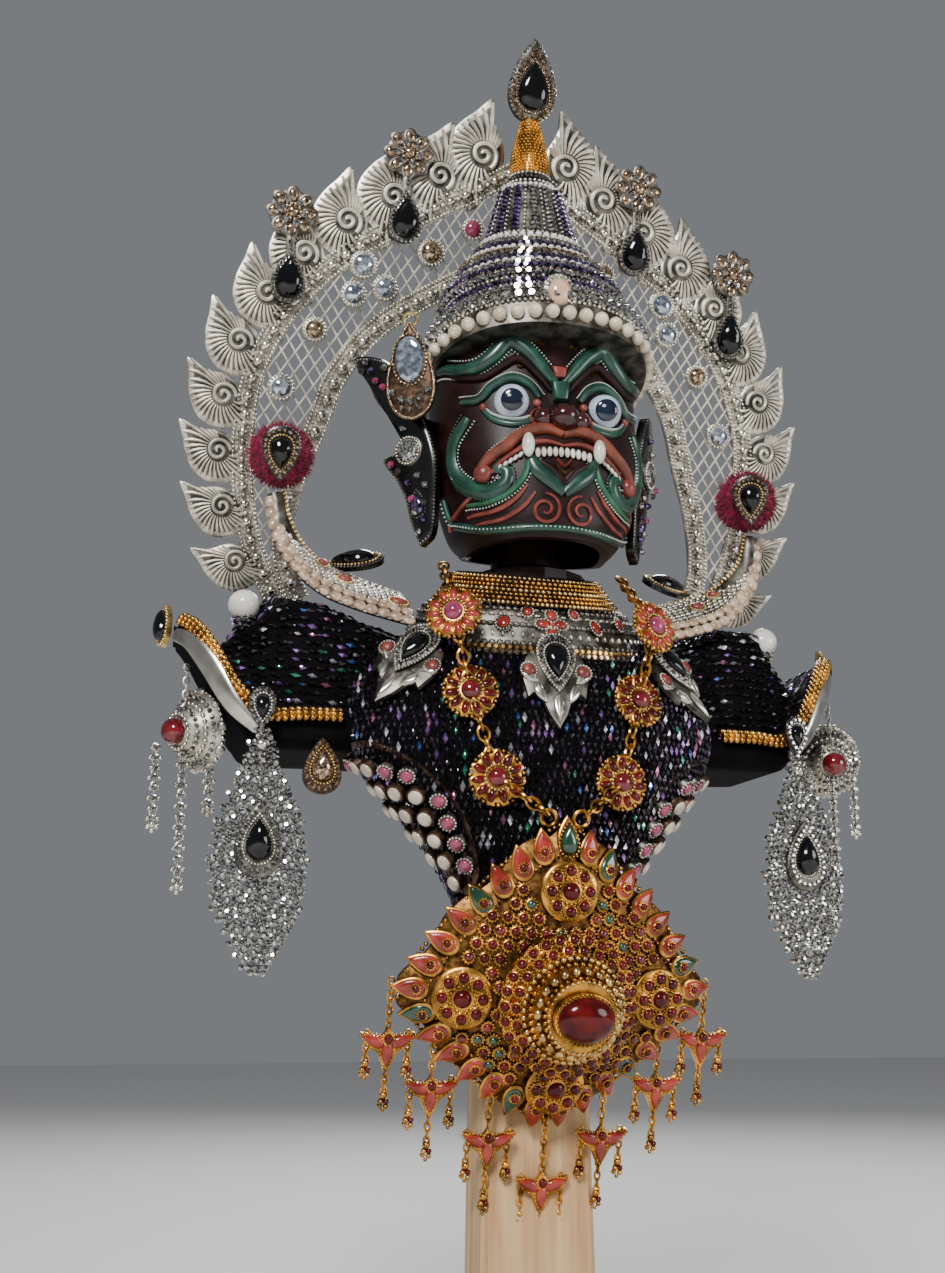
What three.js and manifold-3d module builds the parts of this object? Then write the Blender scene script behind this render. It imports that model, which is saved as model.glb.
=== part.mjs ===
// A small dressed khon mask: a hollow lacquered demon mask with a tiered crown and a halo, on a caped bust.
// Millimetres, Z up, the face looks along -Y. The origin is on the base's underside, below the head.
import * as THREE from "three";
import { mergeVertices } from "three/addons/utils/BufferGeometryUtils.js";
import Module from "manifold-3d";

const wasm = await Module();
wasm.setup();

// Clearance kept between pieces that touch, and how far a facet may be simplified
const GAP = 0.3;
const FACET_TOLERANCE = 0.15;

// Base block and post
const BASE_WIDTH = 150;
const BASE_DEPTH = 120;
const BASE_HEIGHT = 16;
const BASE_CHAMFER = 3;
const POST_Y = 8;
const POST_DEPTH = 22;
const POST_WIDTH_LOW = 40;
const POST_WIDTH_HIGH = 34;
const POST_CHAMFER = 2;
const POST_SOCKET = 30;

// Bust: its underside, the widest level of the chest, and the neck line
const BUST_LOW = 166;
const BUST_TOP = 284;
const CHEST_WIDE = THREE.MathUtils.lerp(BUST_LOW, BUST_TOP, 0.576);
const CHEST_HALF_WIDTH = 65;
const CHEST_FRONT = 34;
const CHEST_BACK = 36;
const BUST_Y = 8;

// Shoulder wings: a boat-like tray on each side that rises to a point
const WING_REACH = 122;
const WING_Y = 21;
const WING_HALF_DEPTH = 26;
const WING_RIM = 240;
const WING_KEEL = 10;
const WING_RIDGE_RISE = 51;
const WING_TIP_RISE = 34;
const WING_LOW = WING_RIM - WING_KEEL;
const WING_TIP = WING_RIM + WING_TIP_RISE;
const TRIM_WIDTH = 4.4;
const CRESCENT_WIDTH = 8;
const CRESCENT_THICKNESS = 2.6;

// Neck and mask
const NECK_RADIUS = 22;
const NECK_Y = 6;
const STEM_RADIUS = 12.5;
const HEAD_Y = -4;
const HEAD_HALF_WIDTH = 36.5;
const HEAD_FRONT = 33;
const HEAD_BACK = 36;
const CHIN = 300;
const HEAD_HEIGHT = 102;
const MASK_WALL = 3;
const RIM_LIFT = 0.24;

// Crown
const CROWN_RIM = 365;
const CROWN_RADIUS = 39;
const CROWN_HEIGHT = 113;

// Halo: a flat arch that leans forward over the crown
const HALO_PIVOT = new THREE.Vector3(0, 34, 345);
const HALO_LEAN = 14;
const HALO_TOP = 127;
const HALO_WIDTH = 206;
const BAND_WIDTH = 8;
const BAND_THICKNESS = 3;
const MESH_THICKNESS = 1.2;
const APEX_HALF_WIDTH = 12;
const APEX_LENGTH = 32;
const LEAF_LENGTH = 22;
const LEAF_COUNT = 11;

// Pearls at the halo's ends
const PEARL_RADIUS = 5.6;
const PEARL_RISE = 42.5;
const PEARL_FOOT = 6;

// Shoulder horns and pompoms
const HORN_THICKNESS = 5;
const HORN_SIDES = 8;
const CABOCHON_PLACE = [60, 19, 300.5];
const POMPOM_RADIUS = 12;
const POMPOM_PLACE = [89.3, 7, 335];
const POMPOM_BROOCHES = {
  left: { place: [-91, -5, 331], facing: [-0.1, -1, -0.3] },
  right: { place: [85.5, -4, 331.5], facing: [-0.35, -1, -0.3] },
};

// Collar and neck chains
const COLLAR_LOW = 262;
const COLLAR_HIGH = 281;
const CHAIN_TURNS = 2;
const CHAIN_SIDES = 12;

// Jewels and chains
const ROSETTE_RADIUS = 9;
const ROSETTE_THICKNESS = 3;
const STUD_RADIUS = 3.6;
const STUD_HEIGHT = 3;
const LINK_THICKNESS = 1.6;

// Pendant
const PENDANT_TOP = 205;
const PENDANT_LOW = 112;
const PENDANT_HALF_WIDTH = 52;
const PENDANT_THICKNESS = 2.6;
const PENDANT_BULGE = 12;
const PENDANT_TILT = 15.5;
const DOME_RADIUS = 22;
const DOME_HEIGHT = 17;
const GEM_HALF_WIDTH = 10;
const GEM_HALF_HEIGHT = 8;
const PENDANT_Y = -18;
const PENDANT_LINK_Y = -34.5;

// Earrings
const DROP_WIDTH = 30;
const DROP_LENGTH = 80;
const DROP_THICKNESS = 2.4;
const DROP_INSET = 27;
const OUTER_SHIFT = 5;
const OUTER_CAP_RADIUS = 13.5;
const SMALL_BROOCH_SHARE = 0.607;

// Numbers of facets round the larger rounds
const HEAD_SIDES = 20;
const ROUND_SIDES = 16;
const ARCH_STEPS = 12;

const SIDES = [
  ["left", -1],
  ["right", 1],
];
const root = new THREE.Group();

const finish = (color, roughness, metalness) =>
  new THREE.MeshStandardMaterial({ color, roughness, metalness });
const PINE = finish(0xcfa877, 0.6, 0);
const CAPE = finish(0x1a1418, 0.55, 0);
const LACQUER = finish(0x2a1513, 0.3, 0);
const SILVER = finish(0xc9c6bd, 0.35, 1);
const DARK_SILVER = finish(0x5b5450, 0.45, 1);
const GOLD = finish(0xd9a441, 0.3, 1);
const RUBY = finish(0x5a1020, 0.08, 0);
const ONYX = finish(0x0b0b0d, 0.08, 0);
const CRYSTAL = finish(0xd8dad8, 0.12, 0.2);
const PEARL = finish(0xe9e2d6, 0.25, 0);
const FIBRE = finish(0x8e1040, 0.9, 0);

const vec = (x, y, z) => new THREE.Vector3(x, y, z);
const beside = (side, [x, y, z]) => vec(side * x, y, z);
const rad = THREE.MathUtils.degToRad;
const mix = THREE.MathUtils.lerp;
const smooth = (t) => t * t * (3 - 2 * t);

// Solids and geometry

function solidOf(geometry, matrix) {
  const plain = geometry.index ? geometry.toNonIndexed() : geometry;
  const bare = new THREE.BufferGeometry();
  bare.setAttribute("position", plain.getAttribute("position").clone());
  if (matrix) bare.applyMatrix4(matrix);
  const merged = mergeVertices(bare, 1e-3);
  const index = merged.index.array;
  const triangles = [];
  for (let i = 0; i < index.length; i += 3) {
    const [a, b, c] = [index[i], index[i + 1], index[i + 2]];
    if (a !== b && b !== c && c !== a) triangles.push(a, b, c);
  }
  return new wasm.Manifold(
    new wasm.Mesh({
      numProp: 3,
      vertProperties: merged.attributes.position.array,
      triVerts: new Uint32Array(triangles),
    }),
  );
}

function geometryOf(solid) {
  const mesh = solid.simplify(FACET_TOLERANCE).getMesh();
  const geometry = new THREE.BufferGeometry();
  const position = new THREE.BufferAttribute(mesh.vertProperties, mesh.numProp);
  geometry.setAttribute("position", position);
  geometry.setIndex(new THREE.BufferAttribute(mesh.triVerts, 1));
  return geometry;
}

function joined(geometries) {
  return geometryOf(geometries.map((g) => solidOf(g)).reduce((a, b) => a.add(b)));
}

function moved(geometry, matrix) {
  return geometry.clone().applyMatrix4(matrix);
}

// A closed skin over rings of equal length, with a fan over each end
function loft(rings) {
  const count = rings[0].length;
  const points = rings.flat();
  const triangles = [];
  for (let r = 0; r + 1 < rings.length; r++)
    for (let i = 0; i < count; i++) {
      const a = r * count + i;
      const b = r * count + ((i + 1) % count);
      triangles.push(a, b, b + count, a, b + count, a + count);
    }
  for (const [start, flip] of [[0, true], [(rings.length - 1) * count, false]]) {
    const middle = vec(0, 0, 0);
    for (let i = 0; i < count; i++) middle.add(points[start + i]);
    const centre = points.push(middle.divideScalar(count)) - 1;
    for (let i = 0; i < count; i++) {
      const a = start + i;
      const b = start + ((i + 1) % count);
      triangles.push(...(flip ? [b, a, centre] : [a, b, centre]));
    }
  }
  return outward(points, triangles);
}

function outward(points, triangles) {
  let volume = 0;
  for (let i = 0; i < triangles.length; i += 3) {
    const [a, b, c] = [0, 1, 2].map((k) => points[triangles[i + k]]);
    volume += a.dot(vec(0, 0, 0).crossVectors(b, c));
  }
  const facing = volume < 0 ? triangles.slice().reverse() : triangles;
  const geometry = new THREE.BufferGeometry().setFromPoints(points);
  geometry.setIndex(facing);
  return geometry.toNonIndexed();
}

// A tapering rod along a smooth curve: width lies across the given normal, height along it
function rod(points, width, height, normalAt, steps, sides) {
  const curve = new THREE.CatmullRomCurve3(points);
  const rings = [];
  for (let s = 0; s <= steps; s++) {
    const t = s / steps;
    const centre = curve.getPoint(t);
    const along = curve.getTangent(t);
    const normal = normalAt(t).clone();
    normal.addScaledVector(along, -normal.dot(along)).normalize();
    const across = vec(0, 0, 0).crossVectors(along, normal);
    const ring = [];
    for (let i = 0; i < sides; i++) {
      const angle = ((i + (sides === 3 ? 0.75 : 0.5)) / sides) * 2 * Math.PI;
      const point = centre.clone();
      point.addScaledVector(across, (width(t) / 2) * Math.cos(angle));
      point.addScaledVector(normal, (height(t) / 2) * Math.sin(angle));
      ring.push(point);
    }
    rings.push(ring);
  }
  return loft(rings);
}

// A turned profile about Z: pairs of radius and height from the axis back to the axis
function turned(profile, segments) {
  const points = profile.map(([radius, height]) => new THREE.Vector2(radius, height));
  const geometry = new THREE.LatheGeometry(points, segments);
  return geometry.rotateX(Math.PI / 2).toNonIndexed();
}

function plate(outline, thickness) {
  const shape = new THREE.Shape(outline);
  return new THREE.ExtrudeGeometry(shape, {
    depth: thickness,
    bevelEnabled: false,
  });
}

const teardrop = (halfWidth, length, count) =>
  Array.from({ length: count }, (_, i) => {
    const angle = (i / count) * 2 * Math.PI;
    const pinch = Math.pow(Math.sin(angle / 2), 0.9);
    return new THREE.Vector2(
      halfWidth * Math.sin(angle) * pinch,
      (length / 2) * Math.cos(angle),
    );
  });

// A cushion over an outline: a flat back, an upright edge and a crown of the given height
function cushion(outline, edge, crown) {
  const at = (scale, height) => outline.map((p) => vec(p.x * scale, p.y * scale, height));
  return loft([at(1, 0), at(1, edge), at(0.55, edge + crown)]);
}

function frameFacing(position, normal, up = vec(0, 0, 1)) {
  const z = normal.clone().normalize();
  const x = vec(0, 0, 0).crossVectors(up, z).normalize();
  const y = vec(0, 0, 0).crossVectors(z, x);
  return new THREE.Matrix4().makeBasis(x, y, z).setPosition(position);
}

function add(name, geometry, material, parent = root) {
  const mesh = new THREE.Mesh(geometry, material);
  mesh.name = name;
  parent.add(mesh);
  return mesh;
}

// Cuts the neighbours' grown solids out of a piece, so that it keeps its gap to them
function clearOf(geometry, ...neighbours) {
  const rest = neighbours.reduce((s, n) => s.subtract(n), solidOf(geometry));
  const bodies = rest.decompose();
  bodies.sort((a, b) => b.volume() - a.volume());
  return geometryOf(bodies[0]);
}

// Base and post

function chamferedBox(width, depth, chamfer, z) {
  const [w, d, c] = [width / 2, depth / 2, chamfer];
  const corners = [
    [w - c, -d], [w, c - d], [w, d - c], [w - c, d],
    [c - w, d], [-w, d - c], [-w, c - d], [c - w, -d],
  ];
  return corners.map(([x, y]) => vec(x, POST_Y + y, z));
}

function baseBlock() {
  const top = BASE_HEIGHT;
  return loft([
    chamferedBox(BASE_WIDTH, BASE_DEPTH, BASE_CHAMFER, 0),
    chamferedBox(BASE_WIDTH, BASE_DEPTH, BASE_CHAMFER, top - BASE_CHAMFER),
    chamferedBox(
      BASE_WIDTH - 2 * BASE_CHAMFER,
      BASE_DEPTH - 2 * BASE_CHAMFER,
      BASE_CHAMFER,
      top,
    ),
  ]);
}

function post(grow) {
  const high = BUST_LOW + POST_SOCKET + grow;
  const ring = (width, z) =>
    chamferedBox(width + 2 * grow, POST_DEPTH + 2 * grow, POST_CHAMFER, z);
  return loft([
    ring(POST_WIDTH_LOW, BASE_HEIGHT + GAP - grow),
    ring(POST_WIDTH_HIGH, high),
  ]);
}

// Bust: each row is level, half width, depth in front and behind, and how far forward its middle lies

function superellipse(halfWidth, front, back, y, z, power, count) {
  const ring = [];
  for (let i = 0; i < count; i++) {
    const angle = (i / count) * 2 * Math.PI;
    const [s, c] = [Math.sin(angle), Math.cos(angle)];
    const x = halfWidth * Math.sign(s) * Math.pow(Math.abs(s), 2 / power);
    const depth = (c < 0 ? -front : back) * Math.pow(Math.abs(c), 2 / power);
    ring.push(vec(x, y + depth, z));
  }
  return ring;
}

const BUST_POWER = 2.3;
const BUST_ROWS = [
  [BUST_LOW, 0.3, 0.85, 0.45, 6],
  [mix(BUST_LOW, CHEST_WIDE, 0.38), 0.5, 0.97, 0.6, 14],
  [mix(BUST_LOW, CHEST_WIDE, 0.72), 0.78, 1.03, 0.72, 14],
  [CHEST_WIDE, 1, 1.02, 0.95, 6],
  [mix(CHEST_WIDE, BUST_TOP, 0.4), 0.98, 0.94, 1.03, 0],
  [mix(CHEST_WIDE, BUST_TOP, 0.72), 0.72, 0.8, 0.94, 0],
  [BUST_TOP, 0.38, 0.66, 0.68, 0],
].map(([z, w, f, b, forward]) => [
  z,
  w * CHEST_HALF_WIDTH,
  f * CHEST_FRONT - forward,
  b * CHEST_BACK + forward,
  BUST_Y - forward,
]);

function rowAt(rows, z) {
  const last = rows.length - 1;
  const level = THREE.MathUtils.clamp(z, rows[0][0], rows[last][0]);
  let i = 0;
  while (i < last - 1 && rows[i + 1][0] < level) i++;
  const t = (level - rows[i][0]) / (rows[i + 1][0] - rows[i][0]);
  return rows[i].map((value, k) => mix(value, rows[i + 1][k], t));
}

// The point of the chest's front over a place in the front view, and the way it faces there
function onChest(x, z) {
  const depth = (px, pz) => {
    const [, half, front, , middle] = rowAt(BUST_ROWS, pz);
    const share = Math.min(Math.abs(px) / half, 0.999);
    return middle - front * Math.pow(1 - Math.pow(share, BUST_POWER), 1 / BUST_POWER);
  };
  const step = 1;
  const slopeX = (depth(x + step, z) - depth(x - step, z)) / (2 * step);
  const slopeZ = (depth(x, z + step) - depth(x, z - step)) / (2 * step);
  return { point: vec(x, depth(x, z), z), normal: vec(slopeX, -1, slopeZ).normalize() };
}

// The cape's ridge along a wing: share of the reach, rise over the rim, and how far forward its front lies
const WING_CREST = [
  [0, 0.5, -0.4], [0.5, 0.84, -0.75], [0.6, 0.97, -0.75], [0.72, 1, -0.72], [0.81, 0.76, -0.4],
  [0.87, 0.56, -0.2], [0.93, 0.5, 0], [1, 0.5, 0],
];

// One section of a wing across Y and Z, at a distance x from the middle
function wingSection(x, grow) {
  const share = x / WING_REACH;
  const rise = smooth(THREE.MathUtils.clamp((share - 0.76) / 0.24, 0, 1));
  const half = WING_HALF_DEPTH * Math.pow(1 - Math.pow(Math.max(share, 0.5), 9), 0.6) + 1.2;
  const low = mix(WING_LOW, WING_TIP - 7, rise) - grow;
  const rim = mix(WING_RIM, WING_TIP, rise) + grow;
  const [, crest, ahead] = rowAt(WING_CREST, share);
  const ridge = Math.max(WING_RIM + WING_RIDGE_RISE * crest, rim);
  const shift = half + grow;
  return [
    [-shift * 0.8, low],
    [-shift, low + 3],
    [-shift, rim],
    [-shift * 0.86, rim + 0.5],
    [shift * ahead, mix(rim, ridge, 0.8) + grow],
    [shift * 0.6, ridge + grow],
    [shift, mix(rim, ridge, 0.95) + grow],
    [shift, low + 3],
    [shift * 0.8, low],
  ].map(([y, z]) => [WING_Y + y, z]);
}

function wing(side, grow) {
  const stations = [0, 0.5, 0.6, 0.72, 0.81, 0.87, 0.92, 0.96, 1];
  return loft(
    stations.map((s) =>
      wingSection(s * WING_REACH, grow).map(([y, z]) =>
        vec(side * (s * WING_REACH + (s === 1 ? grow : 0)), y, z),
      ),
    ),
  );
}

function torso(grow) {
  return loft(
    BUST_ROWS.map(([z, w, f, b, y], i) => {
      const level = z + (i === 0 ? -grow : i === BUST_ROWS.length - 1 ? grow : 0);
      return superellipse(w + grow, f + grow, b + grow, y, level, BUST_POWER, HEAD_SIDES);
    }),
  );
}

const bustSolid = (grow) =>
  solidOf(torso(grow)).add(solidOf(wing(-1, grow))).add(solidOf(wing(1, grow)));
const bustGrown = bustSolid(GAP);

// Neck stem: wide below the mask's rim, slim inside it, up to the mask's inner top

function neckStem(grow) {
  const seat = BUST_TOP - 12 - grow;
  const top = CHIN + HEAD_HEIGHT - 2 * MASK_WALL;
  const geometry = turned(
    [
      [0, seat],
      [NECK_RADIUS + grow, seat],
      [NECK_RADIUS + grow, CHIN - 5],
      [STEM_RADIUS, CHIN - 1],
      [STEM_RADIUS, top - 12],
      [STEM_RADIUS * 0.5, top - 3],
      [0, top],
    ],
    ROUND_SIDES,
  );
  return geometry.translate(0, NECK_Y, 0);
}

// Mask: each row is height over the chin, half width, depth in front and depth behind, as shares

const HEAD_POWER = 2.35;
const HEAD_ROWS = [
  [0, 0.68, 0.9, 0.88],
  [0.07, 0.83, 0.98, 0.9],
  [0.28, 0.98, 1, 0.97],
  [0.5, 1.01, 0.9, 1],
  [0.7, 0.98, 0.86, 0.97],
  [0.84, 0.86, 0.78, 0.86],
  [0.94, 0.6, 0.56, 0.6],
  [0.98, 0.34, 0.32, 0.34],
].map(([h, w, f, b]) => [
  CHIN + h * HEAD_HEIGHT,
  w * HEAD_HALF_WIDTH,
  f * HEAD_FRONT,
  b * HEAD_BACK,
]);

function headSkin(grow, low, count) {
  const rings = HEAD_ROWS.map(([z, w, f, b], i) => {
    const level = i === 0 ? low : z + grow * Math.pow(i / HEAD_ROWS.length, 3);
    const ring = superellipse(w + grow, f + grow, b + grow, HEAD_Y, level, HEAD_POWER, count);
    const lift = Math.max(RIM_LIFT * (1 - i / 3), 0);
    return ring.map((p) => vec(p.x, p.y, p.z + lift * Math.max(p.y - HEAD_Y, 0)));
  });
  return loft(rings);
}

// A point on the mask's face over a place in the front view, raised by lift
function onFace(x, z, lift = 0) {
  const [, half, front] = rowAt(HEAD_ROWS, z);
  const share = Math.min(Math.abs(x) / half, 0.995);
  const depth = front * Math.pow(1 - Math.pow(share, HEAD_POWER), 1 / HEAD_POWER);
  const point = vec(x, HEAD_Y - depth, z);
  return point.addScaledVector(faceNormal(x, z), lift);
}

function faceNormal(x, z) {
  const [, half, front] = rowAt(HEAD_ROWS, z);
  const share = Math.min(Math.abs(x) / half, 0.98);
  const lean = Math.pow(share, HEAD_POWER - 1) * (front / half);
  const slope = Math.pow(1 - Math.pow(share, HEAD_POWER), 1 - 1 / HEAD_POWER);
  return vec(Math.sign(x) * lean, -Math.max(slope, 0.1), 0).normalize();
}

// A raised ridge that follows places in the front view of the face
function faceRidge(places, width, height, steps, sides = 5) {
  const taper = (t) => 0.35 + 0.65 * Math.pow(Math.sin(Math.PI * mix(0.06, 0.94, t)), 0.6);
  const middle = places[Math.floor(places.length / 2)];
  return rod(
    places.map(([x, z]) => onFace(x, z, height * 0.2)),
    (t) => width * taper(t),
    (t) => 2 * height * taper(t),
    (t) => {
      const spot = t * (places.length - 1);
      const i = Math.min(Math.floor(spot), places.length - 2);
      return faceNormal(
        mix(places[i][0], places[i + 1][0], spot - i) || middle[0],
        mix(places[i][1], places[i + 1][1], spot - i),
      );
    },
    steps,
    sides,
  );
}

function faceBall(x, z, radius, lift, squeeze = 1) {
  const ball = new THREE.IcosahedronGeometry(radius, radius > 4 ? 1 : 0);
  const frame = frameFacing(onFace(x, z, lift), faceNormal(x, z));
  return moved(ball, frame.multiply(new THREE.Matrix4().makeScale(1, squeeze, 0.8)));
}

function spiral(side, x, z, radius, turns) {
  const places = [];
  const count = 9;
  for (let i = 0; i < count; i++) {
    const t = i / (count - 1);
    const angle = Math.PI * (0.5 + 2 * turns * t);
    const reach = radius * (1 - 0.75 * t);
    places.push([side * (x + reach * Math.cos(angle)), z + reach * Math.sin(angle)]);
  }
  return places;
}

const BROW = [[2.5, 357], [10, 366], [17, 371], [24, 364], [30, 361.5], [36, 366]];
const LID = [[8, 350], [13, 356], [19, 357], [26, 351], [31, 351]];
const LIP = [[0, 335.5], [8, 336.5], [13, 335], [18, 330], [24, 327], [25, 322.5]];
const MOUSTACHE = [[31, 342], [33, 330], [31, 320], [26, 314], [19, 315], [18, 320]];
const CHEEK = [[14, 326], [15, 317], [20, 310], [27, 309]];
const BEARD = [[0, 313.5], [5, 317], [10, 321], [12, 326]];
const NOSTRIL = [[3, 341.5], [8, 343.5], [11, 340], [8, 338.5]];

function maskRelief() {
  const pieces = [];
  for (const [, side] of SIDES) {
    const mirror = (places) => places.map(([x, z]) => [side * x, z]);
    pieces.push(faceRidge(mirror(BROW), 6, 3.2, 7, 4));
    pieces.push(faceRidge(mirror(LID), 3, 2, 5, 3));
    pieces.push(faceRidge(mirror(LIP), 4.6, 3, 6, 4));
    pieces.push(faceRidge(mirror(MOUSTACHE), 6, 2, 5, 4));
    pieces.push(faceRidge(mirror(CHEEK), 3, 1.6, 4, 3));
    pieces.push(faceRidge(mirror(BEARD), 5, 1.8, 3, 3));
    pieces.push(faceRidge(mirror(NOSTRIL), 3.6, 2.4, 3, 3));
    pieces.push(faceRidge(spiral(side, 5.6, 307.5, 4.6, 0.8), 2, 1.4, 7, 3));
    pieces.push(faceBall(side * 16.5, 348, 6, 0.4, 1));
    pieces.push(faceBall(side * 12, 329.5, 2.6, 1.6, 1.5));
    pieces.push(faceBall(side * 25, 324, 3.4, 0.6, 1));
  }
  pieces.push(faceBall(0, 342.5, 4.6, 4, 1));
  pieces.push(faceBall(0, 361, 3.6, 0.6, 1.5));
  return pieces;
}

function mask() {
  const low = CHIN;
  const outer = solidOf(headSkin(0, low, HEAD_SIDES));
  const inner = solidOf(headSkin(-MASK_WALL, low - 2, HEAD_SIDES / 2));
  const crownWall = solidOf(crownSkin(GAP)).subtract(solidOf(headSkin(0, low, HEAD_SIDES)));
  const relief = maskRelief().reduce((s, g) => s.add(solidOf(g)), outer);
  return clearOf(geometryOf(relief), crownWall, inner);
}

// Crown: each row is height over the rim, radius, shift in Y and how far the ring dips in front

const CROWN_ROWS = [
  [0, 1.02, -5, -0.2],
  [0.07, 1.02, -5, -0.2],
  [0.15, 0.97, -5, -0.17],
  [0.17, 0.9, -5, -0.13],
  [0.23, 0.85, -4, -0.08],
  [0.25, 0.87, -4, -0.05],
  [0.33, 0.8, -4, 0.02],
  [0.35, 0.71, -4, 0.05],
  [0.42, 0.65, -4, 0.12],
  [0.44, 0.56, -4, 0.15],
  [0.49, 0.51, -4, 0.18],
  [0.51, 0.43, -4, 0.2],
  [0.7, 0.28, -4, 0.2],
  [0.75, 0.18, -4, 0.2],
  [0.84, 0.17, -4, 0.2],
  [0.98, 0.08, -5, 0.2],
].map(([h, r, y, dip]) => [CROWN_RIM + h * CROWN_HEIGHT, r * CROWN_RADIUS, y, dip]);

// The crown's rings follow the head's shape at the rim and turn round towards the top
function crownSkin(grow) {
  const rings = CROWN_ROWS.map(([z, radius, y, dip], i) => {
    const level = z + (i === 0 ? -grow : i === CROWN_ROWS.length - 1 ? grow : 0);
    const reach = radius + grow;
    const power = mix(HEAD_POWER, 2, Math.min((z - CROWN_RIM) / (0.3 * CROWN_HEIGHT), 1));
    const ring = superellipse(reach, reach, reach, y, level, power, HEAD_SIDES);
    return ring.map((p) => vec(p.x, p.y, p.z + dip * (p.y - y)));
  });
  return loft(rings);
}

function crown() {
  const hollow = solidOf(headSkin(GAP, CHIN, HEAD_SIDES));
  return clearOf(crownSkin(0), hollow);
}

// Ear guards and ear pendants

// The guards' outlines: x away from the face, y up. The right one has no tall flame above its crystal
const FLAMES = {
  left: [
    [0, -34], [3, -26], [5, -17], [8.5, -9], [14, -0.5], [6.5, 0.5], [5.5, 8], [9.5, 15], [15.5, 22],
    [19, 30], [25, 40], [13, 37], [5, 28], [0, 18], [-5, 8], [-8, -4], [-7, -18], [-5, -30],
  ],
  right: [
    [0, -34], [3, -26], [5, -17], [6, -9], [7, -2], [6, 4], [7, 12], [5, 19], [0, 22], [-5, 8],
    [-8, -4], [-7, -18], [-5, -30],
  ],
};

function earGuard(word, side, neighbours) {
  const frame = frameFacing(vec(side * (side < 0 ? 42 : 39), -6, 336), vec(side * 0.75, -0.65, -0.1));
  const outline = FLAMES[word].map(([x, y]) => new THREE.Vector2(side * x, y));
  if (side < 0) outline.reverse();
  const leaf = moved(plate(outline, 3), frame);
  const stone = cushion(teardrop(4.5, 10, 10), 2, 2);
  const crystal = new THREE.CylinderGeometry(3.6, 4.6, 4.5, 12).rotateX(Math.PI / 2);
  const place = new THREE.Matrix4().makeTranslation(side * 2.2, 0.5, 4.5);
  const lower = new THREE.Matrix4().makeTranslation(0, -19, 2.5);
  const seat = new THREE.BoxGeometry(6, 30, 14).translate(0, -2, -5);
  const parts = [
    leaf,
    moved(crystal.toNonIndexed(), frame.clone().multiply(place)),
    moved(stone, frame.clone().multiply(lower)),
    moved(seat.toNonIndexed(), frame),
  ];
  return clearOf(joined(parts), ...neighbours);
}

function earPendant(side) {
  const frame = frameFacing(vec(side * 47.5, -15, 362), vec(side * 0.45, -0.88, -0.15));
  const body = cushion(teardrop(10.5, 34, 16), 3, 2.4);
  const stone = cushion(teardrop(6, 17, 10), 1, 2.2);
  const loop = new THREE.TorusGeometry(2.4, 0.8, 4, 6).toNonIndexed();
  return moved(
    joined([
      body,
      stone.translate(0, 5, 3.6),
      loop.translate(0, 18.6, 1.5),
    ]),
    frame,
  );
}

// Halo, in its own plane: x across, y up from the pivot, z towards the front

const haloGroup = new THREE.Group();
haloGroup.position.copy(HALO_PIVOT);
haloGroup.rotation.x = rad(90 + HALO_LEAN);
root.add(haloGroup);

// The outer band's outer edge on the right, from its foot to the point, as shares
const ARCH = [
  [0.84, -0.46], [0.95, -0.28], [1, -0.1], [1.01, 0.08], [0.98, 0.26], [0.88, 0.44],
  [0.7, 0.62], [0.45, 0.77], [0.22, 0.88], [0, 1],
].map(([x, y]) => vec(x * (HALO_WIDTH / 2), y * (HALO_TOP - 2), 0));
const archCurve = new THREE.CatmullRomCurve3(ARCH);

// The same edge moved inwards, with the reach of the mesh at each share of the way up
const meshReach = (t) => BAND_WIDTH * 2.55 * smooth(THREE.MathUtils.clamp(t * 2.6, 0, 1));

function archPoint(t, inset) {
  const point = archCurve.getPointAt(t);
  const tangent = archCurve.getTangentAt(t);
  return vec(point.x - tangent.y * inset, point.y + tangent.x * inset, 0);
}

function archOutline(inner, outer, steps) {
  const right = (inset) =>
    Array.from({ length: steps + 1 }, (_, i) => {
      const t = i / steps;
      const p = archPoint(t, inset(t));
      return new THREE.Vector2(i === steps ? 0 : Math.max(p.x, 0.5), p.y);
    });
  const mirrored = (list) => list.slice(0, -1).reverse().map((p) => new THREE.Vector2(-p.x, p.y));
  const out = right(outer);
  const back = right(inner);
  return [...out, ...mirrored(out), ...back.slice(0, -1).map((p) => new THREE.Vector2(-p.x, p.y)),
    back[steps], ...back.slice(0, -1).reverse()];
}

function leafOutline(length) {
  return [
    [-1.6, -0.2], [1.6, -0.2], [6.4, 0.22], [8.6, 0.5], [6.2, 0.8], [1.5, 1], [-5.4, 0.68],
    [-4.6, 0.26],
  ].map(([x, y]) => new THREE.Vector2(x * (length / LEAF_LENGTH), y * length));
}

function leaf(length) {
  const blade = plate(leafOutline(length), 1.6);
  const boss = new THREE.ConeGeometry(4.6, 2.6, 4).rotateX(Math.PI / 2);
  return joined([blade, boss.toNonIndexed().translate(1, length * 0.52, 2.4)]);
}

function leafFrames() {
  const frames = [];
  for (const [, side] of SIDES)
    for (let i = 0; i < LEAF_COUNT; i++) {
      const t = mix(0.03, 0.95, (i + 0.5) / LEAF_COUNT);
      const foot = archPoint(t, BAND_WIDTH * 0.5);
      const tangent = archCurve.getTangentAt(t);
      const away = vec(tangent.y, -tangent.x, 0);
      const lean = away.multiplyScalar(0.94).addScaledVector(tangent, 0.34).normalize();
      const across = vec(lean.y, -lean.x * side, 0);
      const basis = new THREE.Matrix4().makeBasis(across, lean.setX(side * lean.x), vec(0, 0, 1));
      basis.setPosition(side * foot.x, foot.y, 0.3);
      frames.push({ basis, length: LEAF_LENGTH * mix(0.85, 1.3, t) });
    }
  return frames;
}

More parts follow.
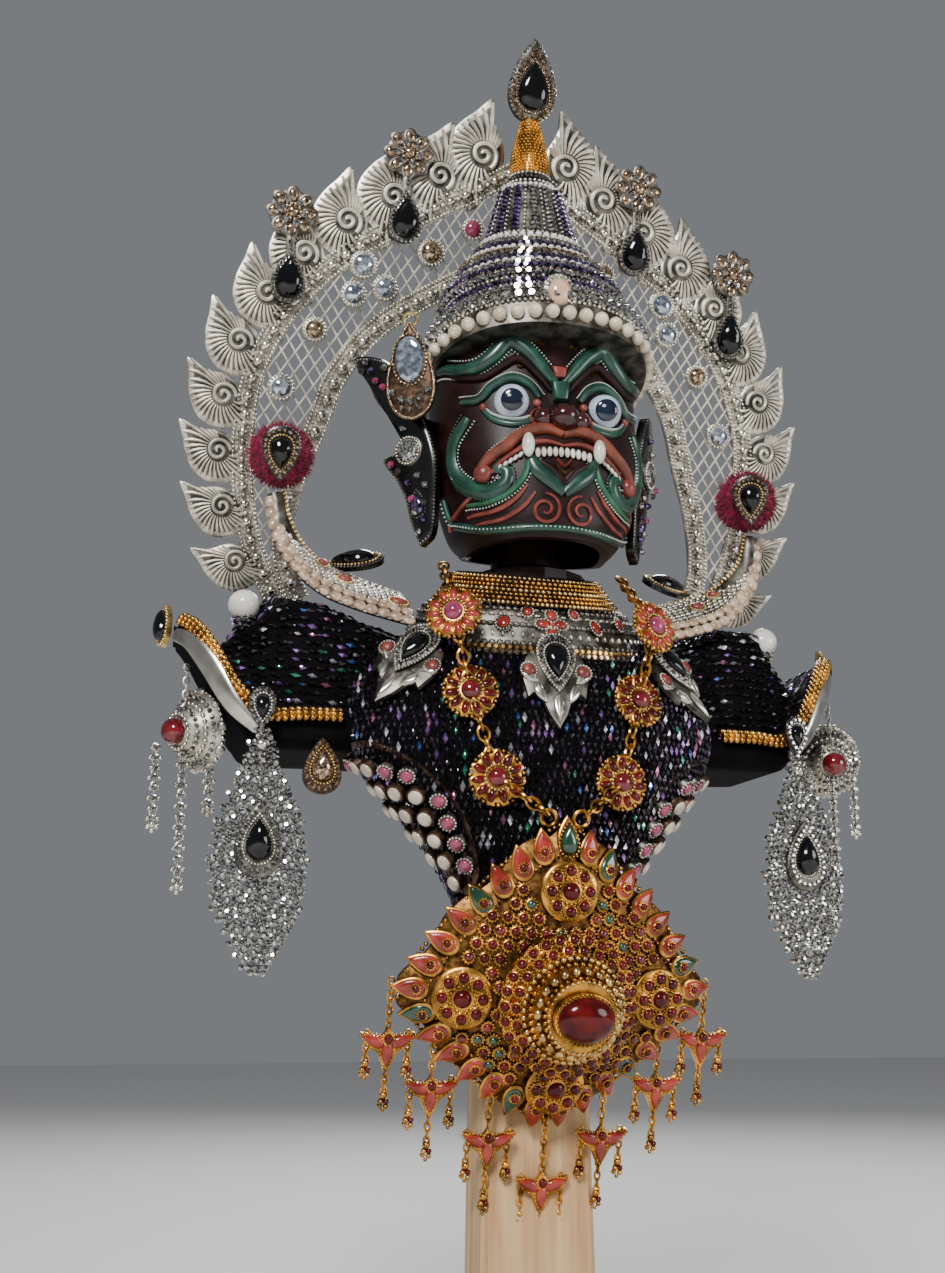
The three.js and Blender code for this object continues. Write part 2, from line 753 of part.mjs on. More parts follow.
function haloFrame() {
  const outerBand = plate(archOutline(() => BAND_WIDTH, () => 0, ARCH_STEPS), BAND_THICKNESS);
  const innerBand = plate(
    archOutline((t) => BAND_WIDTH * 2 + meshReach(t), (t) => BAND_WIDTH + meshReach(t) - 0.5, ARCH_STEPS),
    BAND_THICKNESS,
  );
  const web = plate(
    archOutline((t) => BAND_WIDTH + meshReach(t) + 1, () => BAND_WIDTH - 1, ARCH_STEPS),
    MESH_THICKNESS,
  ).translate(0, 0, 0.9);
  const leaves = leafFrames().map(({ basis, length }) => moved(leaf(length), basis));
  return joined([outerBand, innerBand, web, ...leaves]);
}

// Jewels

function rosette(radius, thickness, petals) {
  const outline = [];
  for (let i = 0; i < petals * 2; i++) {
    const reach = radius * (i % 2 ? 0.84 : 1);
    const angle = (i / (petals * 2)) * 2 * Math.PI;
    outline.push(new THREE.Vector2(reach * Math.cos(angle), reach * Math.sin(angle)));
  }
  const disc = plate(outline, thickness);
  const stone = new THREE.CylinderGeometry(radius * 0.24, radius * 0.42, 2.4, 6);
  return joined([
    disc,
    stone.rotateX(Math.PI / 2).toNonIndexed().translate(0, 0, thickness + 1.1),
  ]);
}

function teardropBrooch(halfWidth, length, edge, stone) {
  const rim = cushion(teardrop(halfWidth, length, 10), edge, 1);
  const gem = cushion(teardrop(halfWidth * 0.58, length * 0.58, 8), 1, stone);
  return joined([rim, gem.translate(0, -length * 0.04, edge + 0.4)]);
}

const upsideDown = (geometry) => geometry.rotateZ(Math.PI);

function haloJewel() {
  const flower = rosette(8.6, 3.4, 6);
  const drop = teardropBrooch(8, 19, 2.4, 3);
  const stem = new THREE.BoxGeometry(4, 14, 2).toNonIndexed();
  return joined([
    flower.translate(0, 13, 0),
    drop.translate(0, -11, 0),
    stem.translate(0, 1, 1),
  ]);
}

// Shoulder horns

// Each horn is a broad hollow leaf between its front lower edge and its rear upper edge
const HORN_LOW = [
  [46, -8, 273], [62, -5, 277.5], [75.5, -1.5, 283.5], [86, 2, 294], [91.5, 5, 306], [93.5, 7.5, 320],
];
const HORN_HIGH = [
  [46, 13, 289], [62, 16, 295], [74, 13, 299], [81.5, 9.5, 305], [85.5, 8, 312], [87.5, 8, 321],
];

function horn(side, grow) {
  const [low, high] = [HORN_LOW, HORN_HIGH].map(
    (places) => new THREE.CatmullRomCurve3(places.map((place) => beside(side, place))),
  );
  const steps = 10;
  const rings = [];
  for (let s = 0; s <= steps; s++) {
    const edge = low.getPoint(s / steps);
    const half = high.getPoint(s / steps).sub(edge).multiplyScalar(0.5);
    const normal = low.getTangent(s / steps).cross(half).normalize();
    const middle = edge.add(half);
    const reach = 1 + grow / half.length();
    const depth = HORN_THICKNESS / 2 + grow;
    const ring = Array.from({ length: HORN_SIDES }, (_, i) => {
      const angle = (i / HORN_SIDES) * 2 * Math.PI;
      const point = middle.clone().addScaledVector(half, reach * Math.cos(angle));
      return point.addScaledVector(normal, depth * Math.sin(angle));
    });
    rings.push(ring);
  }
  return loft(rings);
}

const pompom = (grow) => new THREE.IcosahedronGeometry(POMPOM_RADIUS + grow, 1);

// Collar and neck chains: rings that dip in front

function collarRing(halfWidth, front, back, z, dip, sides = ROUND_SIDES) {
  const ring = superellipse(halfWidth, front, back, NECK_Y, z, 2.1, sides);
  return ring.map((p) => vec(p.x, p.y, p.z + dip * (p.y - NECK_Y)));
}

// Each row: half width, front and back as shares of the neck's radius, then the level and the dip
const COLLAR_ROWS = [
  [2, 1.32, 1.36, COLLAR_LOW + 7, 0.24],
  [2, 1.34, 1.36, COLLAR_LOW + 10, 0.24],
  [1.73, 1.23, 1.27, COLLAR_HIGH + 2, 0.24],
  [1.41, 1.11, 1.14, COLLAR_HIGH + 8, 0.26],
];

function collarSkin(grow) {
  return loft(
    COLLAR_ROWS.map(([w, f, b, z, dip], i) => {
      const level = z + (i === 0 ? -grow : i === COLLAR_ROWS.length - 1 ? grow : 0);
      const [half, front, back] = [w, f, b].map((share) => share * NECK_RADIUS + grow);
      return collarRing(half, front, back, level, dip);
    }),
  );
}

function neckChainSkin() {
  const rings = [];
  for (let i = 0; i <= CHAIN_TURNS * 2; i++) {
    const t = i / (CHAIN_TURNS * 2);
    const swell = i % 2 ? 1.2 : 0;
    const reach = NECK_RADIUS * mix(1.45, 1.14, t) + swell;
    const level = mix(COLLAR_HIGH + 6, CHIN - 2, t);
    rings.push(collarRing(reach, reach - 3, reach - 3, level, 0.3, CHAIN_SIDES));
  }
  return loft(rings);
}

// Necklace

function linkBar(from, to, width = LINK_THICKNESS * 2) {
  const normal = vec(0, -1, 0);
  return rod(
    [from, from.clone().lerp(to, 0.5), to],
    () => width,
    () => LINK_THICKNESS,
    () => normal,
    2,
    4,
  );
}

const ROSETTE_PLACES = [
  [35, 272], [29, 247], [21, 219],
];

function necklace(side, neighbours) {
  const seats = ROSETTE_PLACES.map(([x, z]) => {
    const { point, normal } = onChest(side * x, z);
    return { point: point.addScaledVector(normal, 1.4), normal };
  });
  seats[0].point.set(side * 35, -25.5, 273);
  seats[0].normal.set(side * 0.35, -0.9, 0.2).normalize();
  const discs = seats.map(({ point, normal }) =>
    moved(rosette(ROSETTE_RADIUS, ROSETTE_THICKNESS, 6), frameFacing(point, normal)),
  );
  const middles = seats.map(({ point, normal }) => point.clone().addScaledVector(normal, 1.5));
  const top = vec(side * 33, -4, 296);
  const low = vec(side * 8, PENDANT_LINK_Y, PENDANT_TOP + 3);
  return clearOf(
    joined([
      ...discs,
      linkBar(top, middles[0]),
      linkBar(middles[0], middles[1]),
      linkBar(middles[1], middles[2]),
      linkBar(middles[2], low),
    ]),
    ...neighbours,
  );
}

// Pendant, in its own plane: y up from the middle of the plate

const PENDANT_MIDDLE = mix(PENDANT_LOW, PENDANT_TOP, 0.43);
const pendantGroup = new THREE.Group();
pendantGroup.position.set(0, PENDANT_Y, PENDANT_MIDDLE);
pendantGroup.rotation.x = rad(90 + PENDANT_TILT);
root.add(pendantGroup);

function pendantOutline(grow) {
  const up = (PENDANT_TOP - PENDANT_MIDDLE) / Math.cos(rad(PENDANT_TILT));
  const down = (PENDANT_MIDDLE - PENDANT_LOW) / Math.cos(rad(PENDANT_TILT));
  const count = 28;
  return Array.from({ length: count }, (_, i) => {
    const angle = (i / count) * 2 * Math.PI;
    const [s, c] = [Math.sin(angle), Math.cos(angle)];
    const bow = 1.25;
    const x = PENDANT_HALF_WIDTH * Math.sign(s) * Math.pow(Math.abs(s), 2 / bow);
    const y = (c > 0 ? up : down) * Math.sign(c) * Math.pow(Math.abs(c), 2 / bow);
    const scallop = 1 + 0.035 * (i % 2 ? -1 : 1);
    const reach = Math.hypot(x, y);
    return new THREE.Vector2(x, y).multiplyScalar((scallop * reach + grow) / reach);
  });
}

function pendantPlate() {
  const outline = pendantOutline(0);
  const ring = (scale, height) => outline.map((p) => vec(p.x * scale, p.y * scale, height));
  const rise = (scale) => PENDANT_BULGE * (1 - scale * scale);
  const half = PENDANT_THICKNESS / 2;
  const body = loft([
    ring(0.3, rise(0.3) - half),
    ring(0.66, rise(0.66) - half),
    ring(1, -half),
    ring(1, half),
    ring(0.66, rise(0.66) + half),
    ring(0.3, rise(0.3) + half),
  ]);
  const bosses = [];
  const clusters = [[0, 0.62], [-0.66, 0.02], [0.66, 0.02], [0, -0.68]];
  const up = (PENDANT_TOP - PENDANT_MIDDLE) / Math.cos(rad(PENDANT_TILT));
  for (const [sx, sy] of clusters) {
    const height = rise(Math.hypot(sx, sy)) + half - 0.8;
    const flower = rosette(10.5, 2.2, 6).translate(
      sx * PENDANT_HALF_WIDTH,
      sy * (sy > 0 ? up : PENDANT_MIDDLE - PENDANT_LOW),
      height,
    );
    bosses.push(flower);
  }
  for (const sx of [-1, 1])
    for (let i = 1; i <= 4; i++) {
      const t = i / 5;
      const petal = new THREE.ConeGeometry(4.4, 4, 4).rotateX(Math.PI / 2).toNonIndexed();
      const place = [sx * PENDANT_HALF_WIDTH * t * 0.93, up * (1 - t) * 0.93];
      bosses.push(petal.translate(place[0], place[1], half + PENDANT_BULGE * 0.5 * t * (1 - t)));
    }
  const loops = [-1, 1].map((s) =>
    new THREE.TorusGeometry(2.6, 0.9, 4, 6).toNonIndexed().translate(s * 5.5, up + 1, 0),
  );
  return joined([body, ...bosses, ...loops]);
}

const domeSeat = PENDANT_BULGE + PENDANT_THICKNESS / 2 + GAP;

function pendantDome() {
  const r = DOME_RADIUS;
  const h = DOME_HEIGHT;
  return turned(
    [
      [0, 0], [r, 0], [r, 0.12 * h], [r * 0.9, 0.24 * h], [r * 0.84, 0.2 * h],
      [r * 0.78, 0.42 * h], [r * 0.68, 0.4 * h], [r * 0.62, 0.72 * h], [r * 0.53, 0.7 * h],
      [r * 0.5, h], [0, h],
    ],
    16,
  ).translate(0, 0, domeSeat);
}

function pendantGem() {
  const outline = Array.from({ length: 16 }, (_, i) => {
    const angle = (i / 16) * 2 * Math.PI;
    return new THREE.Vector2(GEM_HALF_WIDTH * Math.cos(angle), GEM_HALF_HEIGHT * Math.sin(angle));
  });
  return cushion(outline, 1.6, 4.6).translate(0, 0, domeSeat + DOME_HEIGHT + GAP);
}

// A dangle: a loop, a three-petal piece and three short chains with a bead cluster each
function dangle(lead, length) {
  const trefoil = plate(
    [
      [0, 5], [2.6, 2], [8.6, 3.4], [5, -1.6], [3.2, -3], [0, -8.4],
      [-3.2, -3], [-5, -1.6], [-8.6, 3.4], [-2.6, 2],
    ].reverse().map(([x, y]) => new THREE.Vector2(x, y)),
    2,
  ).translate(0, -lead - 5, -1);
  const strip = (x, top, low, end) =>
    loft(
      [[top, 0.8], [low + end, end], [low, end * 0.4]].map(([y, half]) =>
        [[-1, -1], [1, -1], [1, 1], [-1, 1]].map(([a, b]) => vec(x + a * half, y, b * half)),
      ),
    );
  const pieces = [trefoil, strip(0, 0, -lead - 3, 0.8)];
  for (const [x, top] of [[-6.6, -lead - 2], [0, -lead - 12], [6.6, -lead - 2]])
    pieces.push(strip(x, top, top - length, 2.3));
  return joined(pieces);
}

// Earrings

function dropEarring() {
  const w = DROP_WIDTH / 2;
  const l = DROP_LENGTH;
  const outline = [
    [2.5, 0], [0.55 * w, -0.2 * l], [w, -0.42 * l], [0.98 * w, -0.66 * l], [0.6 * w, -0.84 * l],
    [1.5, -l], [-1.5, -l], [-0.6 * w, -0.84 * l], [-0.98 * w, -0.66 * l], [-w, -0.42 * l],
    [-0.55 * w, -0.2 * l], [-2.5, 0],
  ].reverse().map(([x, y]) => new THREE.Vector2(x, y));
  const sheet = plate(outline, DROP_THICKNESS);
  const brooch = teardropBrooch(9.6, 24, 2, 3).translate(0, -0.47 * l, DROP_THICKNESS - 0.3);
  const stud = upsideDown(teardropBrooch(5.4, 14, 2.2, 2.6)).translate(0, 5, -0.2);
  return joined([sheet, brooch, stud]);
}

function outerEarring() {
  const cap = turned(
    [[0, -9], [OUTER_CAP_RADIUS - 0.5, -8], [OUTER_CAP_RADIUS, -5.5], [9.5, -3], [6, 2], [0, 4]],
    10,
  );
  const gem = new THREE.IcosahedronGeometry(4.8, 1).translate(0, 0, 4);
  return joined([cap, gem]);
}

function outerChains() {
  const bar = (x, top, low, width) =>
    new THREE.BoxGeometry(width, top - low, 2).toNonIndexed().translate(x, (top + low) / 2, 0);
  return [
    bar(0, 22, 10, 2.4),
    bar(-9, -6, -34, 2.4),
    bar(0, -8, -54, 3.4),
    bar(9, -6, -28, 2.4),
  ];
}

// Building

add("base_block", baseBlock(), PINE);
add("wooden_post", post(0), PINE);

const postHole = solidOf(post(GAP));
const neckHole = solidOf(neckStem(GAP));
add("bust_body", geometryOf(bustSolid(0).subtract(postHole).subtract(neckHole)), CAPE);
const maskGrown = solidOf(headSkin(GAP, CHIN, HEAD_SIDES));
const maskInside = solidOf(headSkin(-MASK_WALL - GAP, CHIN - 2, HEAD_SIDES / 2));
add("neck_stem", clearOf(neckStem(0), maskGrown.subtract(maskInside)), LACQUER);
add("mask", mask(), LACQUER);

const crownGrown = solidOf(crownSkin(GAP));
add("crown", crown(), SILVER);

const crownGem = cushion(
  Array.from({ length: 12 }, (_, i) => {
    const angle = (i / 12) * 2 * Math.PI;
    return new THREE.Vector2(6 * Math.cos(angle), 7 * Math.sin(angle));
  }),
  3,
  2.4,
);
add(
  "crown_gem",
  clearOf(moved(crownGem, frameFacing(vec(-3, -41, 384), vec(0, -1, -0.1))), crownGrown),
  PEARL,
);

const neckGrown = solidOf(neckStem(GAP));
const hornsGrown = solidOf(horn(-1, GAP)).add(solidOf(horn(1, GAP)));
const collarGrown = solidOf(collarSkin(GAP));
add("collar", clearOf(collarSkin(0), bustGrown, neckGrown), DARK_SILVER);
add("neck_chains", clearOf(neckChainSkin(), neckGrown, collarGrown, bustGrown, maskGrown), GOLD);
const chainsGrown = solidOf(neckChainSkin());

haloGroup.updateMatrixWorld(true);
const crownSeenByHalo = crownGrown.transform([...haloGroup.matrixWorld.clone().invert().elements]);
const bustSeenByHalo = bustGrown.transform([...haloGroup.matrixWorld.clone().invert().elements]);
add("halo_frame", clearOf(haloFrame(), crownSeenByHalo, bustSeenByHalo), SILVER, haloGroup);

const jewelLift = BAND_THICKNESS + 1.2;
const HALO_JEWEL_PLACES = [["high", HALO_WIDTH * 0.223, 104], ["low", HALO_WIDTH * 0.427, 76]];
const apexJewel = teardropBrooch(APEX_HALF_WIDTH, APEX_LENGTH, 3, 4);
const apex = apexJewel.translate(0, HALO_TOP + 25, jewelLift);
add("halo_apex_jewel", clearOf(apex, crownSeenByHalo), GOLD, haloGroup);
for (const [word, side] of SIDES) {
  for (const [level, x, y] of HALO_JEWEL_PLACES) {
    const jewel = add("halo_jewel_" + word + "_" + level, haloJewel(), CRYSTAL, haloGroup);
    jewel.position.set(side * x, y, jewelLift);
  }
  const ball = new THREE.SphereGeometry(PEARL_RADIUS, 10, 7).toNonIndexed();
  const foot = new THREE.CylinderGeometry(PEARL_RADIUS * 0.75, PEARL_RADIUS * 0.5, PEARL_FOOT, 8);
  const low = foot.rotateX(Math.PI / 2).toNonIndexed().translate(0, 0, -PEARL_RADIUS - 1.2);
  const spot = new THREE.Matrix4().makeTranslation(side * (HALO_WIDTH / 2 - 4.2), 17.5, WING_RIM + PEARL_RISE);
  add("halo_pearl_" + word, clearOf(moved(joined([ball, low]), spot), bustGrown), PEARL);
}

for (const [word, side] of SIDES) {
  const earNeighbours = [maskGrown, crownGrown];
  const guard = earGuard(word, side, earNeighbours);
  add("ear_guard_" + word, guard, DARK_SILVER);
  if (side < 0) {
    const pendant = clearOf(earPendant(side), solidOf(guard), ...earNeighbours);
    add("ear_pendant_left", pendant, CRYSTAL);
  }

  const hornGeometry = clearOf(horn(side, 0), bustGrown, collarGrown);
  add("shoulder_horn_" + word, hornGeometry, SILVER);
  const hornGrown = solidOf(horn(side, GAP));
  const cabochon = cushion(teardrop(7.5, 22, 12), 2.2, 4);
  const cabochonFrame = frameFacing(
    beside(side, CABOCHON_PLACE),
    vec(side * 0.3, -0.55, 0.78),
    vec(side, 0, 0.3),
  );
  add("horn_cabochon_" + word, clearOf(moved(cabochon, cabochonFrame), hornGrown), ONYX);

  const pompomPlace = beside(side, POMPOM_PLACE).toArray();
  const ball = pompom(0).translate(...pompomPlace);
  add("pompom_" + word, clearOf(ball, hornGrown), FIBRE);
  const ballGrown = solidOf(pompom(GAP).translate(...pompomPlace));
  const brooch = upsideDown(teardropBrooch(8.4, 19, 2, 3));
  const { place, facing } = POMPOM_BROOCHES[word];
  const broochFrame = frameFacing(vec(...place), vec(...facing));
  add("pompom_brooch_" + word, clearOf(moved(brooch, broochFrame), ballGrown), ONYX);
}

// Wing trims, crescents and tip buttons

function rimPoint(side, share, out, lift) {
  const section = wingSection(share * WING_REACH, 0);
  const [y, z] = section[2];
  return vec(side * (share * WING_REACH + out), y - out * 0.2, z + lift);
}

function wingTrim(side, grow = 0) {
  const shares = [0.56, 0.66, 0.76, 0.84, 0.9, 0.945, 0.975];
  return rod(
    shares.map((s) => rimPoint(side, s, 0.6, 0.6).add(vec(0, -1, 0))),
    () => TRIM_WIDTH + 2 * grow,
    () => TRIM_WIDTH + 2 * grow,
    () => vec(0, -0.6, 0.8),
    10,
    5,
  );
}

function wingCrescent(side, grow = 0) {
  const shares = [0.77, 0.84, 0.9, 0.95, 0.985];
  const swell = (t) => Math.sin(Math.PI * mix(0.1, 0.9, t));
  return rod(
    shares.map((s) => rimPoint(side, s, 1.8, -5).add(vec(0, -1.5, 0))),
    (t) => mix(3, CRESCENT_WIDTH, swell(t)) + 2 * grow,
    () => CRESCENT_THICKNESS + 2 * grow,
    () => vec(side * 0.8, -0.6, 0),
    8,
    5,
  );
}

const tipButton = (side) =>
  moved(
    joined([
      cushion(teardrop(6, 15, 12), 1.6, 0.6),
      cushion(teardrop(4.4, 11, 10), 1.6, 2.4).translate(0, 0, 1),
    ]),
    frameFacing(vec(side * (WING_REACH + 2), WING_Y, WING_TIP), vec(side, -0.25, 0.1)),
  );

for (const [word, side] of SIDES) {
  const trim = clearOf(wingTrim(side), bustGrown);
  add("wing_trim_" + word, trim, GOLD);
  const trimGrown = solidOf(wingTrim(side, GAP));
  const crescent = clearOf(wingCrescent(side), bustGrown, trimGrown);
  add("wing_crescent_" + word, crescent, SILVER);
  const button = clearOf(tipButton(side), bustGrown, trimGrown, solidOf(wingCrescent(side, GAP)));
  add("tip_button_" + word, button, ONYX);
}

// Stud panels: a curved tongue down each side of the chest, with rows of flat round studs

const PANEL_EDGE = [
  [61, 233], [52, 219], [43, 207], [34, 196], [27, 189], [25, 194], [26, 203], [29, 212],
  [35, 221], [43, 228], [52, 233],
];
const STUD_ROWS = [[57, 230.5, 2], [50.5, 223.5, 3], [43.5, 215, 3], [37, 206.5, 3], [31, 198, 2]];

function panelSkin(side, grow) {
  const front = PANEL_EDGE.map(([x, z]) => onChest(side * x, z));
  const lifted = (lift) => front.map(({ point, normal }) => point.clone().addScaledVector(normal, lift));
  return loft([lifted(-2 + grow), lifted(1.6)]);
}

function studPlaces() {
  const places = [];
  for (const [x, z, count] of STUD_ROWS)
    for (let i = 0; i < count; i++) places.push([x - i * 7.6, z + i * 3.2]);
  return places.filter(([x, z]) => x > 27 && z < 233);
}

function studPanel(side) {
  const pieces = [panelSkin(side, 0)];
  for (const [x, z] of studPlaces()) {
    const { point, normal } = onChest(side * x, z);
    const stud = new THREE.CylinderGeometry(STUD_RADIUS * 0.85, STUD_RADIUS, STUD_HEIGHT, 6);
    const frame = frameFacing(point.clone().addScaledVector(normal, 2.6), normal);
    pieces.push(moved(stud.rotateX(Math.PI / 2).toNonIndexed(), frame));
  }
  return joined(pieces);
}

// Chest brooches: a teardrop over a three-lobed leaf

function chestBrooch() {
  const leafShape = [
    [-9, 8], [-12, 1], [-10, -8], [-6, -6], [-3, -14], [0, -19], [3, -14], [6, -6], [10, -8],
    [12, 1], [9, 8],
  ].map(([x, y]) => new THREE.Vector2(x, y));
  const gems = [-1, 1].map((s) =>
    new THREE.CylinderGeometry(1.6, 2.4, 2.6, 6)
      .rotateX(Math.PI / 2).toNonIndexed().translate(s * 9.6, 1, 2.6),
  );
  return joined([
    plate(leafShape, 1.8),
    upsideDown(teardropBrooch(8.2, 20, 2.4, 3.2)).translate(0, 4, 1.4),
    ...gems,
  ]);
}

const sitting = (x, z, roll, lift) => {
  const { point, normal } = onChest(x, z);
  const frame = frameFacing(point.addScaledVector(normal, lift), normal);
  return frame.multiply(new THREE.Matrix4().makeRotationZ(roll));
};

const leafGrown = (matrix) => solidOf(chestBrooch(), matrix);
const broochSeats = [
  ["centre", sitting(0, 254, 0, 0.4)],
  ["left", sitting(-47, 258, -0.5, 0.4)],
  ["right", sitting(47, 258, 0.5, 0.4)],
];
for (const [word, matrix] of broochSeats) {
  const brooch = clearOf(moved(chestBrooch(), matrix), bustGrown, collarGrown, hornsGrown);
  add("chest_brooch_" + word, brooch, DARK_SILVER);
}

const broochesGrown = broochSeats.map(([, matrix]) => leafGrown(matrix)).reduce((a, b) => a.add(b));
const panels = SIDES.map(([, side]) => clearOf(studPanel(side), bustGrown));
SIDES.forEach(([word], i) => add("stud_panel_" + word, panels[i], PEARL));

// Pendant and necklace

pendantGroup.updateMatrixWorld(true);
const seenByPendant = (solid) =>
  solid.transform([...pendantGroup.matrixWorld.clone().invert().elements]);
const postGrown = solidOf(post(GAP));
const plateGeometry = clearOf(
  pendantPlate(),
  seenByPendant(bustGrown),
  seenByPendant(postGrown),
  ...panels.map((p) => seenByPendant(solidOf(p))),
);
add("pendant_plate", plateGeometry, GOLD, pendantGroup);
const domeGeometry = clearOf(pendantDome(), solidOf(pendantPlate()));
add("pendant_dome", domeGeometry, GOLD, pendantGroup);
add("pendant_gem", pendantGem(), RUBY, pendantGroup);
const plateWorld = solidOf(pendantPlate(), pendantGroup.matrixWorld);

for (const [word, side] of SIDES) {
  const strand = necklace(side, [
    bustGrown, collarGrown, chainsGrown, hornsGrown, broochesGrown, plateWorld,
    ...panels.map((p) => solidOf(p)),
  ]);
  add("necklace_" + word, strand, GOLD);
}

const DANGLES = [
  ["centre", 0, 14, 18], ["left_1", -19, 9, 16], ["right_1", 19, 9, 16], ["left_2", -38, 8, 16],
  ["right_2", 38, 8, 15], ["left_3", -53, 10, 14], ["right_3", 53, 10, 14],
];

// The level of the plate's lower edge over a place across it
function plateEdge(x) {
  const down = (PENDANT_MIDDLE - PENDANT_LOW) / Math.cos(rad(PENDANT_TILT));
  const share = Math.min(Math.abs(x) / PENDANT_HALF_WIDTH, 1);
  return -down * Math.pow(1 - Math.pow(share, 1.25), 1 / 1.25);
}

for (const [word, x, lead, length] of DANGLES) {
  const front = Math.abs(x) < POST_WIDTH_LOW / 2 + 12 ? 3 : 0;
  const local = dangle(lead + 4, length).translate(x, plateEdge(x) + 3, front);
  const piece = clearOf(local, solidOf(pendantPlate()), seenByPendant(postGrown));
  add("dangle_" + word, piece, GOLD, pendantGroup);
}

// Earrings hung on the wings

const corner = (side) => vec(side * (WING_REACH - DROP_INSET), -10.5, WING_RIM - 4);
for (const [word, side] of SIDES) {
  const frame = frameFacing(corner(side), vec(side * 0.06, -1, 0));
  const trimGrown = solidOf(wingTrim(side, GAP)).add(solidOf(wingCrescent(side, GAP)));
  const drop = clearOf(moved(dropEarring(), frame), bustGrown, trimGrown);
  add("drop_earring_" + word, drop, SILVER);
}

const OUTER_TURN = { left: vec(-0.85, -0.5, -0.15), right: vec(-0.15, -0.95, -0.25) };
for (const [word, side] of SIDES) {
  const reach = WING_REACH + (side < 0 ? -OUTER_SHIFT : OUTER_SHIFT);
  const middle = vec(side * reach, WING_Y, WING_RIM - 2);
  const cap = moved(outerEarring(), frameFacing(middle, OUTER_TURN[word]));
  const hang = new THREE.Matrix4().makeRotationX(Math.PI / 2).setPosition(middle);
  const chains = outerChains().map((g) => moved(g, hang));
  const whole = joined([cap, ...chains]);
  const trimGrown = solidOf(wingTrim(side, GAP)).add(solidOf(wingCrescent(side, GAP)));
  const earring = clearOf(whole, bustGrown, trimGrown, solidOf(tipButton(side)));
  add("outer_earring_" + word, earring, SILVER);
}

const small = teardropBrooch(8, 19, 2.4, 2.4);
const smallPlace = vec(-WING_REACH * SMALL_BROOCH_SHARE, -3, WING_RIM - 16);
const smallFrame = frameFacing(smallPlace, vec(0, -1, 0.05));
const panelSolids = panels.map((p) => solidOf(p));
add("small_brooch", clearOf(moved(small, smallFrame), bustGrown, ...panelSolids), ONYX);

export default root;
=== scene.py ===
# The looks of a small dressed khon mask: the face, the crown, the halo, the caped bust and the jewellery.
# Places are worked out in millimetres in the shared frame and become metres as each mesh is made.
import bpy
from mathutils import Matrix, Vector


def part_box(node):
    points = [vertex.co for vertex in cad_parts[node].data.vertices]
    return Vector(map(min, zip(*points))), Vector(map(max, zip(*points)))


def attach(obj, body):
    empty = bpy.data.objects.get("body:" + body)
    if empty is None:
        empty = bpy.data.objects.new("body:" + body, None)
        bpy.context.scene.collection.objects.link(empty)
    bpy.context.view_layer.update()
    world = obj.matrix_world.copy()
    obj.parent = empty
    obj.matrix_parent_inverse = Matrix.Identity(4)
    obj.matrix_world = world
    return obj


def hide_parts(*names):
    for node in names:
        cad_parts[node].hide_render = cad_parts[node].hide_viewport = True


bl_info = {
    "name": "Dressed Khon Mask",
    "version": (1, 0, 0),
    "blender": (4, 5, 0),
    "location": "3D View > Sidebar > Khon Mask",
    "description": "Makes the face, crown, halo, bust and jewellery of a dressed khon mask",
    "category": "Object",
}

from collections import defaultdict
from math import atan2, cos, floor, hypot, pi, radians, sin, sqrt

import bpy
import numpy as np
from bpy.props import FloatProperty, FloatVectorProperty, IntProperty, PointerProperty
from mathutils import Matrix, Vector

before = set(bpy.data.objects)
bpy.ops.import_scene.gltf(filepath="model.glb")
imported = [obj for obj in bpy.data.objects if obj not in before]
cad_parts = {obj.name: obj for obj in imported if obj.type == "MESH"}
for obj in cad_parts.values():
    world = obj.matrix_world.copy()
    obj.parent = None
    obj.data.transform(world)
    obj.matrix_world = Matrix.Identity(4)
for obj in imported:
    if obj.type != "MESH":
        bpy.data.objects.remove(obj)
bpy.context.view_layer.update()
BODY = "root"
SIDES = (("left", -1), ("right", 1))

# Sizes shared with the solids, in millimetres
CHEST_WIDE = 234
BUST_LOW = 166
BUST_TOP = 284
CHEST_HALF_WIDTH = 65
CHEST_FRONT = 34
CHEST_BACK = 36
BUST_Y = 8
BUST_POWER = 2.3
WING_REACH = 122
WING_Y = 21
WING_HALF_DEPTH = 26
WING_LOW = 230
WING_RIM = 240
WING_TIP = 274
WING_RIDGE_RISE = 51
NECK_Y = 6
NECK_RADIUS = 22
HEAD_Y = -4
HEAD_HALF_WIDTH = 36.5
HEAD_FRONT = 33
HEAD_BACK = 36
HEAD_POWER = 2.35
CHIN = 300
HEAD_HEIGHT = 102
RIM_LIFT = 0.24
MASK_WALL = 3
CROWN_RIM = 365
CROWN_RADIUS = 39
CROWN_HEIGHT = 113
HALO_PIVOT = (0, 34, 345)
HALO_LEAN = 14
HALO_TOP = 127
HALO_WIDTH = 206
BAND_WIDTH = 8
BAND_THICKNESS = 3
LEAF_COUNT = 11
HORN_THICKNESS = 5
PEARL_RADIUS = 5.6
POMPOM_RADIUS = 12
COLLAR_LOW = 262
COLLAR_HIGH = 281
PENDANT_TOP = 205
PENDANT_LOW = 112
PENDANT_HALF_WIDTH = 52
PENDANT_THICKNESS = 2.6
PENDANT_BULGE = 12
PENDANT_TILT = 15.5
PENDANT_Y = -18
DOME_RADIUS = 22
DOME_HEIGHT = 17
DROP_WIDTH = 30
DROP_LENGTH = 80
DROP_BACK = 2.1

# The camera, as worked out from the photograph's view
CAMERA_PLACE = (-0.1593, -0.4823, 0.146)
CAMERA_TURN = (104.16, 0, -15.96)
CAMERA_LENS = 42.02

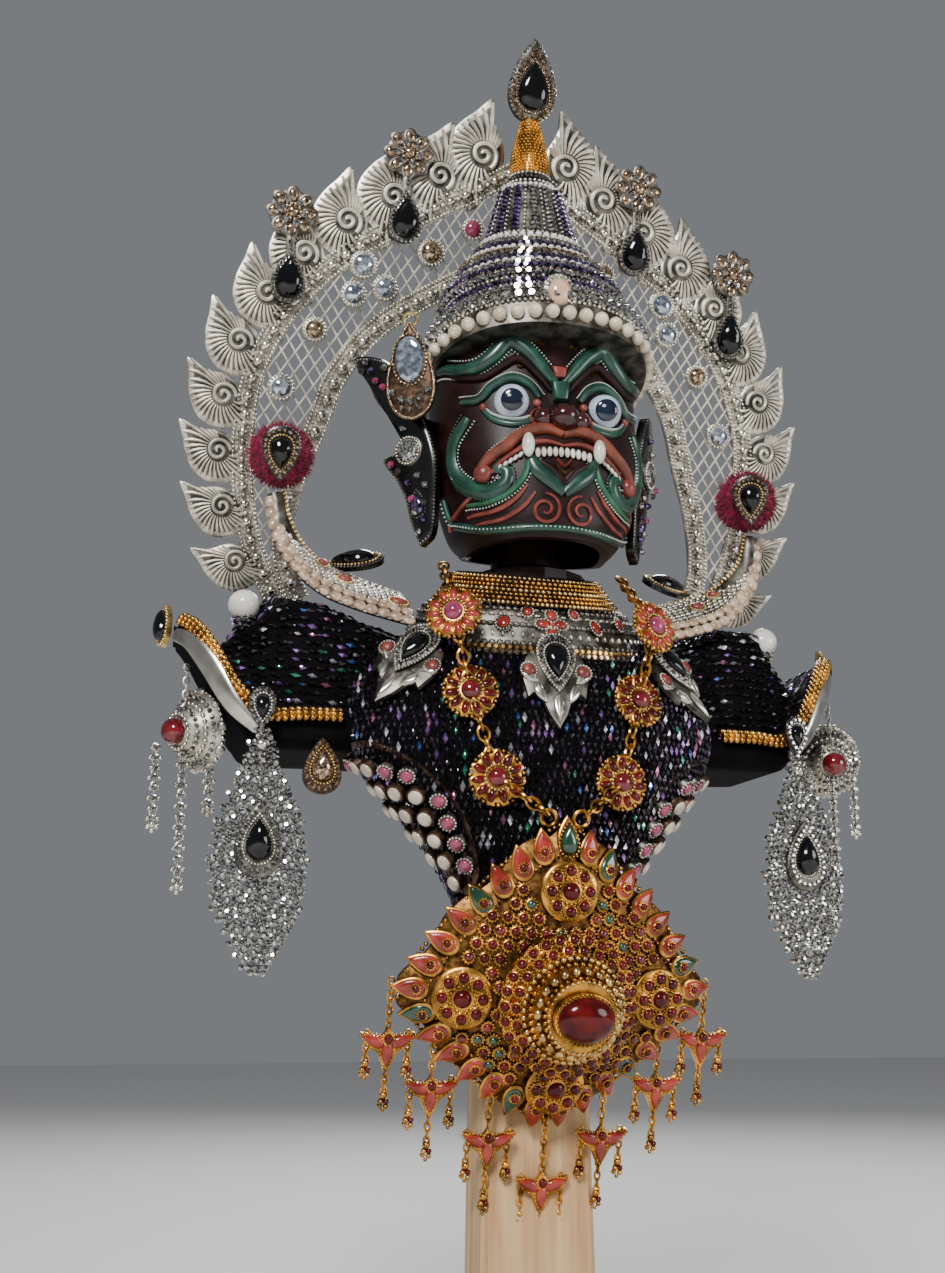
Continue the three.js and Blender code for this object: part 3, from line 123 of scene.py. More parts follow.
# The studio, in metres: each light's name, place, width and power, all aimed at the collar
LIGHT_AIM = (0, 0, 0.27)
LIGHTS = (
    ("key", (-0.55, -1.1, 0.95), 0.35, 26),
    ("fill", (1.0, -0.9, 0.4), 0.6, 7),
    ("rim", (0.4, 1.0, 1.1), 0.5, 14),
)
WORLD_STRENGTH = 0.24
FLOOR_REACH = 4.0


class KhonSizes(bpy.types.PropertyGroup):
    """Sizes of the small things that are set on the mask"""

    pearl: FloatProperty(
        name="Pearl", description="Radius of a crown pearl, in millimetres", default=2.55, min=1, max=4
    )
    bead: FloatProperty(
        name="Bead", description="Radius of a small metal bead, in millimetres", default=0.75, min=0.3, max=2
    )
    cell: FloatProperty(
        name="Mesh cell", description="Width of a cell of the halo's wire mesh", default=4.9, min=2, max=12
    )
    wire: FloatProperty(
        name="Wire", description="Thickness of the halo's mesh wire", default=0.85, min=0.2, max=1.5
    )
    sequin: FloatProperty(
        name="Sequin", description="Length of a sequin of the cape", default=3.6, min=1, max=8
    )
    fibres: IntProperty(
        name="Fibres", description="Number of fibres of a pompom", default=1500, min=100, max=4000
    )


class KhonColours(bpy.types.PropertyGroup):
    """Colours of the lacquer, paint, metals, stones and fibres"""

    lacquer: FloatVectorProperty(
        name="Lacquer", description="Ground colour of the face", subtype="COLOR",
        default=(0.016, 0.0035, 0.003)
    )
    green: FloatVectorProperty(
        name="Green", description="Green of the brows", subtype="COLOR", default=(0.007, 0.055, 0.034)
    )
    copper: FloatVectorProperty(
        name="Copper pink", description="Colour of the lips", subtype="COLOR", default=(0.22, 0.05, 0.026)
    )
    silver: FloatVectorProperty(
        name="Silver", description="Colour of the silver plate", subtype="COLOR", default=(0.72, 0.67, 0.57)
    )
    gold: FloatVectorProperty(
        name="Gold", description="Colour of the gilding", subtype="COLOR", default=(0.74, 0.37, 0.07)
    )
    garnet: FloatVectorProperty(
        name="Garnet", description="Colour of the dark red stones", subtype="COLOR",
        default=(0.11, 0.005, 0.005)
    )
    fibre: FloatVectorProperty(
        name="Fibre", description="Colour of the pompoms", subtype="COLOR", default=(0.24, 0.004, 0.04)
    )


def sizes():
    return bpy.context.scene.khon_sizes


def colours():
    return bpy.context.scene.khon_colours


# Vectors, paths and frames


def unit(v):
    v = np.asarray(v, float)
    return v / np.maximum(np.linalg.norm(v, axis=-1, keepdims=True), 1e-9)


def mix(a, b, t):
    return a + (b - a) * t


def clamp(v, low, high):
    return min(max(v, low), high)


def smooth(t):
    return t * t * (3 - 2 * t)


def facing(position, normal, up=(0, 0, 1), roll=0.0):
    """A frame whose z looks along the normal and whose y follows up"""
    z = unit(normal)
    if abs(np.dot(unit(up), z)) > 0.999:
        up = (1, 0.1, 0)
    x = unit(np.cross(up, z))
    y = np.cross(z, x)
    turned_x = x * cos(roll) + y * sin(roll)
    turned_y = y * cos(roll) - x * sin(roll)
    m = np.eye(4)
    m[:3, 0], m[:3, 1], m[:3, 2], m[:3, 3] = turned_x, turned_y, z, position
    return m


def leaned(pivot, degrees):
    """The frame of an upright plate that leans forward: x across, y up the plate, z to the front"""
    a = radians(90 + degrees)
    m = np.eye(4)
    m[:3, 1] = (0, cos(a), sin(a))
    m[:3, 2] = (0, -sin(a), cos(a))
    m[:3, 3] = pivot
    return m


def shifted(m, x=0.0, y=0.0, z=0.0, roll=0.0):
    """The frame m with its origin moved within it, then turned about its own z"""
    out = m.copy()
    out[:3, 3] = m[:3, 3] + m[:3, 0] * x + m[:3, 1] * y + m[:3, 2] * z
    out[:3, 0] = m[:3, 0] * cos(roll) + m[:3, 1] * sin(roll)
    out[:3, 1] = m[:3, 1] * cos(roll) - m[:3, 0] * sin(roll)
    return out


def carried(m, points):
    return np.asarray(points, float) @ m[:3, :3].T + m[:3, 3]


def curve_through(points, per_span=12):
    """Points of a smooth curve through the given ones"""
    p = np.asarray(points, float)
    if len(p) == 2:
        return mix(p[0], p[1], np.linspace(0, 1, per_span + 1)[:, None])
    padded = np.vstack([2 * p[0] - p[1], p, 2 * p[-1] - p[-2]])
    out = []
    for i in range(len(p) - 1):
        a, b, c, d = padded[i : i + 4]
        for t in np.linspace(0, 1, per_span, endpoint=False):
            out.append(
                0.5 * (
                    2 * b + (c - a) * t + (2 * a - 5 * b + 4 * c - d) * t * t + (3 * b - a - 3 * c + d) * t**3
                )
            )
    out.append(p[-1])
    return np.array(out)


def lengths_of(path):
    return np.concatenate([[0], np.cumsum(np.linalg.norm(np.diff(path, axis=0), axis=1))])


def sampled(path, count):
    """The path at evenly spaced places"""
    path = np.asarray(path, float)
    reach = lengths_of(path)
    stops = np.linspace(0, reach[-1], count)
    return np.stack([np.interp(stops, reach, path[:, k]) for k in range(path.shape[1])], axis=1)


def spaced(path, spacing):
    path = np.asarray(path, float)
    count = max(int(round(lengths_of(path)[-1] / spacing)), 1) + 1
    return sampled(path, count)


def tangents_of(path):
    return unit(np.gradient(np.asarray(path, float), axis=0))


# Meshes as pairs of points and faces


def joined(*shapes):
    points, faces, start = [], [], 0
    for p, f in shapes:
        points.append(np.asarray(p, float))
        faces.extend(tuple(i + start for i in face) for face in f)
        start += len(p)
    return np.vstack(points), faces


def outward(points, faces):
    """Turns every face when the closed shape's volume comes out negative"""
    volume = 0.0
    for f in faces:
        for i in range(1, len(f) - 1):
            volume += np.dot(points[f[0]], np.cross(points[f[i]], points[f[i + 1]]))
    return (points, faces) if volume >= 0 else (points, [f[::-1] for f in faces])


def loft(rings, round_again=False):
    """A closed skin over rings of equal length, with a fan over each end"""
    rings = np.asarray(rings, float)
    rows, count = rings.shape[:2]
    points = rings.reshape(-1, 3)
    faces = []
    for r in range(rows if round_again else rows - 1):
        low = r * count
        high = ((r + 1) % rows) * count
        for i in range(count):
            j = (i + 1) % count
            faces.append((low + i, low + j, high + j, high + i))
    if not round_again:
        centres = [rings[0].mean(0), rings[-1].mean(0)]
        points = np.vstack([points, centres])
        first, last = len(points) - 2, len(points) - 1
        end = (rows - 1) * count
        for i in range(count):
            j = (i + 1) % count
            faces.append((j, i, first))
            faces.append((end + i, end + j, last))
    return outward(points, faces)


def tube(path, width, height, normals, sides=8, round_again=False):
    """A rod along a path: width lies across the normals, height along them"""
    path = np.asarray(path, float)
    n = len(path)
    if round_again:
        along = unit(np.roll(path, -1, 0) - np.roll(path, 1, 0))
    else:
        along = tangents_of(path)
    normals = np.broadcast_to(np.asarray(normals, float), (n, 3))
    normals = unit(normals - along * (normals * along).sum(1, keepdims=True))
    across = np.cross(along, normals)
    width = np.broadcast_to(np.asarray(width, float), (n,))
    height = np.broadcast_to(np.asarray(height, float), (n,))
    angles = (np.arange(sides) + 0.5) * 2 * pi / sides
    rings = (
        path[:, None]
        + across[:, None] * (width[:, None] / 2 * np.cos(angles))[..., None]
        + normals[:, None] * (height[:, None] / 2 * np.sin(angles))[..., None]
    )
    return loft(rings, round_again)


def lathe(profile, sides, m=None):
    """A turned form about z from pairs of radius and height"""
    angles = np.arange(sides) * 2 * pi / sides
    rings = [np.stack([r * np.cos(angles), r * np.sin(angles), np.full(sides, h)], 1) for r, h in profile]
    points, faces = loft(rings)
    return (carried(m, points) if m is not None else points), faces


def ellipse(a, b, count=20):
    angles = np.arange(count) * 2 * pi / count
    return np.stack([a * np.cos(angles), b * np.sin(angles)], 1)


def teardrop(half_width, length, count=24):
    angles = np.arange(count) * 2 * pi / count
    pinch = np.sin(angles / 2) ** 0.9
    return np.stack([half_width * np.sin(angles) * pinch, length / 2 * np.cos(angles)], 1)


def dome(outline, edge, crown, m, steps=5, top=0.0):
    """A domed form over an outline in the frame m: an upright edge, then a rounded top"""
    outline = np.asarray(outline, float)
    rings = []
    for scale, height in [(1, 0)] + [
        (mix(1, top, 1 - cos(a)), edge + crown * sin(a)) for a in np.linspace(0, pi / 2 * 0.94, steps)
    ]:
        rings.append(np.column_stack([outline * scale, np.full(len(outline), height)]))
    points, faces = loft(rings)
    return carried(m, points), faces


def ball(radius, m, squeeze=(1, 1, 1), rings=8, sides=12):
    profile = [(radius * sin(a), -radius * cos(a)) for a in np.linspace(0.12, pi - 0.12, rings)]
    points, faces = lathe(profile, sides)
    return carried(m, points * np.asarray(squeeze)), faces


def piece(name, shape, material, nodes=(), rounded=40):
    """Makes a mesh object in metres that rides on the one body and stands for its nodes"""
    points, faces = shape
    mesh = bpy.data.meshes.new(name)
    mesh.from_pydata((np.asarray(points) * 0.001).tolist(), [], [list(f) for f in faces])
    mesh.materials.append(material)
    mesh.shade_smooth()
    mesh.set_sharp_from_angle(angle=radians(rounded))
    obj = bpy.data.objects.new(name, mesh)
    bpy.context.scene.collection.objects.link(obj)
    declare(obj, nodes)
    return obj


def declare(obj, nodes=()):
    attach(obj, BODY)
    if nodes:
        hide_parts(*nodes)


# Small repeated things are set on points by Geometry Nodes


def setting_tree(kind):
    """A tree that sets one small form on every point, turned and sized by the point's own values"""
    tree = bpy.data.node_groups.new("Set " + kind, "GeometryNodeTree")
    face = tree.interface
    face.new_socket("Places", in_out="INPUT", socket_type="NodeSocketGeometry")
    face.new_socket("Sides", in_out="INPUT", socket_type="NodeSocketInt")
    face.new_socket("Rings", in_out="INPUT", socket_type="NodeSocketInt")
    face.new_socket("Top", in_out="INPUT", socket_type="NodeSocketFloat")
    face.new_socket("Material", in_out="INPUT", socket_type="NodeSocketMaterial")
    face.new_socket("Form", in_out="OUTPUT", socket_type="NodeSocketGeometry")
    new = tree.nodes.new
    link = tree.links.new
    given = new("NodeGroupInput")
    result = new("NodeGroupOutput")
    if kind == "bead":
        form = new("GeometryNodeMeshUVSphere")
        link(given.outputs["Sides"], form.inputs["Segments"])
        link(given.outputs["Rings"], form.inputs["Rings"])
        form.inputs["Radius"].default_value = 1.0
    else:
        form = new("GeometryNodeMeshCone")
        link(given.outputs["Sides"], form.inputs["Vertices"])
        link(given.outputs["Rings"], form.inputs["Side Segments"])
        link(given.outputs["Top"], form.inputs["Radius Top"])
        form.inputs["Radius Bottom"].default_value = 1.0
        form.inputs["Depth"].default_value = 1.0
    turn = new("GeometryNodeInputNamedAttribute")
    turn.data_type = "FLOAT_VECTOR"
    turn.inputs["Name"].default_value = "turn"
    size = new("GeometryNodeInputNamedAttribute")
    size.data_type = "FLOAT_VECTOR"
    size.inputs["Name"].default_value = "size"
    rotation = new("FunctionNodeEulerToRotation")
    link(turn.outputs["Attribute"], rotation.inputs["Euler"])
    scatter = new("GeometryNodeInstanceOnPoints")
    link(given.outputs["Places"], scatter.inputs["Points"])
    link(form.outputs["Mesh"], scatter.inputs["Instance"])
    link(rotation.outputs["Rotation"], scatter.inputs["Rotation"])
    link(size.outputs["Attribute"], scatter.inputs["Scale"])
    real = new("GeometryNodeRealizeInstances")
    link(scatter.outputs["Instances"], real.inputs["Geometry"])
    shade = new("GeometryNodeSetShadeSmooth")
    shade.inputs["Shade Smooth"].default_value = kind == "bead"
    link(real.outputs["Geometry"], shade.inputs["Geometry"])
    dress = new("GeometryNodeSetMaterial")
    link(shade.outputs["Geometry"], dress.inputs["Geometry"])
    link(given.outputs["Material"], dress.inputs["Material"])
    link(dress.outputs["Geometry"], result.inputs["Form"])
    return tree


# Each kind of small form: its tree, its sides, its rings and its top as a share of its foot
FORMS = {
    "bead": ("bead", 7, 4, 0.0),
    "pearl": ("bead", 10, 6, 0.0),
    "cut": ("cone", 8, 1, 0.55),
    "square": ("cone", 4, 1, 0.6),
    "flake": ("cone", 4, 1, 0.25),
    "hair": ("cone", 3, 1, 0.0),
}


class Tray:
    """Small forms that are laid out first and set together"""

    def __init__(self):
        self.places = defaultdict(list)

    def lay(self, form, finish, position, normal, up=(0, 0, 1), size=(1, 1, 1), roll=0.0):
        m = facing(position, normal, up, roll)
        turn = Matrix(m[:3, :3].tolist()).to_euler()
        self.places[(form, finish)].append((position, tuple(turn), size))

    def row(self, form, finish, path, normals, spacing, size, lift=0.0):
        path = np.asarray(path, float)
        normals = np.broadcast_to(np.asarray(normals, float), path.shape)
        both = spaced(np.column_stack([path, normals * 1e-4]), spacing)
        points = both[:, :3]
        facings = unit(both[:, 3:])
        ups = tangents_of(points) if len(points) > 1 else np.array([[0, 0, 1]])
        for p, n, u in zip(points, facings, ups):
            self.lay(form, finish, p + n * lift, n, u, size)

    def ring(self, form, finish, outline, m, spacing, size, height=0.0):
        """A row round a flat outline in the frame m"""
        closed = np.vstack([outline, outline[:1]])
        flat = spaced(closed, spacing)[:-1]
        for x, y in flat:
            centre = carried(m, [[x, y, height]])[0]
            self.lay(form, finish, centre, m[:3, 2], m[:3, 1], size, atan2(y, x))

    def set_down(self, name):
        """Sets everything laid on the tray and gives one object for each form and finish"""
        for (form, finish), items in self.places.items():
            kind, sides, rings, top = FORMS[form]
            mesh = bpy.data.meshes.new(name)
            mesh.from_pydata([tuple(0.001 * float(v) for v in item[0]) for item in items], [], [])
            turn = mesh.attributes.new("turn", "FLOAT_VECTOR", "POINT")
            turn.data.foreach_set("vector", np.array([i[1] for i in items], "f").ravel())
            size = mesh.attributes.new("size", "FLOAT_VECTOR", "POINT")
            size.data.foreach_set("vector", 0.001 * np.array([i[2] for i in items], "f").ravel())
            holder = bpy.data.objects.new(name, mesh)
            bpy.context.scene.collection.objects.link(holder)
            tree = bpy.data.node_groups.get("Set " + kind) or setting_tree(kind)
            modifier = holder.modifiers.new("Set", "NODES")
            modifier.node_group = tree
            sockets = {s.name: s.identifier for s in tree.interface.items_tree if s.in_out == "INPUT"}
            modifier[sockets["Sides"]] = sides
            modifier[sockets["Rings"]] = rings
            modifier[sockets["Top"]] = top
            modifier[sockets["Material"]] = finish_of(finish)
            evaluated = holder.evaluated_get(bpy.context.evaluated_depsgraph_get())
            solid = bpy.data.meshes.new_from_object(evaluated)
            for key in ("turn", "size"):
                if key in solid.attributes:
                    solid.attributes.remove(solid.attributes[key])
            if not solid.materials:
                solid.materials.append(finish_of(finish))
            result = bpy.data.objects.new("_".join((name, finish, form)), solid)
            bpy.context.scene.collection.objects.link(result)
            bpy.data.objects.remove(holder)
            declare(result)


# Materials, kept by name here because the loaded frame has slots of the same names

FINISHES = {}


def cloud_group():
    """A shared effect: soft mottling, fine scratches and a small bump, from the object's own place; on the
    cut stones the mottling is fine enough to stand for painted glints and painted dark reflections
    """
    name = "Mottle and painted glints"
    if name in bpy.data.node_groups:
        return bpy.data.node_groups[name]
    tree = bpy.data.node_groups.new(name, "ShaderNodeTree")
    face = tree.interface
    for label, default in (("Scale", 200.0), ("Fine", 900.0), ("Low", 0.3), ("High", 0.7)):
        face.new_socket(label, in_out="INPUT", socket_type="NodeSocketFloat").default_value = default
    face.new_socket("Mask", in_out="OUTPUT", socket_type="NodeSocketFloat")
    face.new_socket("Roughness", in_out="OUTPUT", socket_type="NodeSocketFloat")
    face.new_socket("Height", in_out="OUTPUT", socket_type="NodeSocketFloat")
    new = tree.nodes.new
    link = tree.links.new
    given = new("NodeGroupInput")
    result = new("NodeGroupOutput")
    place = new("ShaderNodeTexCoord")
    broad = new("ShaderNodeTexNoise")
    broad.inputs["Detail"].default_value = 3.0
    fine = new("ShaderNodeTexNoise")
    fine.inputs["Detail"].default_value = 2.0
    link(place.outputs["Object"], broad.inputs["Vector"])
    link(place.outputs["Object"], fine.inputs["Vector"])
    link(given.outputs["Scale"], broad.inputs["Scale"])
    link(given.outputs["Fine"], fine.inputs["Scale"])
    spread = new("ShaderNodeMapRange")
    spread.inputs["From Min"].default_value = 0.4
    spread.inputs["From Max"].default_value = 0.65
    link(broad.outputs["Fac"], spread.inputs["Value"])
    rough = new("ShaderNodeMapRange")
    link(broad.outputs["Fac"], rough.inputs["Value"])
    link(given.outputs["Low"], rough.inputs["To Min"])
    link(given.outputs["High"], rough.inputs["To Max"])
    link(spread.outputs["Result"], result.inputs["Mask"])
    link(rough.outputs["Result"], result.inputs["Roughness"])
    link(fine.outputs["Fac"], result.inputs["Height"])
    return tree


def surface(
    name, colour, dark, low, high, metallic=0.0, coat=0.0, scale=200.0, fine=900.0, bump=0.05, **plain
):
    """A material whose colour and gloss vary softly; plain values go on the shader's own sockets"""
    material = FINISHES[name] = bpy.data.materials.new("khon_" + name)
    material.use_nodes = True
    tree = material.node_tree
    shader = tree.nodes["Principled BSDF"]
    # The mask mixes the dark and the bright colour: random mottle on most finishes, painted glints and
    # painted dark reflections on the cut stones
    mottle_and_glints = tree.nodes.new("ShaderNodeGroup")
    mottle_and_glints.node_tree = cloud_group()
    mottle_and_glints.inputs["Scale"].default_value = scale
    mottle_and_glints.inputs["Fine"].default_value = fine
    mottle_and_glints.inputs["Low"].default_value = low
    mottle_and_glints.inputs["High"].default_value = high
    blend = tree.nodes.new("ShaderNodeMix")
    blend.data_type = "RGBA"
    blend.inputs["A"].default_value = (*dark, 1)
    blend.inputs["B"].default_value = (*colour, 1)
    tree.links.new(mottle_and_glints.outputs["Mask"], blend.inputs["Factor"])
    tree.links.new(blend.outputs["Result"], shader.inputs["Base Color"])
    tree.links.new(mottle_and_glints.outputs["Roughness"], shader.inputs["Roughness"])
    shader.inputs["Metallic"].default_value = metallic
    shader.inputs["Coat Weight"].default_value = coat
    if bump:
        relief = tree.nodes.new("ShaderNodeBump")
        relief.inputs["Strength"].default_value = bump
        relief.inputs["Distance"].default_value = 0.0004
        tree.links.new(mottle_and_glints.outputs["Height"], relief.inputs["Height"])
        tree.links.new(relief.outputs["Normal"], shader.inputs["Normal"])
    for socket, value in plain.items():
        shader.inputs[socket.replace("_", " ")].default_value = value
    return material


def shade(colour, factor):
    return tuple(c * factor for c in colour)


def make_finishes():
    c = colours()
    silver, gold, garnet = tuple(c.silver), tuple(c.gold), tuple(c.garnet)
    green, copper = tuple(c.green), tuple(c.copper)
    surface("lacquer", tuple(c.lacquer), shade(c.lacquer, 0.4), 0.34, 0.5, fine=1500, Specular_IOR_Level=0.25)
    surface("green", green, shade(green, 0.45), 0.25, 0.45, coat=0.3)
    surface("bright_green", (0.025, 0.13, 0.06), (0.01, 0.06, 0.03), 0.3, 0.5, coat=0.1)
    # White paint of the lines and dots, and the painted highlight on each eye
    surface("white_paint_and_eye_highlight", (0.50, 0.53, 0.48), (0.3, 0.34, 0.3), 0.4, 0.6)
    surface("copper_pink", copper, shade(copper, 0.5), 0.28, 0.45)
    surface("rose", (0.24, 0.05, 0.035), (0.12, 0.02, 0.015), 0.28, 0.45)
    surface("nose", (0.045, 0.006, 0.006), (0.02, 0.003, 0.003), 0.1, 0.2, coat=0.4)
    surface("eye_white", (0.48, 0.54, 0.62), (0.34, 0.4, 0.5), 0.08, 0.14, coat=0.5)
    surface("iris", (0.006, 0.012, 0.03), (0.003, 0.005, 0.014), 0.06, 0.12, coat=0.6)
    surface("tooth", (0.66, 0.62, 0.54), (0.45, 0.4, 0.33), 0.18, 0.3, coat=0.3)
    surface("silver", silver, shade(silver, 0.42), 0.3, 0.5, metallic=1.0)
    surface("old_silver", shade(silver, 0.3), shade(silver, 0.08), 0.32, 0.55, metallic=1.0)
    surface("bright_silver", (0.84, 0.81, 0.72), (0.52, 0.49, 0.42), 0.16, 0.3, metallic=1.0, scale=90)
    surface("gold", gold, shade(gold, 0.36), 0.2, 0.38, metallic=1.0)
    surface("pale_gold", (0.80, 0.58, 0.24), (0.36, 0.22, 0.08), 0.2, 0.4, metallic=1.0)
    surface("bronze", (0.20, 0.095, 0.025), (0.05, 0.022, 0.008), 0.3, 0.5, metallic=1.0, scale=500)
    # Cut stones: the fine mottle between the bright and the dark colour is painted glints and painted dark
    # reflections, not the stones' own colour
    surface("crystal", (0.82, 0.80, 0.74), (0.09, 0.09, 0.095), 0.05, 0.16, metallic=0.9, scale=1100, bump=0)
    surface(
        "clear", (0.66, 0.72, 0.78), (0.16, 0.2, 0.26), 0.03, 0.08, metallic=0.8, coat=0.5, scale=420, bump=0
    )
    surface(
        "violet_crystal", (0.22, 0.15, 0.36), (0.012, 0.01, 0.02), 0.05, 0.14, metallic=0.8, scale=700, bump=0
    )
    surface(
        "champagne", (0.66, 0.50, 0.33), (0.1, 0.06, 0.035), 0.08, 0.18, metallic=0.85, scale=1100, bump=0
    )
    surface("wire", (0.64, 0.59, 0.48), (0.36, 0.33, 0.27), 0.4, 0.6, metallic=0.5)
    surface("onyx", (0.002, 0.002, 0.003), (0.001, 0.001, 0.001), 0.04, 0.1, bump=0)
    surface("garnet", garnet, shade(garnet, 0.4), 0.08, 0.16, bump=0, Specular_IOR_Level=0.3)
    surface("ruby", (0.17, 0.008, 0.012), (0.07, 0.003, 0.005), 0.04, 0.1, coat=0.5, bump=0)
    surface("pink_stone", (0.36, 0.05, 0.12), (0.16, 0.02, 0.05), 0.05, 0.12, coat=0.5, bump=0)
    surface("coral", (0.34, 0.035, 0.02), (0.17, 0.012, 0.008), 0.15, 0.28, coat=0.2)
    surface("green_enamel", (0.01, 0.065, 0.028), (0.004, 0.026, 0.012), 0.12, 0.25, coat=0.8)
    surface("pearl", (0.70, 0.62, 0.47), (0.46, 0.38, 0.26), 0.16, 0.28, coat=0.4)
    surface("white_pearl", (0.78, 0.75, 0.70), (0.6, 0.57, 0.52), 0.14, 0.24, coat=0.5)
    surface("cream_stud", (0.62, 0.55, 0.43), (0.4, 0.34, 0.26), 0.16, 0.3, coat=0.4)
    surface("blush", (0.56, 0.42, 0.30), (0.26, 0.17, 0.11), 0.18, 0.32, coat=0.3, scale=300)
    surface("opal", (0.62, 0.40, 0.28), (0.5, 0.3, 0.2), 0.12, 0.2, coat=0.5)
    surface(
        "cape", (0.003, 0.002, 0.003), (0.001, 0.001, 0.001), 0.7, 0.9, fine=2400, bump=0.3,
        Specular_IOR_Level=0.06
    )
    surface("black_lacquer", (0.004, 0.0035, 0.0035), (0.002, 0.002, 0.002), 0.15, 0.35, coat=0.2)
    surface("brown_bezel", (0.11, 0.06, 0.035), (0.03, 0.016, 0.01), 0.3, 0.5, metallic=0.8, scale=500)
    # Sequin colours painted as glints: bright sequins that stand for painted highlights and painted
    # iridescent reflections on the dark cape
    surface("glint_violet", (0.42, 0.22, 0.6), (0.22, 0.1, 0.34), 0.12, 0.25, metallic=0.8, bump=0)
    surface("glint_white", (0.8, 0.8, 0.84), (0.5, 0.5, 0.56), 0.1, 0.2, metallic=0.8, bump=0)
    surface("glint_green", (0.12, 0.5, 0.34), (0.05, 0.26, 0.18), 0.12, 0.25, metallic=0.8, bump=0)
    surface("glint_rose", (0.6, 0.24, 0.4), (0.3, 0.1, 0.2), 0.12, 0.25, metallic=0.8, bump=0)
    surface("glint_blue", (0.1, 0.22, 0.6), (0.04, 0.1, 0.3), 0.12, 0.25, metallic=0.8, bump=0)
    surface("sequin", (0.075, 0.062, 0.08), (0.008, 0.007, 0.01), 0.1, 0.26, metallic=0.9, scale=700, bump=0)
    surface("fibre", tuple(c.fibre), shade(c.fibre, 0.4), 0.7, 0.9, scale=400, bump=0)
    pine_finish()


def pine_finish():
    """Planed pine: grain that runs up the post, with soft darker bands"""
    material = FINISHES["pine"] = bpy.data.materials.new("khon_pine")
    material.use_nodes = True
    tree = material.node_tree
    new = tree.nodes.new
    link = tree.links.new
    shader = tree.nodes["Principled BSDF"]
    place = new("ShaderNodeTexCoord")
    stretch = new("ShaderNodeMapping")
    stretch.inputs["Scale"].default_value = (1, 1, 0.06)
    grain = new("ShaderNodeTexNoise")
    grain.inputs["Scale"].default_value = 260
    grain.inputs["Detail"].default_value = 5
    band = new("ShaderNodeTexNoise")
    band.inputs["Scale"].default_value = 60
    band.inputs["Detail"].default_value = 2
    link(place.outputs["Object"], stretch.inputs["Vector"])
    link(stretch.outputs["Vector"], grain.inputs["Vector"])
    link(stretch.outputs["Vector"], band.inputs["Vector"])
    ramp = new("ShaderNodeValToRGB")
    ramp.color_ramp.elements[0].position = 0.3
    ramp.color_ramp.elements[0].color = (0.42, 0.24, 0.10, 1)
    ramp.color_ramp.elements[1].position = 0.7
    ramp.color_ramp.elements[1].color = (0.66, 0.46, 0.25, 1)
    link(grain.outputs["Fac"], ramp.inputs["Fac"])
    tone = new("ShaderNodeMix")
    tone.data_type = "RGBA"
    tone.blend_type = "MULTIPLY"
    tone.inputs["Factor"].default_value = 0.5
    shadow = new("ShaderNodeValToRGB")
    shadow.color_ramp.elements[0].color = (0.6, 0.5, 0.42, 1)
    shadow.color_ramp.elements[1].color = (1, 1, 1, 1)
    link(band.outputs["Fac"], shadow.inputs["Fac"])
    link(ramp.outputs["Color"], tone.inputs["A"])
    link(shadow.outputs["Color"], tone.inputs["B"])
    link(tone.outputs["Result"], shader.inputs["Base Color"])
    relief = new("ShaderNodeBump")
    relief.inputs["Strength"].default_value = 0.15
    relief.inputs["Distance"].default_value = 0.0003
    link(grain.outputs["Fac"], relief.inputs["Height"])
    link(relief.outputs["Normal"], shader.inputs["Normal"])
    shader.inputs["Roughness"].default_value = 0.55
    return material


def finish_of(name):
    return FINISHES[name]


def dress(node, finish):
    """Gives a solid that is shown as it is its finish"""
    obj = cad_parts[node]
    if not obj.material_slots:
        obj.data.materials.append(finish_of(finish))
    for held in obj.material_slots:
        held.material = finish_of(finish)


# Settings: a backing, a domed stone and rows of small things round it


def jewel(tray, shapes, m, outline, backing, stone, stone_share=0.55, edge=2.2, crown=3.0, rows=()):
    """Adds a backing and a stone to shapes, and lays rows round the stone on the tray"""
    shapes[backing].append(dome(outline, edge, 0.6, m, steps=3, top=0.6))
    lifted = shifted(m, z=edge * 0.8)
    shapes[stone].append(dome(outline * stone_share, 0.8, crown, lifted, steps=7))
    for share, form, finish, spacing, size in rows:
        tray.ring(form, finish, outline * share, m, spacing, size, edge + 0.35)


def make_shapes(prefix, shapes, nodes=()):
    """Makes one object for each finish, the first one standing for the nodes; cut stones keep their facets"""
    names = list(nodes)
    for finish, parts in shapes.items():
        rounded = 12 if finish in ("clear", "crystal", "onyx") else 40
        piece("_".join((prefix, finish)), joined(*parts), finish_of(finish), names, rounded)
        names = []


# Bust, as the solids have it but smooth

BUST_ROWS = [
    (BUST_LOW, 0.3, 0.85, 0.45, 6),
    (mix(BUST_LOW, CHEST_WIDE, 0.38), 0.5, 0.97, 0.6, 14),
    (mix(BUST_LOW, CHEST_WIDE, 0.72), 0.78, 1.03, 0.72, 14),
    (CHEST_WIDE, 1, 1.02, 0.95, 6),
    (mix(CHEST_WIDE, BUST_TOP, 0.4), 0.98, 0.94, 1.03, 0),
    (mix(CHEST_WIDE, BUST_TOP, 0.72), 0.72, 0.8, 0.94, 0),
    (BUST_TOP, 0.38, 0.66, 0.68, 0),
]


# Each span between two given rows is cut into this many, so that forms built on them have no creases
FINER = 8

BUST_FINE = curve_through(
    [
        (z, w * CHEST_HALF_WIDTH, f * CHEST_FRONT - fwd, b * CHEST_BACK + fwd, BUST_Y - fwd)
        for z, w, f, b, fwd in BUST_ROWS
    ],
    FINER,
)


def row_at(fine, z):
    z = clamp(z, fine[0][0], fine[-1][0])
    return [np.interp(z, fine[:, 0], fine[:, k]) for k in range(fine.shape[1])]


def ring_of(half, front, back, y, z, power, count):
    angles = np.arange(count) * 2 * pi / count
    s, c = np.sin(angles), np.cos(angles)
    x = half * np.sign(s) * np.abs(s) ** (2 / power)
    depth = np.where(c < 0, -front, back) * np.abs(c) ** (2 / power)
    return np.stack([x, y + depth, np.full(count, float(z))], 1)


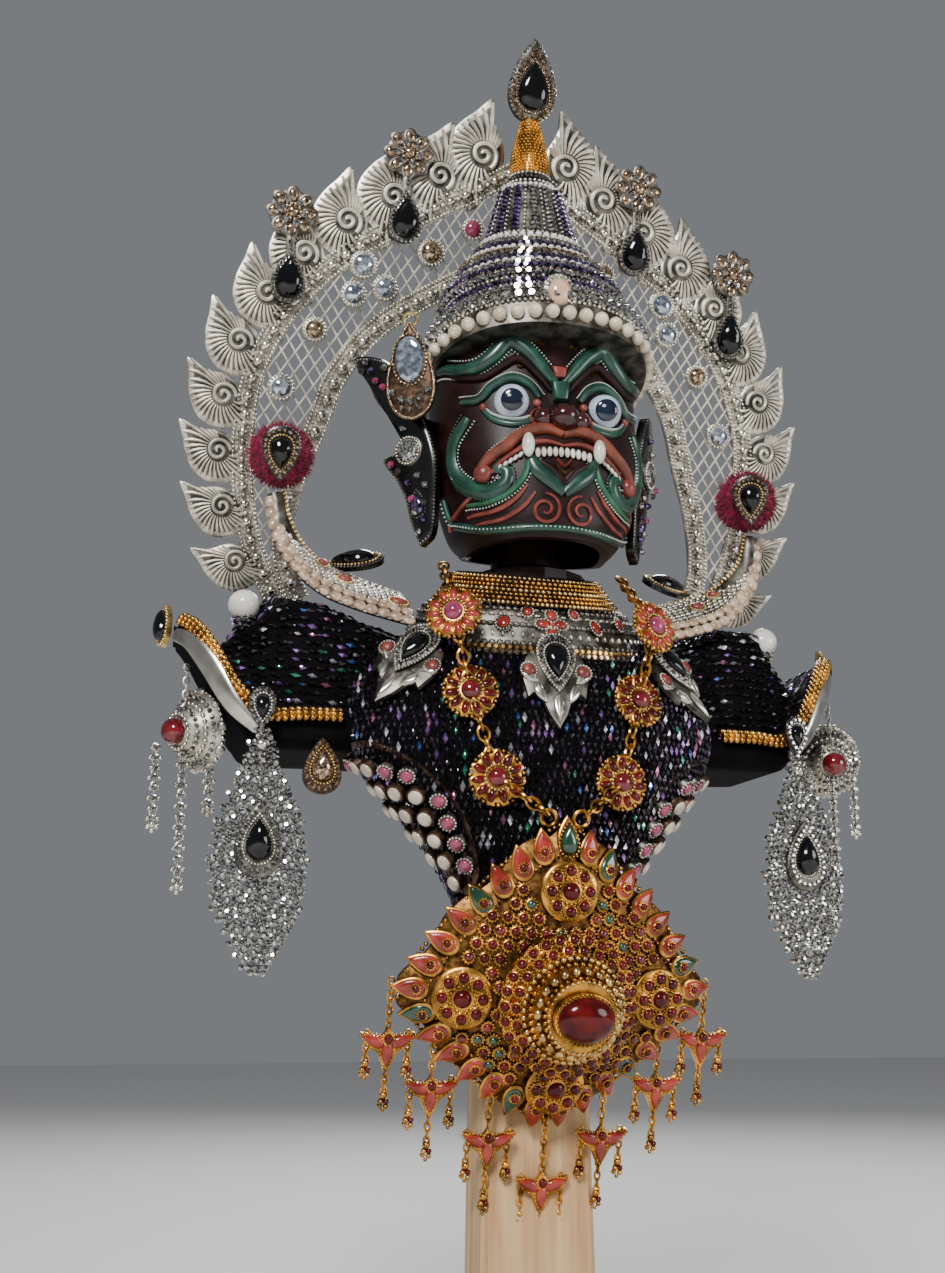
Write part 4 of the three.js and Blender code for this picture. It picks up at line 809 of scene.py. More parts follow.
def on_chest(x, z, lift=0.0):
    """The point of the chest's front over a place in the front view, and the way it faces"""

    def depth(px, pz):
        _, half, front, _, middle = row_at(BUST_FINE, pz)
        share = min(abs(px) / half, 0.999)
        return middle - front * (1 - share**BUST_POWER) ** (1 / BUST_POWER)

    slope_x = (depth(x + 1, z) - depth(x - 1, z)) / 2
    slope_z = (depth(x, z + 1) - depth(x, z - 1)) / 2
    normal = unit((slope_x, -1, slope_z))
    return np.array([x, depth(x, z), z]) + normal * lift, normal


# The cape's ridge along a wing: share of the reach, rise over the rim, and how far forward its front lies
WING_CREST = np.array([
    (0, 0.5, -0.4), (0.5, 0.84, -0.75), (0.6, 0.97, -0.75), (0.72, 1, -0.72), (0.81, 0.76, -0.4),
    (0.87, 0.56, -0.2), (0.93, 0.5, 0), (1, 0.5, 0),
])


def wing_corners(share):
    """The corners of a wing's section across y and z, from the front's lower edge round to the back's"""
    rise = smooth(clamp((share - 0.76) / 0.24, 0, 1))
    half = WING_HALF_DEPTH * max(1 - max(share, 0.5) ** 9, 0) ** 0.6 + 1.2
    low = mix(WING_LOW, WING_TIP - 7, rise)
    rim = mix(WING_RIM, WING_TIP, rise)
    crest, ahead = (np.interp(share, WING_CREST[:, 0], WING_CREST[:, k]) for k in (1, 2))
    ridge = max(WING_RIM + WING_RIDGE_RISE * crest, rim)
    spots = [
        (-half * 0.8, low), (-half, low + 3), (-half, rim), (-half * 0.86, rim + 0.5),
        (half * ahead, mix(rim, ridge, 0.8)),
        (half * 0.6, ridge), (half, mix(rim, ridge, 0.95)), (half, low + 3), (half * 0.8, low),
    ]
    return np.array([(share * WING_REACH, WING_Y + y, z) for y, z in spots])


def build_bust():
    torso = loft([ring_of(w, f, b, y, z, BUST_POWER, 72) for z, w, f, b, y in BUST_FINE])
    parts = [torso]
    for _, side in SIDES:
        sections = []
        for share in np.concatenate([np.linspace(0, 0.7, 12), np.linspace(0.74, 1.0, 22)]):
            corners = wing_corners(share)
            sections.append(sampled(np.vstack([corners, corners[:1]]), 41)[:-1] * (side, 1, 1))
        parts.append(loft(sections))
    piece("bust_cape", joined(*parts), finish_of("cape"), ["bust_body"], rounded=50)
    dress("base_block", "pine")
    dress("wooden_post", "pine")


# How many of each 55 sequins have a finish: the dark sequin, then the painted glints
SEQUIN_COUNTS = (
    ("sequin", 46), ("glint_violet", 3), ("glint_white", 3), ("glint_green", 1), ("glint_blue", 1),
    ("glint_rose", 1),
)
SEQUIN_FINISHES = [finish for finish, count in SEQUIN_COUNTS for _ in range(count)]


def build_sequins():
    """Rows of narrow sequins over the cape: dark ones, and every few a bright one whose colour is a painted
    glint
    """
    tray = Tray()
    rng = np.random.default_rng(7)
    length = sizes().sequin

    def lay(p, n, fall):
        finish = SEQUIN_FINISHES[rng.integers(len(SEQUIN_FINISHES))]
        tilt = rng.normal(0, 0.12, 3)
        grow = rng.uniform(0.8, 1.15)
        tray.lay(
            "flake", finish, p + n * 0.25, unit(n + tilt), fall,
            (length * 0.24 * grow, length * 0.5 * grow, 0.7)
        )

    step = 2.6
    for row, z in enumerate(np.arange(BUST_LOW + 6, BUST_TOP - 4, step)):
        _, w, f, b, y = row_at(BUST_FINE, z)
        loop = ring_of(w, f, b, y, z, BUST_POWER, 180)
        loop = spaced(np.vstack([loop, loop[:1]]), 1.15)
        for i, p in enumerate(loop[:-1]):
            if (i + row) % 2:
                continue
            x, front = p[0], p[1] < y
            if abs(p[1] - WING_Y) < WING_HALF_DEPTH and WING_LOW < z < WING_RIM and abs(x) > 50:
                continue
            radial = unit((p[0] / w**2, (p[1] - y) / (f if front else b) ** 2, 0))
            lay(p, radial, (0, 0, 1))
    for _, side in SIDES:
        for share in np.arange(0.34, 0.965, step / WING_REACH):
            front, ahead = wing_corners(share)[2:7], wing_corners(share + 0.01)[2:7]
            path, beside = sampled(front, 30), sampled(ahead, 30)
            stops = spaced(path, 2.9)
            for p in stops[1:-1]:
                k = int(np.argmin(np.linalg.norm(path - p, axis=1)))
                k = clamp(k, 0, 28)
                normal = unit(np.cross(beside[k] - path[k], path[k + 1] - path[k]))
                if normal[2] < 0 and normal[1] < 0.5:
                    normal = -normal
                spot = p + rng.uniform(-0.8, 0.8, 3) * (1, 1, 0)
                lay(spot * (side, 1, 1), normal * (side, 1, 1), (side, 0, 0.2))
    tray.set_down("cape_sequins")


# Mask

HEAD_FINE = curve_through(
    [
        (CHIN + h * HEAD_HEIGHT, w * HEAD_HALF_WIDTH, f * HEAD_FRONT, b * HEAD_BACK)
        for h, w, f, b in [
            (0, 0.68, 0.9, 0.88), (0.07, 0.83, 0.98, 0.9), (0.28, 0.98, 1, 0.97), (0.5, 1.01, 0.9, 1),
            (0.7, 0.98, 0.86, 0.97), (0.84, 0.86, 0.78, 0.86), (0.94, 0.6, 0.56, 0.6),
            (0.98, 0.34, 0.32, 0.34),
        ]
    ],
    FINER,
)


def head_skin(grow, low, count):
    rings = []
    top = len(HEAD_FINE) - 1
    for i, (z, w, f, b) in enumerate(HEAD_FINE):
        level = low if i == 0 else z + grow * (i / top) ** 3
        ring = ring_of(w + grow, f + grow, b + grow, HEAD_Y, level, HEAD_POWER, count)
        lift = max(RIM_LIFT * (1 - (z - CHIN) / (0.5 * HEAD_HEIGHT)), 0)
        ring[:, 2] += lift * np.maximum(ring[:, 1] - HEAD_Y, 0)
        rings.append(ring)
    return loft(rings)


def face_normal(x, z):
    _, half, front, _ = row_at(HEAD_FINE, z)
    share = min(abs(x) / half, 0.98)
    lean = share ** (HEAD_POWER - 1) * (front / half)
    slope = (1 - share**HEAD_POWER) ** (1 - 1 / HEAD_POWER)
    return unit((np.sign(x) * lean, -max(slope, 0.1), 0))


def on_face(x, z, lift=0.0):
    _, half, front, _ = row_at(HEAD_FINE, z)
    share = min(abs(x) / half, 0.995)
    depth = front * (1 - share**HEAD_POWER) ** (1 / HEAD_POWER)
    return np.array([x, HEAD_Y - depth, z]) + face_normal(x, z) * lift


def face_line(places, side=1, count=40, lift=0.0):
    """A smooth line over the face through places in its front view, with the facing at each point"""
    flat = sampled(curve_through([(x, z) for x, z in places]), count)
    path = np.array([on_face(side * x, z, lift) for x, z in flat])
    normals = np.array([face_normal(side * x, z) for x, z in flat])
    return path, normals


def face_band(places, width, height, side=1, count=40, ends=0.35, sides=10):
    """A rounded raised band over the face, narrower at both ends"""
    path, normals = face_line(places, side, count, height * 0.15)
    t = np.linspace(0.05, 0.95, count)
    taper = ends + (1 - ends) * np.sin(pi * t) ** 0.6
    return tube(path, width * taper, 2 * height * taper, normals, sides)


def face_dots(tray, places, side, offset, lift, finish="white_paint_and_eye_highlight", spacing=1.25, radius=0.36, count=60):
    """A row of small dots beside a band"""
    path, normals = face_line(places, side, count, lift)
    across = np.cross(tangents_of(path), normals)
    tray.row("bead", finish, path + across * offset, normals, spacing, (radius, radius, radius))


BROW = [(1.5, 355.5), (6, 361), (11.5, 367.5), (17, 370.5), (22, 365), (27, 361.5), (32, 362), (36, 365.5)]
BROW_LOW = [(3, 352.5), (8, 358.5), (14, 364), (19.5, 361), (25, 357.5), (30, 358), (33.5, 360)]
LID = [(7.2, 349.5), (11, 354.5), (16.5, 356.6), (22.5, 353.6), (26.5, 349), (31.5, 349.4)]
UNDER_EYE = [(7.4, 345.5), (11.5, 341.8), (17, 340.8), (22.4, 342.8), (26, 347.3)]
LIP = [(0, 336), (5, 337.6), (10, 337), (15, 334.2), (19, 330.6), (23, 327.8), (25.8, 324.4), (25.6, 321)]
LIP_UNDER = [(0, 331.6), (6, 332.6), (11, 331.6), (16, 328.6), (20, 325.6), (23.4, 321.6)]
MOUSTACHE = [
    (30, 343), (33.4, 335), (33, 326), (29.6, 319), (24, 315.4), (19.4, 317.6), (19.2, 322), (22.6, 323)
]
CHEEK_LOW = [(11.6, 327), (13.4, 320), (18, 314.4), (24, 311.8), (29, 312.6)]
CHIN_V = [(0, 314.6), (4.4, 318.4), (9.4, 322.4), (11.6, 327)]
ARCS = [
    [(9.8, 314.6), (13.6, 309.4), (19.6, 305.8), (26, 305.6)],
    [(12.4, 317), (16.2, 312), (21.6, 308.8), (28.4, 308.8)],
    [(27.6, 316), (31, 311.5), (31.8, 306.8)],
]
NOSTRIL = [(3.2, 340), (6, 344.4), (9.4, 344), (10.8, 340.6), (8, 338.4), (5, 338.8)]
JAW = [(0, 302.8), (10, 302.6), (18, 302.6), (24, 303.6), (28.6, 306.4), (32, 311), (34.4, 318)]


def spiral(x, z, radius, turns, count=26):
    t = np.linspace(0, 1, count)
    angle = pi * (0.5 + 2 * turns * t)
    reach = radius * (1 - 0.82 * t)
    return list(zip(x + reach * np.cos(angle), z + reach * np.sin(angle)))


# The forehead's gold curls: place, radius and turns of the spiral, then width, height and steps of the band
CURLS = (
    ((6.4, 372.2, 3.0, 1.2), 0.7, 0.9, 50),
    ((13.6, 362.2, 2.0, 1.1), 0.6, 1.1, 40),
    ((21.4, 373.0, 2.2, -1.1), 0.6, 0.9, 40),
)


def build_face():
    outer = head_skin(0, CHIN, 96)
    inner = head_skin(-MASK_WALL, CHIN, 96)
    shell_points = np.vstack([outer[0], inner[0]])
    n = len(outer[0])
    flipped = [tuple(i + n for i in f[::-1]) for f in inner[1]]
    skip = n - 2
    walls = [f for f in outer[1] if skip not in f] + [f for f in flipped if skip + n not in f]
    rim = [(i, (i + 1) % 96, n + (i + 1) % 96, n + i) for i in range(96)]
    shell = shell_points, walls + [f[::-1] for f in rim]
    used = sorted({i for f in shell[1] for i in f})
    order = {old: new for new, old in enumerate(used)}
    shell = shell_points[used], [tuple(order[i] for i in f) for f in shell[1]]
    piece("mask_shell", outward(*shell), finish_of("lacquer"), ["mask"], rounded=60)

    shapes = defaultdict(list)
    tray = Tray()
    for _, side in SIDES:
        shapes["green"].append(face_band(BROW, 6.2, 3.2, side, 60, 0.25))
        shapes["lacquer"].append(face_band(BROW_LOW, 3.0, 2.2, side, 50, 0.3))
        face_dots(tray, BROW, side, side * 3.3, 0.9)
        face_dots(tray, BROW, side, side * -3.3, 0.9)
        shapes["green"].append(face_band(LID, 3.4, 2.2, side, 50, 0.3))
        face_dots(tray, LID, side, side * -1.7, 1.5, spacing=0.8, radius=0.3)
        shapes["white_paint_and_eye_highlight"].append(face_band(UNDER_EYE, 1.1, 1.3, side, 40, 0.3))
        shapes["green"].append(face_band([(x, z - 1.9) for x, z in UNDER_EYE], 2.4, 1.3, side, 40, 0.3))
        shapes["copper_pink"].append(face_band(LIP, 4.4, 2.9, side, 60, 0.5))
        shapes["rose"].append(face_band(LIP_UNDER, 2.0, 1.6, side, 40, 0.4))
        face_dots(tray, [(x, z + 2.9) for x, z in LIP[:-1]], side, 0, 0.5, spacing=1.1)
        shapes["green"].append(face_band(MOUSTACHE, 6.0, 2.3, side, 70, 0.3))
        face_dots(tray, MOUSTACHE, side, side * 3.2, 0.4)
        face_dots(tray, MOUSTACHE, side, side * -3.0, 0.6, "bright_green")
        shapes["bright_green"].append(face_band(CHEEK_LOW, 2.4, 1.5, side, 44, 0.3))
        face_dots(tray, CHEEK_LOW, side, side * 1.6, 0.5)
        shapes["green"].append(face_band(CHIN_V, 5.2, 1.7, side, 36, 0.4))
        face_dots(tray, CHIN_V, side, side * -2.8, 0.5)
        for arc in ARCS:
            shapes["rose"].append(face_band(arc, 1.7, 1.2, side, 36, 0.3, 6))
        shapes["rose"].append(face_band(spiral(6.4, 308.6, 5.6, 1.6), 1.3, 1.2, side, 70, 0.5, 6))
        shapes["rose"].append(face_band(NOSTRIL, 1.3, 1.7, side, 44, 0.6, 6))
        shapes["green"].append(face_band(JAW, 3.2, 1.4, side, 60, 0.5))
        face_dots(tray, JAW, side, 0, 1.7, spacing=1.6)
        shapes["nose"].append(
            ball(3.6, facing(on_face(side * 6.6, 341.4, 1.0), face_normal(side * 6.6, 341.4)))
        )
        eye = facing(on_face(side * 16.7, 347.6, 0.4), (side * 0.05 - 0.2, -1, -0.22))
        shapes["eye_white"].append(ball(6.1, eye, (1, 1, 0.85), 16, 28))
        shapes["iris"].append(dome(ellipse(3.9, 3.9, 28), 0.2, 0.9, shifted(eye, z=4.1), 6))
        # A painted highlight: a small white dot on the iris, at the same upper left on both eyes
        shapes["white_paint_and_eye_highlight"].append(dome(ellipse(0.7, 0.55, 12), 0.2, 0.2, shifted(eye, -1.1, 1.3, 4.95), 3))
        for x, z in ((8.3, 347.2), (25.4, 346.0)):
            shapes["rose"].append(ball(1.5, facing(on_face(side * x, z, 0.7), face_normal(side * x, z))))
        knob = facing(on_face(side * 25.6, 321.6, 1.0), face_normal(side * 25.6, 321.6))
        shapes["rose"].append(ball(3.3, knob, (1, 1, 0.8), 10, 16))
        tusk = facing(on_face(side * 12.2, 330.4, 2.4), face_normal(side * 12.2, 330.4))
        shapes["tooth"].append(ball(2.3, tusk, (0.95, 1.9, 0.9), 10, 16))
        for i in range(5):
            x = side * (1.05 + 2.0 * i)
            tooth = facing(on_face(x, 328.9 - 0.05 * i * i, 1.1), face_normal(x, 329))
            shapes["tooth"].append(ball(0.95, tooth, (1, 1.9, 0.8), 7, 10))
        for i in range(5):
            x, z = side * (14.6 + 1.55 * i), 327.2 - 1.05 * i
            tooth = facing(on_face(x, z, 1.2), face_normal(x, z), roll=side * 0.6)
            shapes["tooth"].append(ball(0.7, tooth, (1, 1.7, 0.8), 7, 10))
        for curl, width, height, count in CURLS:
            shapes["gold"].append(face_band(spiral(*curl), width, height, side, count, 0.6, 6))
        shapes["rose"].append(face_band([(x, z + 3.8) for x, z in BROW[1:5]], 0.9, 0.8, side, 30, 0.3, 6))
        tray.lay(
            "bead", "gold", on_face(side * 6.4, 372.2, 0.8), face_normal(side * 6.4, 372), size=(0.7,) * 3
        )
    nose = facing(on_face(0, 341.6, 3.4), face_normal(0, 342))
    shapes["nose"].append(ball(4.9, nose, (1.06, 0.92, 1), 16, 24))
    for dx in (-6.6, 6.6):
        nostril = facing(on_face(dx, 341.0, 1.3), face_normal(dx, 341))
        shapes["nose"].append(ball(3.3, nostril, (1, 0.8, 0.9), 10, 16))
    bridge = facing(on_face(0, 352.2, 0.6), face_normal(0, 352))
    shapes["green"].append(
        dome(np.array([(-2.4, -3.4), (2.4, -3.4), (3.4, 3.6), (-3.4, 3.6)]), 1.6, 1.0, bridge, 4, 0.5)
    )
    block = facing(on_face(0, 359.4, 0.6), face_normal(0, 359))
    shapes["rose"].append(
        dome(np.array([(-1.8, -2), (1.8, -2), (2.8, 2), (-2.8, 2)]), 1.4, 0.8, block, 4, 0.5)
    )
    patch = [(-8.5, 325.5), (-3.5, 322.2), (0, 318.4), (3.5, 322.2), (8.5, 325.5)]
    shapes["lacquer"].append(face_band(patch, 3.4, 1.4, 1, 40, 0.4))
    shapes["pale_gold"].append(face_band([(-3, 324.6), (0, 321.4), (3, 324.6)], 0.8, 1.9, 1, 24, 0.5, 6))
    shapes["rose"].append(face_band([(-2.6, 326.6), (0, 324.2), (2.6, 326.6)], 1.0, 1.6, 1, 24, 0.5, 6))
    make_shapes("mask_relief", shapes)
    tray.set_down("mask_dots")
    dress("neck_stem", "lacquer")


# Crown

CROWN_FINE = [
    (0, 1.02, -5, -0.2), (0.07, 1.02, -5, -0.2), (0.15, 0.97, -5, -0.17), (0.17, 0.9, -5, -0.13),
    (0.23, 0.85, -4, -0.08), (0.25, 0.87, -4, -0.05), (0.33, 0.8, -4, 0.02), (0.35, 0.71, -4, 0.05),
    (0.42, 0.65, -4, 0.12), (0.44, 0.56, -4, 0.15), (0.49, 0.51, -4, 0.18), (0.51, 0.43, -4, 0.2),
    (0.7, 0.28, -4, 0.2), (0.75, 0.18, -4, 0.2), (0.84, 0.17, -4, 0.2), (0.98, 0.08, -5, 0.2),
]

# The crown's rows: form, finish, share of the height, spacing, radius or size, and lift
CROWN_STONES = [
    ("bead", "silver", 0.074, 1.9, 0.8, 0.4), ("cut", "crystal", 0.095, 4.2, 2.2, 0.5),
    ("bead", "champagne", 0.112, 2.1, 0.9, 0.4), ("cut", "crystal", 0.13, 3.8, 2.0, 0.5),
    ("bead", "silver", 0.15, 1.9, 0.8, 0.4), ("bead", "bronze", 0.166, 2.2, 0.8, 0.3),
    ("cut", "violet_crystal", 0.186, 3.0, 1.4, 0.3), ("cut", "violet_crystal", 0.21, 3.0, 1.4, 0.3),
    ("bead", "silver", 0.236, 1.8, 0.75, 0.3), ("cut", "crystal", 0.255, 3.3, 1.7, 0.4),
    ("bead", "champagne", 0.273, 2.4, 1.1, 0.4), ("cut", "violet_crystal", 0.291, 3.0, 1.5, 0.4),
    ("cut", "crystal", 0.31, 3.2, 1.6, 0.4), ("bead", "silver", 0.328, 1.8, 0.75, 0.4),
    ("pearl", "white_pearl", 0.345, 3.0, 1.35, 0.4), ("cut", "violet_crystal", 0.366, 2.8, 1.4, 0.4),
    ("cut", "crystal", 0.386, 3.0, 1.5, 0.4), ("cut", "champagne", 0.404, 2.7, 1.3, 0.4),
    ("bead", "silver", 0.42, 1.7, 0.75, 0.4), ("pearl", "white_pearl", 0.434, 2.7, 1.25, 0.4),
    ("cut", "violet_crystal", 0.452, 2.6, 1.3, 0.4), ("cut", "crystal", 0.47, 2.7, 1.35, 0.4),
    ("bead", "silver", 0.488, 1.7, 0.75, 0.4), ("pearl", "white_pearl", 0.503, 2.8, 1.3, 0.4),
    ("bead", "silver", 0.52, 1.7, 0.7, 0.4), ("bead", "white_pearl", 0.715, 1.9, 0.9, 0.4),
    ("bead", "bright_silver", 0.735, 1.7, 0.8, 0.4), ("bead", "onyx", 0.752, 1.6, 1.1, 0.3),
    ("bead", "silver", 0.768, 1.6, 0.75, 0.4),
]


def crown_ring(share, count=72):
    rows = np.array(CROWN_FINE)
    r, y, dip = (np.interp(share, rows[:, 0], rows[:, k]) for k in (1, 2, 3))
    reach = r * CROWN_RADIUS
    power = mix(HEAD_POWER, 2, min(share / 0.3, 1))
    ring = ring_of(reach, reach, reach, y, CROWN_RIM + share * CROWN_HEIGHT, power, count)
    ring[:, 2] += dip * (ring[:, 1] - y)
    normals = unit((ring - (0, y, 0)) * (1, 1, 0))
    return ring, normals


def crown_row(tray, form, finish, share, spacing, size, lift=0.0):
    ring, normals = crown_ring(share)
    loop = np.vstack([ring, ring[:1]])
    facings = np.vstack([normals, normals[:1]])
    count = max(int(round(lengths_of(loop)[-1] / spacing)), 3)
    both = sampled(np.column_stack([loop, facings * 1e-4]), count + 1)[:-1]
    for p in both:
        n = unit(p[3:])
        tray.lay(form, finish, p[:3] + n * lift, n, (0, 0, 1), size)


def build_crown():
    shares = sorted(set(list(np.linspace(0, 0.98, 44)) + [row[0] for row in CROWN_FINE]))
    lower = [s for s in shares if s < 0.77]
    upper = [s for s in shares if s >= 0.76]
    piece(
        "crown_body", loft([crown_ring(s, 96)[0] for s in lower]), finish_of("old_silver"),
        ["crown"],
    )
    piece("crown_tip", loft([crown_ring(s, 60)[0] for s in upper]), finish_of("gold"))
    tray = Tray()
    pearl = sizes().pearl
    crown_row(tray, "pearl", "pearl", 0.033, pearl * 2.3, (pearl,) * 3, 0.9)
    for form, finish, share, spacing, size, lift in CROWN_STONES:
        crown_row(tray, form, finish, share, spacing, (size,) * 3, lift)
    panels = 14
    for share in np.arange(0.535, 0.705, 0.0165):
        ring, normals = crown_ring(share, panels * 4)
        for k in range(panels * 4):
            front = abs(k - panels * 2) <= 2
            across = np.linalg.norm(ring[1] - ring[0])
            if k % 4 == 0:
                tray.lay(
                    "bead", "bright_silver", ring[k] + normals[k] * 0.5, normals[k], size=(0.55, 0.55, 1.0)
                )
            elif k % 4 == 2:
                finish = "crystal" if front else "violet_crystal"
                tray.lay(
                    "cut", finish, ring[k] + normals[k] * 0.4, normals[k], size=(across * 1.1, 0.95, 1.0)
                )
    for share in np.arange(0.782, 0.972, 0.0115):
        crown_row(tray, "bead", "gold", share, 1.5, (0.62,) * 3, 0.2)
    tray.set_down("crown_stones")
    shapes = defaultdict(list)
    tray = Tray()
    low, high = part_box("crown_gem")
    middle = (np.array(low) + np.array(high)) * 500
    m = facing((middle[0], high[1] * 1000, middle[2]), (-0.05, -1, -0.1))
    rim = [(0.88, "bead", "silver", 1.7, (0.8,) * 3)]
    jewel(tray, shapes, m, ellipse(6, 7, 28), "silver", "opal", 0.72, 2.6, 2.8, rim)
    make_shapes("crown_gem", shapes, ["crown_gem"])
    tray.set_down("crown_gem_rim")


# Halo

HALO = leaned(HALO_PIVOT, HALO_LEAN)
ARCH = curve_through(
    [
        (x * HALO_WIDTH / 2, y * (HALO_TOP - 2))
        for x, y in [
            (0.84, -0.46), (0.95, -0.28), (1, -0.1), (1.01, 0.08), (0.98, 0.26), (0.88, 0.44), (0.7, 0.62),
            (0.45, 0.77), (0.22, 0.88), (0, 1),
        ]
    ],
    20,
)
ARCH = sampled(ARCH, 241)
ARCH_ALONG = tangents_of(ARCH)
ARCH_ACROSS = np.column_stack([-ARCH_ALONG[:, 1], ARCH_ALONG[:, 0]])


def mesh_reach(t):
    return BAND_WIDTH * 2.55 * smooth(clamp(t * 2.6, 0, 1))


def arch_line(inset, side=1):
    """The arch's edge moved inwards by inset, which may change on the way up, on one side"""
    t = np.linspace(0, 1, len(ARCH))
    reach = np.array([inset(v) for v in t]) if callable(inset) else np.full(len(t), float(inset))
    line = ARCH + ARCH_ACROSS * reach[:, None]
    line = line[line[:, 0] > -0.01]
    top = line[-1].copy()
    top[0] = 0.0
    line = np.vstack([line, top]) if line[-1][0] > 0.3 else line
    return line * (side, 1)


def raised(flat, height):
    return carried(HALO, np.column_stack([flat, np.full(len(flat), float(height))]))


def halo_band(inner, outer, low, high):
    """A flat strip between two insets, from one height to another, over both sides of the arch"""
    out = arch_line(outer)
    back = arch_line(inner)
    out = sampled(out, 90)
    back = sampled(back, 90)
    left_out, left_back = out[::-1][1:] * (-1, 1), back[::-1][1:] * (-1, 1)
    out, back = np.vstack([out, left_out]), np.vstack([back, left_back])
    a, b, c, d = raised(out, low), raised(back, low), raised(back, high), raised(out, high)
    return loft(np.stack([a, b, c, d], 1))


def halo_leaf(k, hand):
    """A leaf's outline in its own plane: a full outer side, a tip that leans to the apex and a narrow foot"""
    spots = [
        (-4.4, -6), (-1.6, -5), (1.2, 0.6), (4.8, 2.8), (7.6, 7), (8.2, 12), (7, 17), (6.8, 21), (7.2, 26),
        (2.4, 23), (-2.6, 20), (-6.8, 15.6), (-8.6, 10), (-7.6, 4.4), (-5, 0.2), (-4.4, -6),
    ]
    return curve_through(spots, 4)[:-1] * (k * hand * 1.1, k)


def build_halo():
    shapes = defaultdict(list)
    tray = Tray()
    b = sizes().bead
    shapes["silver"].append(halo_band(BAND_WIDTH, 0, 0, 2.0))
    shapes["silver"].append(
        halo_band(
            lambda t: BAND_WIDTH * 2 + mesh_reach(t), lambda t: BAND_WIDTH + mesh_reach(t) - 0.5, 0, 2.0
        )
    )
    up = HALO[:3, 2]
    for _, side in SIDES:
        for inset in (
            0.7, BAND_WIDTH - 0.7, lambda t: BAND_WIDTH * 2 + mesh_reach(t) - 0.7,
            lambda t: BAND_WIDTH + mesh_reach(t) + 0.3,
        ):
            line = raised(spaced(arch_line(inset, side), 0.8), 2.2)
            tray.row("bead", "bright_silver", line, up, 2 * b * 1.06, (b,) * 3)
        for inset in (
            2.3, BAND_WIDTH - 2.3, lambda t: BAND_WIDTH * 2 + mesh_reach(t) - 2.2,
            lambda t: BAND_WIDTH + mesh_reach(t) + 1.9,
        ):
            line = raised(spaced(arch_line(inset, side), 0.8), 2.1)
            tray.row("bead", "silver", line, up, 1.5, (0.55,) * 3)
        for inset in (BAND_WIDTH / 2, lambda t: BAND_WIDTH * 1.5 + mesh_reach(t) - 0.2):
            line = raised(spaced(arch_line(inset, side), 0.8), 2.9)
            tray.row("pearl", "bright_silver", line, up, 6.6, (2.1, 2.1, 1.7))
            tray.row("bead", "silver", line, up, 3.3, (1.15, 1.15, 0.9))
    wires = halo_wires(sizes().cell, sizes().wire)
    shapes["wire"].append(wires)
    halo_leaves(shapes)
    gems = [
        (s * x, y, r, "clear") for x, y, r in ((60, 74, 5.4), (63, 62.6, 5), (87.6, 25, 5)) for s in (-1, 1)
    ]
    gems += [(s * 76.7, 47.6, 4.6, "champagne") for s in (-1, 1)]
    gems += [(-51.3, 66.4, 5, "clear"), (-34.5, 82, 5.4, "champagne"), (34.5, 82, 5.4, "champagne")]
    gems += [(-19.1, 92.9, 4.2, "pink_stone"), (19.1, 92.9, 4.2, "pink_stone")]
    for x, y, r, stone in gems:
        m = shifted(HALO, x, y, 2.0)
        outline = ellipse(r, r, 24)
        jewel(
            tray, shapes, m, outline, "silver", stone, 0.74, 1.4, 2.2,
            [(0.9, "bead", "bright_silver", 1.4, (0.62,) * 3)]
        )
    make_shapes("halo", shapes, ["halo_frame"])
    tray.set_down("halo_beads")


def halo_wires(cell, wire):
    """The diamond mesh between the two bands: two sets of slanting wires, cut where the bands begin"""
    outer = arch_line(BAND_WIDTH - 1)
    inner = arch_line(lambda t: BAND_WIDTH + mesh_reach(t) + 1)
    loop = np.vstack([outer, inner[::-1]])
    both = [loop, loop * (-1, 1)]
    parts = []
    slant = radians(57)
    for sign in (-1, 1):
        along = np.array([cos(slant), sin(slant) * sign])
        across = np.array([-along[1], along[0]])
        reach = np.arange(-200, 200, cell * 0.86)
        for offset in reach:
            for ring in both:
                side = (ring - across * offset) @ across
                spots = (ring - across * offset) @ along
                cuts = []
                for i in range(len(ring)):
                    j = (i + 1) % len(ring)
                    if (side[i] > 0) != (side[j] > 0):
                        share = side[i] / (side[i] - side[j])
                        cuts.append(mix(spots[i], spots[j], share))
                cuts.sort()
                for a, c in zip(cuts[::2], cuts[1::2]):
                    if c - a < 0.8:
                        continue
                    ends = [across * offset + along * v for v in (a, c)]
                    path = raised(np.array(ends), 1.4 + 0.2 * sign)
                    parts.append(tube(path, wire, wire, HALO[:3, 2], 4))
    return joined(*parts)


def halo_leaves(shapes):
    for _, side in SIDES:
        for i in range(LEAF_COUNT):
            t = mix(0.03, 0.95, (i + 0.5) / LEAF_COUNT)
            index = int(t * (len(ARCH) - 1))
            k = mix(0.92, 1.34, t)
            foot = ARCH[index] + ARCH_ACROSS[index] * BAND_WIDTH * 0.5
            tangent = ARCH_ALONG[index]
            away = -ARCH_ACROSS[index]
            lean = unit(away * 0.94 + tangent * 0.34)
            across = np.array([lean[1], -lean[0]])
            m = np.eye(4)
            x_axis = np.array([across[0], across[1] * side, 0.0])
            y_axis = np.array([lean[0] * side, lean[1], 0.0])
            m[:3, 0], m[:3, 1] = HALO[:3, :3] @ x_axis, HALO[:3, :3] @ y_axis
            m[:3, 2] = HALO[:3, 2]
            m[:3, 3] = carried(HALO, [[foot[0] * side, foot[1], 0.3]])[0]
            leaf_carving(shapes, m, k, -side)


